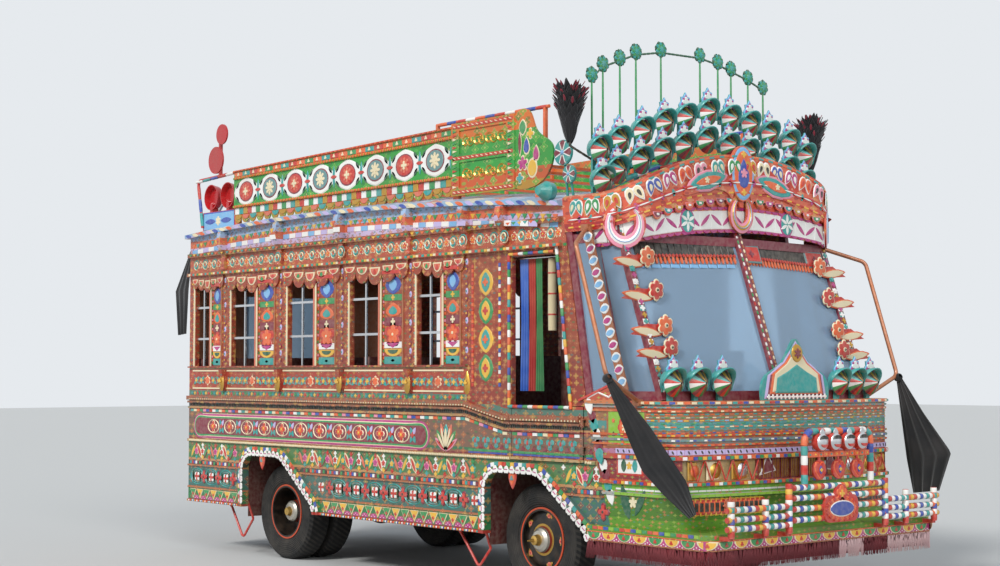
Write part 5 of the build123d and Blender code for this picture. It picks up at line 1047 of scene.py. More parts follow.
lay("nose_rows", mauve, plate(block(0.052, 0.034)), "lilac")
lay("nose_rows", turned(mauve, 0.5), plate(oval(0.012, 0.026, 8)), "black", 0.003)
lay("nose_rows", nose_row(0.752, 0.06), plate(block(0.060, 0.018), 0.004), "lime")
lay("nose_rows", nose_row(0.782, 0.06), plate(block(0.060, 0.012), 0.002), "white")

# The stepped recess under the lamps, in red, orange and black tape, with a leaf ornament
for side in (-1, 1):
    for width, height, colour, lift in ((0.62, 0.110, "yellow", 0), (0.60, 0.094, "red", 0.002),
                                        (0.57, 0.072, "orange", 0.004),
                                        (0.55, 0.056, "black", 0.006)):
        for y in np.arange(-width / 2 + 0.02, width / 2, 0.04):
            spot = on(("nose_panel",), [ahead(3.0, side * 0.66 + y, 0.680)], 0.4)
            lay("nose_recess", spot, plate(block(0.041, height), 0.002), colour, lift + 0.001)
    spot = on(("nose_panel",), [ahead(3.0, side * 0.66, 0.680)], 0.4)
    for angle in (0, 0.8, -0.8, 1.5, -1.5):
        lay("nose_recess", turned(spot, angle), plate(leaf(0.026, 0.075), 0.004, at=(0, 0.03)), "salmon", 0.010)
    lay("nose_recess", spot, plate(oval(0.030, 0.022, 8), 0.004), "cream", 0.014)

# Nose sides: a chain of feathered petals up the seam, an olive panel and its medallion
chain = [aside(2.085 + 0.19 * i / 9 + 0.02, -WALL, 1.300 - 0.064 * i) for i in range(10)]
chain = both(turned(on(("nose_panel",), chain), 0.28))
lay("nose_chain", chain, plate(drop(0.078, 0.110), 0.004, turn=math.pi), "white maroon teal", half=0.0)
for (x, z), parts in (((2.44, 1.170), (
        (plate(block(0.380, 0.270)), "copper"), (plate(block(0.350, 0.245), 0.005), "lime"),
        (plate(petals(8, 0.082, 0.85), 0.007), "red"), (plate(oval(0.120, 0.130, 16), 0.010), "orange"),
        (plate(petals(6, 0.036, 0.4), 0.013), "cream"))),
        ((2.47, 0.930), ((plate(block(0.250, 0.130)), "red"), (plate(block(0.225, 0.105), 0.005), "white"),
                         (plate(leaf(0.050, 0.090), 0.008, at=(-0.05, 0)), "forest"),
                         (plate(leaf(0.050, 0.090), 0.008, at=(0.05, 0)),
                          "teal"), (plate(petals(5, 0.028), 0.008), "yellow"))),
        ((2.50, 0.700), ((plate(leaf(0.080, 0.240), 0.004, at=(-0.07, 0), turn=0.3), "forest"),
                         (plate(leaf(0.060, 0.200), 0.004, at=(0.06, 0), turn=-0.5), "forest"),
                         (plate(petals(5, 0.040), 0.006), "cream")))):
    spot = both(on(("nose_panel",), [aside(x, -WALL, z)]))
    for motif, colour in parts:
        lay("nose_sides", spot, motif, colour)
spot = both(on(("nose_panel",), [aside(2.44, -WALL, 1.170)]))
for i in range(7):
    angle = 2 * math.pi * i / 7
    lay("nose_sides", shifted(spot, 0.125 * math.cos(angle), 0.098 * math.sin(angle)), plate(petals(5, 0.016)),
        "orange" if i % 2 else "black", 0.006)
gusset = both([aside(2.29, -1.113, 1.372)])
lay("nose_sides", gusset,
    ribbon(((-0.20, -0.02), (-0.10, 0.02), (0.0, -0.01), (0.08, 0.04), (0.10, -0.01)), 0.014, 0.004), "white")
strip("nose_sides", [(2.01, -1.114, 1.338), (2.355, -1.114, 1.458)], 0.014, 0.004, "red", out=(0, -1, 0))

# %% [markdown]
# Lamps: the real ones stand behind sloping windows with brass backs, and a red string net
# is stretched over them. The net is thin tape laid on the diagonal.

# %% Head lamps and grille
for side in (-1, 1):
    for y, parts in ((0.54, ((plate(block(0.20, 0.118)), "gold"),
                             (plate(oval(0.100, 0.100, 16), 0.006, 0.014), "chrome"))),
                     (0.76, ((plate(block(0.16, 0.118)), "cream"),
                             (plate(oval(0.106, 0.106, 16), 0.006, 0.014), "gold"))),
                     (0.92, ((plate(block(0.12, 0.118)), "gold"),
                             (plate(oval(0.080, 0.080, 12), 0.006, 0.010), "orange")))):
        spot = on(("headlamps",), [ahead(3.0, side * y, 0.905)], 0.5)
        for motif, colour in parts:
            lay("lamp_parts", spot, motif, colour, 0.001)
    places = []
    for number, y in enumerate(np.arange(0.45, 1.0, 0.055)):
        hit = on(("headlamps",), [ahead(3.0, side * y, 0.905)], 0.5)
        places += turned(hit, 0.42 if number % 2 else -0.42)
    lay("lamp_net", places, plate(block(0.007, 0.138), 0.004), "red", 0.024)
mesh_bars = on(("grille",), line([(2.99, -0.40, 0.905), (2.99, 0.40, 0.905)], 0.016), 0.2)
lay("grille_mesh", mesh_bars, plate(block(0.004, 0.124)), "gold", 0.001)
for side in (-1, 1):
    corner = on(("grille",), [ahead(2.99, side * 0.33, 0.905)], 0.2)
    stack("grille_mesh", turned(corner, side * 0.95), (plate(wedge(0.150, 0.150), 0.004), "white", 0.004),
          (plate(wedge(0.125, 0.125), 0.006), "maroon", 0.004))

# %% Bumper valance
bumper = [(2.10, -1.128, 0), (3.07, -1.128, 0)] + [(3.07 + 0.092 * math.sin(a), -1.036 - 0.092 * math.cos(a), 0)
                                                  for a in (0.4, 0.8, 1.2)]
bumper += [(3.162, y, 0) for y in (-1.03, 1.03)] + [(x, -y, 0) for x, y, _ in bumper[::-1]]


def bumper_row(z, pitch, first=0.5):
    """A level row round the bumper's valance."""
    return line([(x, y, z) for x, y, _ in bumper], pitch, first=first)


lay("bumper_row", bumper_row(0.472, 0.06), plate(block(0.060, 0.058), 0.002), "magenta")
fans = bumper_row(0.474, 0.140)
stack("bumper_row", fans, (plate(half_round(0.136, 0.054)), "cream", 0.002),
      (plate(half_round(0.118, 0.044)), "green yellow", 0.004), (plate(petals(3, 0.016)), "red", 0.007))
for across in (-0.020, 0.0, 0.020):
    lay("bumper_row", shifted(bumper_row(0.456, 0.140, first=1.0), across, 0.006 if across == 0 else -0.003),
        plate(oval(0.009, 0.009, 6)), "white", 0.002)
for z, colour in ((0.499, "orange"), (0.445, "copper")):
    lay("bumper_row", bumper_row(z, 0.05), plate(block(0.050, 0.009), 0.005), colour)
shelf = [(x - 0.006 * (x > 3), y * 0.998, z) for x, y, z in bumper]
lay("bumper_row", line([(x, y, 0.525) for x, y, z in shelf], 0.05), plate(block(0.046, 0.022)),
    "green red orange blue lime")

# %% [markdown]
# The guard in front of the bumper is steel tube wound with rings of coloured tape. Rings
# are threaded along each tube; the hearts, chrome cones and the blank number plate are
# small stacks of plates.

# %% Bumper guard
RINGS = "red white blue white teal white orange yellow"
tubes = []
for side in (-1, 1):
    tubes += [([(3.243, side * 0.48, 0.53), (3.243, side * 0.48, 0.83)], 0.021)]
    tubes += [([(3.243, side * y, 0.53), (3.243, side * y, 0.745)], 0.021) for y in (0.70, 1.01)]
    tubes += [([(3.243, side * 0.50, z), (3.243, side * 1.045, z)], 0.018) for z in (0.575, 0.632, 0.690)]
tubes += [([(3.243, -0.46, z), (3.243, 0.46, z)], 0.018) for z in (0.600, 0.668, 0.736, 0.800)]
for points, radius in tubes:
    lay("guard_rings", line(points, 0.034, out=(1, 0, 0)), barrel(radius + 0.0005, 0.032), RINGS)
loop = [(3.243, -0.33, 0.82), (3.243, -0.33, 1.077)]
loop += [(3.243, -0.26 - 0.07 * math.cos(a), 1.077 + 0.07 * math.sin(a)) for a in (0.4, 0.8, 1.2, 1.57)]
loop += [(x, -y, z) for x, y, z in loop[::-1]]
lay("guard_rings", line(loop, 0.060, out=(1, 0, 0)), barrel(0.0215, 0.058), "teal red white teal orange blue")
bar_row = line([(3.251, -0.31, 1.0025), (3.251, 0.31, 1.0025)], 0.05)
stack("guard_badges", bar_row, (plate(block(0.050, 0.034)), "orange"),
      (plate(oval(0.014, 0.014, 8)), "teal yellow", 0.003))
heart = [(0.0, -0.062), (-0.046, -0.014), (-0.058, 0.024), (-0.040, 0.052), (-0.016, 0.052), (0.0, 0.034),
         (0.016, 0.052), (0.040, 0.052), (0.058, 0.024), (0.046, -0.014)]
for y in (-0.19, 0.0, 0.19):
    spot = [ahead(3.2515, y, 0.905)]
    stack("guard_badges", spot, (plate(heart, 0.004), "orange"),
          (plate([(a * 0.86, b * 0.86) for a, b in heart], 0.004), "red", 0.004),
          (plate(leaf(0.030, 0.056), 0.004), "blue", 0.008), (plate(petals(4, 0.014), 0.004), "yellow", 0.012))
for y in (-0.2, -0.068, 0.068, 0.2):
    spot = [ahead(3.2865, y, 1.082)]
    lay("guard_cones", spot, plate(oval(0.108, 0.108, 20), 0.003, 0.018), "chrome")
    lay("guard_cones", shifted(spot, 0, 0.030), plate(half_round(0.080, 0.026, 8), 0.004, turn=math.pi), "black", 0.014)
    lay("guard_cones", shifted(spot, 0, -0.026), plate(half_round(0.060, 0.020), 0.004), "red", 0.014)
    lay("guard_cones", shifted(spot, 0, 0.062), plate(drop(0.050, 0.050), 0.004), "chrome", -0.004)
plate_spot = [ahead(3.2715, 0.0, 0.655)]
lay("number_plate", plate_spot, plate(oval(0.326, 0.166, 24)), "orange")
lay("number_plate", shifted(plate_spot, 0, 0.095), plate(petals(5, 0.056, 0.7)), "orange")
rim_places = [ahead(3.2715, 0.15 * math.cos(a), 0.655 + 0.070 * math.sin(a))
              for a in [2 * math.pi * i / 18 for i in range(18)]]
lay("number_plate", rim_places, plate(petals(4, 0.016)), "red", 0.003)
lay("number_plate", shifted(plate_spot, 0, 0.095), plate(petals(4, 0.026, 0.4)), "yellow", 0.003)
stack("number_plate", plate_spot, (plate(oval(0.250, 0.108, 24)), "white", 0.003),
      (plate(oval(0.236, 0.094, 24)), "blue", 0.006))
print("nose, bumper and guard:", len(work))

# %% [markdown]
# Each show lamp is a tin cone painted in wedges, under a teal hood whose shade is painted as
# black wedges, with a star on its crest. One set of shapes serves the crown's twenty-two lamps and the six on the cowl.

# %% Show lamps
def sectors(key, which, count=16, low=(0.035, 0.079), high=(0.098, 0.007)):
    """Chosen wedges of a cone that points along its own Z."""
    if ("sector", key) in stock:
        return stock[("sector", key)]
    points, faces = [], []
    for number in which:
        start = len(points)
        for step in range(3):
            a = 2 * math.pi * (number + step / 2) / count
            points += [(low[1] * math.sin(a), low[1] * math.cos(a), low[0]),
                       (high[1] * math.sin(a), high[1] * math.cos(a), high[0])]
        for step in range(2):
            b = start + 2 * step
            faces.append((b, b + 1, b + 3, b + 2))
    return solid(("sector", key), points, faces)


def lamp_hood():
    """A tin eyelid over the upper half of a lamp."""
    points, faces = [], []
    count = 15
    for i in range(count):
        a = math.radians(-28 + 236 * i / (count - 1))
        reach = 0.03 + 0.062 * max(math.sin(a), 0) ** 0.8
        for r, z in ((0.079, 0.0), (0.088, 0.034), (0.092, reach), (0.084, reach), (0.080, 0.036)):
            points.append((r * math.cos(a), r * math.sin(a), z))
    for i in range(count - 1):
        for k in range(4):
            a, b = 5 * i + k, 5 * (i + 1) + k
            faces.append((a, a + 1, b + 1, b))
    return solid("hood", points, faces, smooth=True)


hood = lamp_hood()
crest = [(0.0, 0.092), (0.016, 0.066), (0.040, 0.060), (0.036, 0.036), (0.058, 0.010), (0.052, -0.020),
         (-0.052, -0.020),
         (-0.058, 0.010), (-0.036, 0.036), (-0.040, 0.060), (-0.016, 0.066)]
crest = [(-x, y) for x, y in crest]
crown_rows = ((-1.036, 2.975), (-0.859, 3.050), (-0.640, 3.131), (-0.430, 3.206), (-0.224, 3.262), (0, 3.320),
              (0.224, 3.295), (0.430, 3.273), (0.640, 3.224), (0.859, 3.180), (1.036, 3.096))
lamps = []
for y, z in crown_rows:
    lamps.append(ahead(2.100, y, z))
    lamps.append(ahead(2.130, max(y - 0.050, -1.040), z - 0.205))
cowl = [ahead(2.800 - 0.1 * abs(y), y, 1.452)
        for y in (-0.980, -0.775, -0.570, 0.610, 0.800, 0.990)]
for piece, places in (("crown_lamps", lamps), ("cowl_lamps", cowl)):
    places = [(spot, along, up, 1.1) for spot, along, up, _ in places]
    # The black wedges at the top of each cone, under the hood, are painted shade from the hood; the gold wedges between
    # them are the lamp's own paint.
    for key, which, colour in (("a", (0,), "black"), ("b", (15, 1), "gold"), ("c", (2, 14), "black"),
                               ("j", (13,), "teal"), ("d", (3, 12), "red"),
                               ("e", (4, 11), "white"), ("f", (5, 10), "green"), ("g", (6, 9), "maroon"),
                               ("h", (7,), "green"), ("i", (8,), "red")):
        lay(piece, places, sectors(key, which), colour)
    lay(piece, places, hood, "teal", 0.001)
    lay(piece, shifted(places, 0, 0.080), plate(crest), "sky", 0.036)
    lay(piece, shifted(places, 0, 0.086), plate([(x * 0.78, y * 0.78) for x, y in crest]), "magenta", 0.039)
    lay(piece, shifted(places, 0, 0.112), plate(petals(4, 0.036, 0.5)), "white", 0.042)
tube = [(2.150, y, z) for y, z in ((-1.03, 2.704), (-0.80, 2.806), (-0.56, 2.890), (-0.30, 2.944), (0, 2.972),
                                   (0.30, 2.956),
                                  (0.56, 2.922), (0.80, 2.858), (1.03, 2.786))]
lay("crown_tube_rings", line(tube, 0.110, out=(1, 0, 0)), barrel(0.0168, 0.106), "red yellow teal white blue red")

# %% [markdown]
# The visor board is an arched sheet that wraps the cab. Its edges rise to the middle, so
# a row is given by a share of the way from the lower edge to the upper one; each place is
# then dropped on to the board from outside.

# %% Visor
def edge_height(levels, y):
    """Height of an arched edge from its right, middle and left levels."""
    slope = (levels[2] - levels[0]) / 2.2
    bow = (2 * levels[1] - levels[0] - levels[2]) / (2 * 1.1 ** 2)
    return levels[1] + slope * y - bow * y * y


def cab_row(names, low, high, share, pitch, half=WALL, front=2.430, corner=0.300, back=1.90, first=0.5, reach=0.1):
    """A row round the cab at a share of the way between two arched edges."""
    plan = [(back, -half)] + [(front - corner + corner * math.sin(a), -half + corner - corner * math.cos(a))
                              for a in [math.pi / 2 * i / 6 for i in range(7)]]
    plan += [(front, y) for y in np.linspace(-half + corner + 0.1, half - corner - 0.1, 15)]
    plan += [(x, -y) for x, y in plan[7::-1]]
    points = []
    for x, y in plan:
        bottom, top = edge_height(low, y), edge_height(high, y)
        points.append((x, y, bottom + share * (top - bottom)))
    return on(names, line(points, pitch, first=first), reach)


visor = ("visor_board",)
low, high = (2.440, 2.690, 2.520), (2.665, 3.000, 2.755)
pairs = cab_row(visor, low, high, 0.72, 0.150)
DROPS = "teal green gold cream blue magenta orange pink"
for way in (1, -1):
    leaning = turned(shifted(pairs, way * 0.034), way * 0.30)
    lay("visor_drops", leaning, plate(drop(0.072, 0.120), 0.004, turn=math.pi), "white", 0.001)
    lay("visor_drops", leaning, plate(drop(0.058, 0.100), 0.004, turn=math.pi), DROPS, 0.004)
    lay("visor_drops", leaning, plate(drop(0.026, 0.052), 0.004, turn=math.pi), "cream white red black", 0.008)
waves = cab_row(visor, low, high, 0.38, 0.110)
for number, group in enumerate((waves[::2], waves[1::2])):
    lay("visor_waves", turned(group, 1.45 if number else 1.70), plate(leaf(0.034, 0.150), 0.004), "red", 0.001)
    lay("visor_waves", turned(group, 1.57), plate(leaf(0.010, 0.110), 0.004), "white", 0.005)
lay("visor_waves", cab_row(visor, low, high, 0.38, 0.110, first=1.0), plate(petals(4, 0.026), 0.004),
    "magenta teal", 0.001)
for share, colours, height in ((0.96, "orange teal", 0.014), (0.16, "yellow red", 0.012)):
    lay("visor_edges", cab_row(visor, low, high, share, 0.050), plate(block(0.048, height), 0.004), colours)
for number in range(17):
    y = -0.8 + 1.6 * number / 16
    spot = [ahead(2.4285, y, edge_height(low, y) - 0.004)]
    colour = ["maroon", "teal", "gold", "orange", "green", "magenta"][number % 6]
    stack("visor_petals", spot, (plate(half_round(0.088, 0.040)), "pink", -0.001),
          (plate(half_round(0.074, 0.032)), colour, 0.002))
    lay("visor_petals", shifted(spot, 0, 0.002), plate(petals(2, 0.014, 0.5), turn=1.57), "white", 0.005)
for way in (-1, 1):
    wing = [ahead(2.444, way * 0.335, 2.800)]
    stack("visor_wings", turned(wing, way * -0.25), (plate(leaf(0.150, 0.420), turn=1.57), "pink"),
          (plate(leaf(0.120, 0.370), 0.004, turn=1.57), "teal", 0.003),
          (plate(leaf(0.060, 0.260), 0.004, turn=1.57), "orange", 0.007))
    lay("visor_wings", shifted(wing, way * 0.02, 0.0), plate(petals(5, 0.024), 0.004), "cream", 0.011)
pendant = [ahead(2.4565, 0.0, 2.870)]
stack("visor_pendant", pendant, (plate(oval(0.226, 0.376, 24)), "sky"),
      (plate(oval(0.190, 0.320, 24)), "orange", 0.003), (plate(drop(0.120, 0.210)), "blue", 0.006),
      (plate(petals(5, 0.036, 0.5), 0.004), "pink", 0.009))
for rise in (0.130, -0.130):
    lay("visor_pendant", shifted(pendant, 0, rise), plate(petals(4, 0.026), 0.004), "yellow", 0.006)


def shoe_line(size):
    """An open horseshoe curve."""
    return tuple((size * 0.73 * math.sin(a),
                  -size * 0.86 * math.cos(a)) for a in [math.radians(-140 + 280 * i / 18) for i in range(19)])


for x, y, z, size, angle in ((2.4405, 0, 2.600, 0.120, 0.0), (2.3435, -1.0159, 2.480, 0.140, -38.0),
                             (2.3435, 1.0159, 2.570, 0.140, 38.0)):
    c, s = math.cos(math.radians(angle)), math.sin(math.radians(angle))
    spot = [(Vector((x, y, z)), Vector((-s, c, 0)), UP, 1.0)]
    stack("visor_shoes", spot, (ribbon(shoe_line(size), size * 0.56, 0.006), "pink", 0.001),
          (ribbon(shoe_line(size), size * 0.40, 0.009), "white" if y else "gold", 0.001),
          (ribbon(shoe_line(size), size * 0.14, 0.012), "sky", 0.001))
band = ("visor_valance",)
valance = {"half": 1.0747, "front": 2.4047, "corner": 0.275, "back": 2.12}
low, high = (2.330, 2.470, 2.400), (2.548, 2.680, 2.570)
white_leaves = cab_row(band, low, high, 0.40, 0.110, **valance)
lay("band_leaves", white_leaves, plate(block(0.112, 0.130)), "white", 0.001)
for number, group in enumerate((white_leaves[::2], white_leaves[1::2])):
    lay("band_leaves", turned(group, 0.9 if number else -0.9), plate(leaf(0.030, 0.130)), "magenta", 0.004)
for share in (0.04, 0.76):
    lay("band_leaves", cab_row(band, low, high, share, 0.07, **valance), plate(half_round(0.070, 0.022), 0.004),
        "magenta", 0.002)
ovals = [ahead(2.4047, y, edge_height(low, y) + 0.088) for y in (-0.50, 0.50)]
ovals = on(band, ovals, 0.1)
stack("band_leaves", ovals, (plate(oval(0.150, 0.180, 20), 0.004), "magenta", 0.004),
      (plate(oval(0.130, 0.160, 20), 0.004), "teal", 0.006))
for angle in (0, 1.05, -1.05, 2.1, -2.1, 3.14):
    lay("band_leaves", turned(ovals, angle), plate(leaf(0.024, 0.066), 0.004, at=(0, 0.038)), "white", 0.010)

# %% [markdown]
# The windscreen: taped chains on its posts, a black cloth hem with orange tassels along
# its top, blank red plaques, and tin flowers with long leaves at its sides.

# %% Windscreen
glass_out = Vector((1, 0, 0.352)).normalized()
frame_names = ("windscreen_frame",)


def screen_row(start, end, pitch):
    """A row up a post, upright in the leaning plane of the screen."""
    return on(frame_names, line([start, end], pitch, out=glass_out), 0.12)


for side in (-1, 1):
    post = screen_row((2.70, side * 1.0, 1.40), (2.31, side * 1.0, 2.52), 0.045)
    stack("post_chains", post, (plate(block(0.040, 0.048), 0.002), "teal white maroon"),
          (plate(petals(4, 0.022), 0.004), "white magenta teal gold", 0.003))
for y, colours in ((-0.018, "white green white red"), (0.020, "copper cream")):
    post = screen_row((2.80, y, 1.40), (2.33, y, 2.66), 0.032)
    lay("post_chains", post, plate(leaf(0.016, 0.030), 0.004, turn=1.57), colours)


def on_pane(points, pitch):
    """Places on the screen's glass, with their tops leaning back as it does."""
    return on(("window_glass",) + frame_names, line(points, pitch, out=glass_out), 0.25)


for y0, y1 in ((-0.93, -0.06), (0.06, 0.93)):
    lay("screen_hem", on_pane([(2.42, y0, 2.345), (2.42, y1, 2.345)], 0.06), plate(block(0.062, 0.110)), "black", 0.002)
    lay("screen_hem", on_pane([(2.44, y0, 2.285), (2.44, y1, 2.285)], 0.10), plate(half_round(0.100, 0.034)),
        "black", 0.002)
    lay("screen_hem", on_pane([(2.44, y0, 2.280), (2.44, y1, 2.280)], 0.036), plate(drop(0.022, 0.070), 0.006),
        "orange", 0.004)
    lay("screen_hem", on_pane([(2.44, y0, 2.305), (2.44, y1, 2.305)], 0.030), plate(petals(5, 0.014), 0.004), "red",
        0.010)
lay("sun_strip", on_pane([(2.45, -0.90, 2.232), (2.45, -0.08, 2.232)], 0.08), plate(block(0.082, 0.026), 0.002),
    "sky", 0.002)
for y, z in ((0.10, 2.330), (0.86, 2.350)):
    spot = on_pane([(2.44, y - 0.01, z), (2.44, y + 0.01, z)], 0.04)
    stack("plaques", spot[:1], (plate(block(0.200, 0.130), 0.004), "slate", 0.014),
          (plate(block(0.180, 0.112), 0.004), "red", 0.017), (plate(petals(4, 0.030, 0.4)), "maroon", 0.021))
for number, z in enumerate((2.270, 2.050, 1.820, 1.680)):
    foot_x = 2.660 - 0.352 * (z - 1.370)
    for side in (-1, 1):
        bloom = on(("screen_flowers",), [ahead(foot_x + 0.2, side * 0.866, z)], 0.3)
        bloom = [(Vector((p[0].x, side * 0.866, z)), *p[1:]) for p in bloom]
        stack("screen_blooms", bloom, (plate(petals(6, 0.074, 0.75)), "cream", 0.001),
              (plate(petals(6, 0.066, 0.72), 0.004, 0.004), "red" if number % 2 else "orange", 0.003),
              (plate(oval(0.036, 0.036, 10), 0.004), "cream", 0.009),
              (plate(oval(0.016, 0.016, 8), 0.006, 0.006), "black", 0.013))
        spike = on(("screen_flowers",), [ahead(foot_x + 0.2, side * 1.02, z - 0.045)], 0.4)
        spike = [(Vector((p[0].x, side * 1.02, z - 0.042)), *p[1:]) for p in spike]
        stack("screen_blooms", turned(spike, side * 0.12),
              (plate(leaf(0.066, 0.290), turn=1.57), "orange", 0.001),
              (plate(leaf(0.052, 0.250), 0.004, turn=1.57), "cream", 0.003))

# The plaque on the cowl, left blank, with its arch of tape and a gold medallion
arch = [(-0.320, -0.20), (0.320, -0.20), (0.285, -0.045), (0.130, 0.045), (0.0, 0.190), (-0.130, 0.045),
        (-0.285, -0.045)]
plaque = [ahead(2.9005, 0, 1.545)]
for share, colour, lift in ((1.0, "lilac", 0), (0.92, "maroon", 0.003), (0.86, "orange", 0.006),
                            (0.78, "cream", 0.009)):
    lay("cowl_plaque", plaque, plate([(x * share, y * share) for x, y in arch]), colour, lift)
field = [(-0.215, -0.16), (0.215, -0.16), (0.200, -0.06), (0.100, -0.02), (0.0, 0.030), (-0.100, -0.02),
         (-0.200, -0.06)]
lay("cowl_plaque", plaque, plate(field), "teal", 0.013)
stack("cowl_plaque", shifted(plaque, 0, 0.100), (plate(oval(0.110, 0.120, 20), 0.004, 0.004), "gold", 0.013),
      (plate(petals(6, 0.036, 0.4)), "maroon", 0.021))
lay("cowl_plaque", line([(2.9005, -0.30, 1.362), (2.9005, 0.30, 1.362)], 0.040), plate(petals(4, 0.018)), "white",
    0.013)

# The painted blades beside the quarter windows
for side in (-1, 1):
    blade = line([(2.112, side * 1.137, 2.44), (2.448, side * 1.137, 1.42)], 0.085, out=(0, side, 0))
    stack("side_blades", blade, (plate(leaf(0.070, 0.088)), "white"),
          (plate(leaf(0.040, 0.076)), "sky magenta", 0.003))
print("crown, visor and screen:", len(work))

# %% [markdown]
# Roof rack: painted boards with almond medallions, a striped rail and a scalloped edge;
# a carved box and a curled end board at the front; red lamps and discs at the rear.

# %% Roof rack boards
board = ("rack_panels",)


def rack_top(x):
    """Height of the rack board's upper edge."""
    return 3.242 + 0.057 * (x + 2.416) / 2.99


def rack_row(share, pitch, start=-2.400, end=0.566, first=0.5, low=2.924):
    """A row along the rack board at a share of its height."""
    points = [(x, -1.029, low + share * (rack_top(x) - low)) for x in (start, end)]
    return both(on(board, line(points, pitch, first=first, out=(0, -1, 0)), 0.06))


almonds = rack_row(0.40, 0.370)
joints = rack_row(0.40, 0.370, first=1.0)
# The black oval at the foot of each almond's stack is a painted shadow.
stack("rack_medallions", almonds, (plate(oval(0.290, 0.216, 20), 0.002), "black"),
      (plate(leaf(0.400, 0.250, 20)), "white", 0.001), (plate(oval(0.238, 0.186, 20)), "maroon", 0.003),
      (plate(oval(0.214, 0.164, 20)), "red slate", 0.005),
      (plate(petals(8, 0.066, 0.5)), "salmon cream", 0.008),
      (plate(petals(4, 0.036, 0.4)), "cream", 0.011))
stack("rack_medallions", joints, (plate(leaf(0.034, 0.180)), "teal", 0.003),
      (plate(leaf(0.030, 0.080), 0.004, turn=1.57), "red", 0.006))
for way in (-1, 1):
    lay("rack_medallions", shifted(almonds, way * 0.135, 0.060), plate(leaf(0.030, 0.080), turn=way * 0.7),
        "forest", 0.001)
    lay("rack_medallions", shifted(almonds, way * 0.135, -0.060), plate(leaf(0.030, 0.080), turn=-way * 0.7),
        "forest", 0.001)
stack("rack_rows", rack_row(0.885, 0.120),
      (plate(block(0.116, 0.038)), "orange teal red orange green", 0.001),
      (plate(petals(3, 0.018)), "cream", 0.004))
for share in (0.025, 0.785):
    rope = turned(rack_row(share, 0.022), 0.5)
    lay("rack_rows", rope, plate(oval(0.016, 0.026, 8), 0.005, 0.003), "gold orange", 0.001)
lay("rack_rows", rack_row(0.98, 0.030), plate(block(0.026, 0.010), 0.004), "orange red", 0.001)
rail = both(on(board, line([(-2.400, -1.015, 2.893), (0.566, -1.015, 2.893)], 0.066), 0.06))
lay("rack_rows", rail, plate(block(0.064, 0.058), 0.004), "white teal gold red white green", 0.001)
scallop = both(on(board, line([(-2.400, -1.015, 2.842), (0.566, -1.015, 2.842)], 0.1144), 0.06))
lay("rack_rows", scallop, plate(half_round(0.100, 0.040), 0.004), "gold salmon teal", 0.001)

# The carved box and the curled end board
for z, height in ((2.940, 0.150), (3.175, 0.140)):
    for x in np.linspace(0.73, 1.12, 4):
        spot = both(on(board, [aside(x, -1.037, z)], 0.06))
        lay("rack_box", spot, ribbon(spiral(0.048), 0.020, 0.007), "gold", 0.001)
        lay("rack_box", turned(shifted(spot, 0.05, 0), 3.14), ribbon(spiral(0.040, flip=-1), 0.016, 0.007), "gold",
            0.001)
for z in (2.815, 3.060, 3.290):
    stack("rack_box", both(line([(0.59, -1.038, z), (1.262, -1.038, z)], 0.050)),
          (plate(block(0.048, 0.026)), "red"), (plate(leaf(0.008, 0.036), turn=1.2), "cream", 0.003))
for x in (0.618, 1.232):
    lay("rack_box", both(line([(x, -1.038, 2.84), (x, -1.038, 3.27)], 0.028, out=(0, -1, 0))),
        plate(wedge(0.022, 0.050)), "cream red green")
for x, z, motif, colour in ((1.36, 3.210, leaf(0.070, 0.100), "green"), (1.40, 3.08, drop(0.060, 0.110), "blue"),
                            (1.36, 2.96, petals(5, 0.050), "magenta"), (1.46, 2.92, oval(0.09, 0.12), "yellow"),
                            (1.44, 3.16, petals(4, 0.036), "yellow"), (1.33, 3.10, leaf(0.03, 0.16), "maroon"),
                            (1.50, 3.02, drop(0.06, 0.10), "magenta"), (1.33, 2.86, petals(4, 0.036), "teal")):
    spot = both(on(board, [aside(x, -1.03, z)], 0.08))
    stack("rack_end", spot, (plate([(a * 1.25, b * 1.25) for a, b in motif]), "cream"),
          (plate(motif), colour, 0.003))
hand = [(x, -1.0, 3.334) for x in (0.38, 1.58)]
lay("hand_rail_rings", both(line(hand, 0.11, out=(0, -1, 0))), barrel(0.0128, 0.106), "orange blue red white")

# %% Rear lamps, hoop and rosettes
for side in (-1, 1):
    hooped = [(-2.950, side * 1.020, 2.80), (-3.030, side * 1.020, 3.200), (-2.430, side * 1.020, 3.231)]
    lay("rear_hoop_rings", line(hooped, 0.120, out=(0, side, 0)), barrel(0.0138, 0.117), "teal blue red white")


lamp_box = on(("rear_lamp_boxes",), [aside(-2.695, -1.02, 2.835)], 0.1)
for motif, colour, lift in ((plate(block(0.520, 0.166)), "blue", 0.001), (plate(block(0.500, 0.148)), "sky", 0.003)):
    lay("rear_box_panels", both(lamp_box), motif, colour, lift)
for way in (-1, 1):
    lay("rear_box_panels", both(shifted(lamp_box, way * 0.13, 0)), plate(leaf(0.050, 0.180), turn=1.57), "blue", 0.006)
lay("rear_box_panels", both(lamp_box), plate(petals(6, 0.044, 0.6)), "cream", 0.006)


def wheel_of(center, radius, piece):
    """A rosette of teal and maroon wedges with white bars."""
    for side in (-1, 1):
        spot = [(Vector((center[0], side * 1.0, center[1])), Vector((-side, 0, 0)), UP, 1.0)]
        spot = on(("rosettes",), spot, 0.3)
        spot = [(Vector((center[0], p[0].y, center[1])), *p[1:]) for p in spot]
        for number in range(8):
            a = math.pi * number / 4
            lay(piece, turned(spot, a),
                plate(drop(radius * 0.62, radius * 0.95), 0.004, at=(0, radius * 0.52),
                      turn=math.pi), "teal" if number % 2 else "maroon", 0.001)
            lay(piece, turned(spot, a + 0.39),
                plate(block(radius * 0.10, radius * 0.8), 0.004, at=(0, radius * 0.5)), "white", 0.002)
        lay(piece, spot, plate(oval(radius * 0.4, radius * 0.4, 10), 0.004, 0.01), "sky", 0.006)


wheel_of((1.831, 2.985), 0.086, "rosette_petals")
wheel_of((1.890, 2.836), 0.062, "rosette_petals")
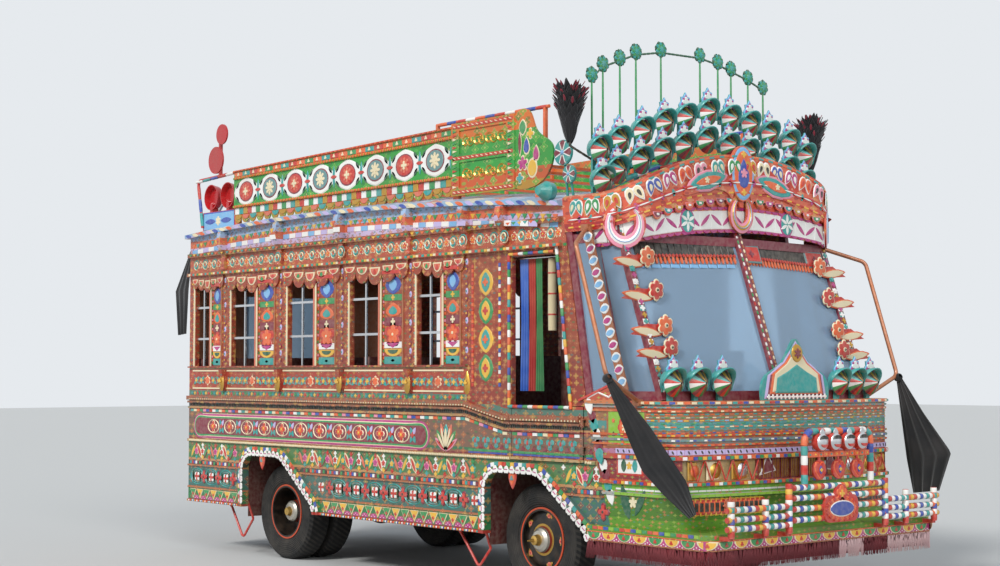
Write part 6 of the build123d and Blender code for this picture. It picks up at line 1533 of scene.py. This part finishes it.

# %% [markdown]
# Wheels: an orange ring on the rim's flange, a black dish with gold petals, and a gold and
# chrome hub. The finish is one material by distance from the axle; the petals are plates
# that turn with the wheel. Tyre rubber gets its tread blocks from the same distance, with
# painted shade darkening the grooves between them.

# %% Wheels
def round_axle(tree, axle_x):
    """Distance from the axle's line, and the angle about it."""
    place = put(tree, "ShaderNodeTexCoord").outputs["Object"]
    axes = put(tree, "ShaderNodeSeparateXYZ", {0: place})
    along = maths(tree, "SUBTRACT", axes.outputs["X"], axle_x)
    rise = maths(tree, "SUBTRACT", axes.outputs["Z"], HUB_Z)
    flat = put(tree, "ShaderNodeCombineXYZ", {"X": along, "Y": rise})
    far = put(tree, "ShaderNodeVectorMath", {0: flat.outputs[0]}, operation="LENGTH")
    angle = maths(tree, "ARCTAN2", rise, along)
    return place, axes.outputs["Y"], far.outputs["Value"], angle


def rim_finish(name, axle_x):
    """Orange flange, black dish, gold hub; dusty and a little scratched."""
    material, tree, shader = blank(name)
    place, _, far, _ = round_axle(tree, axle_x)
    share = maths(tree, "MULTIPLY", far, 4.0)
    shade = ramp(tree, share, [(0.0, "#d8b060"), (0.16, "#c9c4b8"), (0.34, "#8a2c1c"), (0.37, "#c9a050"),
                                          (0.43, "#141210"), (0.83, "#c84a24")])
    metal = ramp(tree, share, [(0.0, 0.9), (0.34, 0.1), (0.37, 0.9), (0.43, 0.0)])
    dirt = noise(tree, place, 14.0, 6.0)
    held = ramp(tree, dirt, [(0.42, 0.0), (0.8, 0.5)], smooth=True)
    mixed = blend(tree, held, shade, linear("#5c4a3a"))
    tree.links.new(mixed, shader.inputs["Base Color"])
    tree.links.new(metal, shader.inputs["Metallic"])
    dull = ramp(tree, dirt, [(0.3, 0.28), (0.8, 0.6)], smooth=True)
    tree.links.new(dull, shader.inputs["Roughness"])
    relieve(tree, shader, dirt, 0.15, 0.002)
    return material


def tyre_finish(name, axle_x):
    """Worn rubber: cross-cut tread with painted shade in its grooves, ribbed side walls and grey dust."""
    material, tree, shader = blank(name)
    place, across, far, angle = round_axle(tree, axle_x)
    teeth = maths(tree, "MULTIPLY", angle, 58.0)
    lean = maths(tree, "MULTIPLY_ADD", across, 90.0, teeth)
    wave = maths(tree, "SINE", lean)
    cut = ramp(tree, wave, [(0.0, 0.0), (0.18, 1.0)], smooth=True)
    tread = put(tree, "ShaderNodeMapRange", {"Value": far, "From Min": 0.352, "From Max": 0.362})
    rings = maths(tree, "MULTIPLY", far, 420.0)
    ripple = maths(tree, "SINE", rings)
    relief = put(tree, "ShaderNodeMix", {"Factor": tread.outputs[0], "A": ripple, "B": cut}, data_type="FLOAT")
    dirt = noise(tree, place, 10.0, 6.0)
    shade = ramp(tree, dirt, [(0.35, "#181716"), (0.8, "#3f3a34")], smooth=True)
    # The tread's grooves are painted near black here: painted shade in the recesses between the blocks.
    groove_shade = blend(tree, relief.outputs[0], linear("#0c0b0b"), shade)
    pick = blend(tree, tread.outputs[0], shade, groove_shade)
    tree.links.new(pick, shader.inputs["Base Color"])
    shader.inputs["Roughness"].default_value = 0.8
    relieve(tree, shader, relief.outputs[0], 0.6, 0.004)
    return material


for where, axle_x, wheel, y, radius in (("front", AXLES[0], "wheel_front", 0.9405, 0.172),
                                        ("rear", AXLES[1], "wheels_rear", 0.7655, 0.150)):
    rim, rubbered = rim_finish("rim_" + where, axle_x), tyre_finish("tyre_" + where, axle_x)
    for name in nodes:
        if name.startswith(("rim_" + where, "tyre_" + where, "tyres_" + where)):
            data = nodes[name].data
            data.materials.clear()
            data.materials.append(rim if name.startswith("rim") else rubbered)
    for side, body in ((-1, wheel + "_right"), (1, wheel + "_left")):
        spots = []
        for number in range(5):
            a = 2 * math.pi * number / 5
            radial = Vector((math.cos(a), 0, math.sin(a)))
            spots.append((Vector((axle_x, side * y, HUB_Z)) + radial * radius,
                          radial.cross(Vector((0, side, 0))), radial, 1.0))
        stack("wheel_petals", spots, (plate(drop(0.070, 0.062), 0.004), "gold", 0.001),
              (plate(drop(0.040, 0.036), 0.004), "salmon", 0.004),
              (plate(oval(0.012, 0.012, 6), 0.004), "red", 0.008), body=body)

# %% [markdown]
# Nothing of the rear is in view in the photograph, so it is dressed as the sides are:
# level rows between the boards, and a rosette in each panel.

# %% Rear wall
for z, pitch, height, colours in (
        (0.475, 0.070, 0.050, "red yellow green cream"), (0.760, 0.056, 0.022, "teal cream red"),
        (0.985, 0.050, 0.020, "orange white blue"), (1.250, 0.060, 0.030, "green cream red teal"),
        (1.360, 0.046, 0.016, "orange cream maroon"), (1.540, 0.056, 0.024, "red white teal"),
        (2.400, 0.056, 0.024, "yellow red teal cream"), (2.530, 0.060, 0.030, "blue white orange")):
    row = on(("rear_wall",), line([(-3.03, 1.07, z), (-3.03, -1.07, z)], pitch), 0.10)
    lay("rear_rows", row, plate(block(pitch * 0.88, height), 0.004), colours)
for z, pitch in ((0.620, 0.430), (0.870, 0.268), (1.115, 0.306), (1.450, 0.214), (2.465, 0.268)):
    row = on(("rear_wall",), line([(-3.03, 1.07, z), (-3.03, -1.07, z)], pitch), 0.10)
    width = min(pitch * 0.6, 0.150)
    stack("rear_rosettes", row, (plate(petals(8, width * 0.52, 0.8)), "cream", 0.001),
          (plate(petals(8, width * 0.46, 0.75), 0.004), "red teal orange", 0.003),
          (plate(oval(width * 0.30, width * 0.30, 10), 0.004, 0.004), "yellow", 0.007))
    for way in (-1, 1):
        lay("rear_rosettes", shifted(row, way * pitch * 0.40, 0), plate(leaf(width * 0.30, width * 0.62)), "green",
            0.001)
print("rack and wheels:", len(work))

# %% [markdown]
# Soft goods are modelled as what they are. A cloth is a single surface between two edge
# lines, thrown into folds that open towards its foot; the cab's curtains are gathered on
# their rod; fringe threads, feathers and ruffled flowers replace the plain solids.

# %% Cloth, thread and feather finishes
def woven(name, colour, pale):
    """Cloth: threads crossed every 4 mm in relief, faded in patches."""
    material, tree, shader = blank(name)
    place = put(tree, "ShaderNodeTexCoord").outputs["Object"]
    fading = noise(tree, place, 5.0, 6.0)
    held = ramp(tree, fading, [(0.4, 0.0), (0.8, 0.55)], smooth=True)
    shade = blend(tree, held, linear(colour), linear(pale))
    tree.links.new(shade, shader.inputs["Base Color"])
    axes = put(tree, "ShaderNodeSeparateXYZ", {0: place})
    waves = []
    for axis in ("Y", "Z"):
        turned_axis = maths(tree, "MULTIPLY", axes.outputs[axis], math.tau / 0.004)
        waves.append(maths(tree, "SINE", turned_axis))
    weave = maths(tree, "MULTIPLY", waves[0], waves[1])
    relieve(tree, shader, weave, 0.3, 0.001)
    shader.inputs["Roughness"].default_value = 0.9
    shader.inputs["Sheen Weight"].default_value = 0.3
    return material


black_cotton = woven("black_cotton", "#0f0f11", "#3a3634")
blue_cotton = woven("blue_cotton", "#2c5ab0", "#7f9ad0")
red_cotton = woven("red_cotton", "#a82c28", "#c86a50")
green_cotton = woven("green_cotton", "#2f7a4a", "#7aa86a")
cream_canvas = woven("cream_canvas", "#d8c8a0", "#b09a74")
red_thread = woven("dark_red_thread", "#6a1620", "#8f2c30")
pale_thread = woven("pale_pink_thread", "#d8b0b0", "#e4d4cc")
feather = woven("black_feather", "#0c0b0e", "#241c22")
crimson_tip = woven("crimson_feather_tip", "#7a1428", "#a82c40")


# %% Hanging cloths
def between(edge, share):
    """A point at a share of the way along an edge line."""
    place = share * (len(edge) - 1)
    index = min(int(place), len(edge) - 2)
    return Vector(edge[index]).lerp(Vector(edge[index + 1]), place - index)


def hang(piece, left, right, folds, depth, material, out, rows=28, columns=40):
    """A cloth between two edges, with folds that deepen towards its foot."""
    points, faces = [], []
    for i in range(rows + 1):
        a, b = between(left, i / rows), between(right, i / rows)
        for j in range(columns + 1):
            share = j / columns
            swell = depth * (0.25 + 0.75 * i / rows) * math.sin(math.tau * folds * share + 1.5 * i / rows)
            points.append(tuple(a.lerp(b, share) + Vector(out) * swell))
    for i in range(rows):
        for j in range(columns):
            n = i * (columns + 1) + j
            faces.append((n, n + 1, n + columns + 2, n + columns + 1))
    keep(piece, "body", np.array(points), faces, material, True)


def tapered(start, end, widths):
    """The two edges of a cloth that hangs along a line, from its half widths."""
    start, end = Vector(start), Vector(end)
    drop_line = (end - start).normalized()
    across = drop_line.cross(UP).normalized().cross(drop_line)
    return ([tuple(start.lerp(end, s) + across * a) for s, a, _ in widths],
            [tuple(start.lerp(end, s) + across * b) for s, _, b in widths])


left, right = tapered((2.640, -1.450, 1.480), (3.035, -1.142, 0.641), [
    (0.0, -0.022, 0.022), (0.2, -0.052, 0.046), (0.4, -0.085, 0.072), (0.6, -0.110, 0.080), (0.8, -0.070, 0.090),
    (1.0, -0.012, 0.040)])
hang("drape_right", left, right, 2.5, 0.012, black_cotton, (0.6, -0.75, 0))
hang("drape_left", [(2.610, 1.454, 1.490), (2.650, 1.454, 1.200), (2.690, 1.454, 0.900), (2.740, 1.454, 0.660)],
     [(2.655, 1.454, 1.490), (2.850, 1.454, 1.230), (3.080, 1.454, 0.960),
      (2.980, 1.454, 0.690)], 3.5, 0.012, black_cotton,
     (0, 1, 0))
hang("drape_rear", [(-3.015, -1.087, 2.520), (-3.070, -1.087, 2.250), (-3.110, -1.087, 1.860)],
     [(-3.030, -1.087, 2.600), (-3.286, -1.087, 2.240), (-3.230, -1.087, 1.850)], 2.5, 0.008, black_cotton, (0, 1, 0))
for side in (-1, 1):
    knot = [aside(2.632, side * 1.450, 1.484)]
    lay("drape_knots", turned(knot, 0.4), barrel(0.020, 0.052, bulge=0.009), black_cotton)

# The cab's curtains: three widths of cotton on a rod, and a rolled canvas blind
for number, (start, end, cloth) in enumerate(((1.340, 1.425, blue_cotton), (1.428, 1.500, red_cotton),
                                              (1.503, 1.568, green_cotton))):
    hang("curtain_" + "abc"[number], [(start, -1.038, 2.296), (start + 0.004, -1.036, 1.85), (start, -1.036, 1.394)],
         [(end, -1.038, 2.296), (end - 0.004, -1.036, 1.85), (end, -1.036, 1.394)], 3.0, 0.014, cloth,
         (0, 1, 0), 24, 48)
lay("curtain_rod", line([(1.26, -1.038, 2.300), (1.75, -1.038, 2.300)], 0.49, out=(0, -1, 0)), barrel(0.006, 0.49),
    "chrome")
lay("rolled_blind", line([(1.660, -1.028, 1.80), (1.660, -1.028, 2.29)], 0.49, out=(0, -1, 0)),
    barrel(0.029, 0.485, 14), cream_canvas)
lay("blind_ties", line([(1.660, -1.028, 1.84), (1.660, -1.028, 2.26)], 0.14, out=(0, -1, 0)),
    barrel(0.0305, 0.012, 14), "red")

# %% Fringe under the bumper
band_line = [(x - 0.010 * (x > 3), y * 0.994, 0) for x, y, _ in bumper]
points, faces = [], []
for n, (spot, along) in enumerate(walk(band_line, 0.02)):
    sway = 0.004 * math.sin(n * 1.3)
    out = Vector(along).cross(UP)
    for z in (0.442, 0.400, 0.350):
        points.append(tuple(Vector((spot.x, spot.y, z)) + out * sway * (0.442 - z) * 10))
    if n:
        for k in range(2):
            a = 3 * n + k
            faces.append((a, a - 3, a - 2, a + 1))
keep("fringe_band", "body", np.array(points), faces, red_thread, True)
threads = bumper_row(0.382, 0.009)
for number in range(3):
    group = turned(threads[number::3], (-0.05, 0.02, 0.06)[number])
    right_half = [p for p in group if p[0].y < 0.10 or 0.35 < p[0].y < 0.60]
    left_half = [p for p in group if not (p[0].y < 0.10 or 0.35 < p[0].y < 0.60)]
    shape = plate(wedge(0.009, (0.118, 0.122, 0.112)[number]), 0.004)
    lay("fringe_threads", right_half, shape, red_thread, 0.001, wander=0.3)
    lay("fringe_threads", left_half, shape, pale_thread, 0.001, wander=0.3)

# %% [markdown]
# Plumes are dense bunches of feathers on bent rods. Each feather is one leaf-shaped plate
# that leaves the rod and spreads outwards; a fixed seed keeps the bunch the same.

# %% Plumes
picker = random.Random(41)
for side, end_z in ((-1, 2.975), (1, 3.096)):
    rod = [(2.066, side * 1.030, end_z - 0.060), (2.040, side * 1.215, 3.000), (2.040, side * 1.215, 3.40)]
    lay("plume_rods", line(rod, 0.05, out=(1, 0, 0)), barrel(0.007, 0.052), "black")
    feathers, tips = [], []
    for number in range(300):
        share = picker.random()
        a = picker.uniform(0, math.tau)
        spread = 0.30 + 0.95 * share * picker.random()
        radial = Vector((math.cos(a), math.sin(a), 0))
        rise = (UP + radial * spread).normalized()
        root = Vector((2.040, side * 1.215, 3.02 + 0.28 * share)) + radial * 0.018 + rise * 0.075
        place = (root, rise.cross(radial).normalized(), rise, picker.uniform(0.8, 1.1))
        feathers.append(place)
        if share > 0.45 and number % 3 == 0:
            tips += shifted([place], 0, 0.062)
    lay("plumes_feathers", feathers, plate(leaf(0.046, 0.170), 0.002), feather)
    lay("plumes_feathers", tips, plate(leaf(0.018, 0.050)), crimson_tip, 0.001)

# %% Flower arch
bow = [(-1.037, 3.464), (-0.936, 3.548), (-0.779, 3.607), (-0.628, 3.665), (-0.388, 3.708), (0, 3.715), (0.183, 3.690),
       (0.319, 3.657), (0.498, 3.613), (0.659, 3.558)]
lay("arch_bow", line([(2.061, y, z) for y, z in bow], 0.040, out=(1, 0, 0)), barrel(0.006, 0.042), "forest")
for number, (y, z) in enumerate(bow):
    foot = min(crown_rows, key=lambda row: abs(row[0] - y))[1] - 0.03
    lay("arch_bow", line([(2.061, y, foot), (2.061, y, z)], z - foot, out=(1, 0, 0)), barrel(0.0055, z - foot), "green")
    for layer, (width, colour, turn) in enumerate(((0.060, "forest", 0.0), (0.054, "teal", 0.6),
                                                   (0.042, "green", 0.3), (0.026, "teal", 0.9))):
        for facing in (1, -1):
            spot = [(Vector((2.061 + facing * 0.002, y, z + 0.020)), Vector((0, facing, 0)), UP, 1.0)]
            lay("arch_flowers", turned(spot, turn + number), plate(petals(7, width, 0.62), 0.003, 0.004), colour,
                0.003 * layer)
print("soft goods:", len(work))

# name: flat width and length (m), how it is held, what it hangs from, cut area where not a rectangle
sheets = {
    "drape_right": ((0.20, 0.98), "hung", ["drape_knots"], 0.150),
    "drape_left": ((0.40, 0.91), "hung", ["drape_knots"], 0.235),
    "drape_rear": ((0.25, 0.76), "hung", ["rear_wall"], 0.115),
    "curtain_a": ((0.14, 0.90), "gathered", ["curtain_rod"], None),
    "curtain_b": ((0.14, 0.90), "gathered", ["curtain_rod"], None),
    "curtain_c": ((0.14, 0.90), "gathered", ["curtain_rod"], None),
    "fringe_band": ((4.20, 0.09), "hung", ["front_bumper"], None),
}
stand_ins = {"drape_right": ("cloth_front_right",), "drape_left": ("cloth_front_left",),
             "drape_rear": ("cloth_rear_right",),
             "curtain_a": ("cab_curtain",), "fringe_band": ("front_fringe",), "plumes_feathers": ("plumes",),
             "arch_flowers": ("flower_arch",)}

# %% [markdown]
# Each piece has been gathered as plain points and faces. One mesh a piece is built from
# them, with one slot for each finish, and the piece rides on the body that it belongs to.

# %% Build the pieces
def build_piece(name, body, chunks):
    """Joins the gathered meshes of one piece and lets it ride on its body."""
    materials, points, faces, slots, smooth = [], [], [], [], []
    start = 0
    for cloud, polygons, material, soft in chunks:
        if material not in materials:
            materials.append(material)
        points.append(cloud)
        faces += [tuple(v + start for v in polygon) for polygon in polygons]
        slots += [materials.index(material)] * len(polygons)
        smooth += [soft] * len(polygons)
        start += len(cloud)
    mesh = bpy.data.meshes.new(name)
    mesh.from_pydata(np.concatenate(points).tolist(), [], faces)
    for material in materials:
        mesh.materials.append(material)
    mesh.polygons.foreach_set("material_index", slots)
    mesh.polygons.foreach_set("use_smooth", smooth)
    mesh.update()
    made = bpy.data.objects.new(name, mesh)
    bpy.context.scene.collection.objects.link(made)
    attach(made, body)
    return made, sum(len(face) - 2 for face in faces)


added, made_pieces = {}, {}
for name, piece in work.items():
    made, triangles = build_piece(name, piece["body"], piece["chunks"])
    added[name] = triangles
    made_pieces[name] = made
for motif in stock.values():
    bpy.data.objects.remove(motif)
print("added", len(added), "pieces,", sum(added.values()), "triangles; largest",
      sorted(added.items(), key=lambda item: -item[1])[:4])


for name, (flat, held, hangs_from, area) in sheets.items():
    surface = made_pieces[name].data
    print(name, "area", round(sum(p.area for p in surface.polygons), 4))
for name, solids in stand_ins.items():
    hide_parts(*solids)

# %% [markdown]
# The camera stands where the photographer stood, at the front right, with a short
# telephoto lens. The stage is a pale floor and a pale sky; one large soft sun from the
# left rear of the camera and the sky's fill light the paint at about its written value.

# %% Camera, stage and light
camera = bpy.data.objects.new("camera", bpy.data.cameras.new("camera"))
camera.location = (10.347, -8.832, 1.519)
camera.rotation_euler = (math.radians(92.959), 0, math.radians(49.801))
camera.data.lens = 62.40
camera.data.sensor_width = 36
bpy.context.scene.collection.objects.link(camera)
bpy.context.scene.camera = camera

floor_mesh = bpy.data.meshes.new("studio_floor")
floor_mesh.from_pydata([(-60, -60, 0), (60, -60, 0), (60, 60, 0), (-60, 60, 0)], [], [(0, 1, 2, 3)])
studio_floor = bpy.data.objects.new("studio_floor", floor_mesh)
bpy.context.scene.collection.objects.link(studio_floor)
pale, tree, shader = blank("studio_floor")
shader.inputs["Base Color"].default_value = linear("#c9c9c6")
shader.inputs["Roughness"].default_value = 0.9
floor_mesh.materials.append(pale)

world = bpy.data.worlds.new("studio_sky")
bpy.context.scene.world = world
world.use_nodes = True
sky = world.node_tree
sky.nodes.clear()
path = put(sky, "ShaderNodeLightPath")
seen = put(sky, "ShaderNodeMath", {0: path.outputs["Is Camera Ray"], 1: path.outputs["Is Glossy Ray"]},
           operation="MAXIMUM")
seen = put(sky, "ShaderNodeMath", {0: seen.outputs[0], 1: path.outputs["Is Transmission Ray"]},
           operation="MAXIMUM")
shown = put(sky, "ShaderNodeMix", {"Factor": seen.outputs[0], "A": linear("#c8d2de"), "B": linear("#e6eaee")},
            data_type="RGBA")
level = put(sky, "ShaderNodeMix", {"Factor": seen.outputs[0], "A": 0.62, "B": 1.0}, data_type="FLOAT")
light = put(sky, "ShaderNodeBackground", {"Color": shown.outputs[2], "Strength": level.outputs[0]})
put(sky, "ShaderNodeOutputWorld", {"Surface": light.outputs[0]})

for name, turn, strength, angle in (("key", (52, 0, 12), 2.1, 12), ("front", (62, 0, 70), 1.1, 30)):
    lamp = bpy.data.lights.new(name, "SUN")
    lamp.energy = strength
    lamp.angle = math.radians(angle)
    lamp_object = bpy.data.objects.new(name, lamp)
    lamp_object.rotation_euler = [math.radians(a) for a in turn]
    bpy.context.scene.collection.objects.link(lamp_object)
bpy.context.scene.view_settings.view_transform = "Standard"
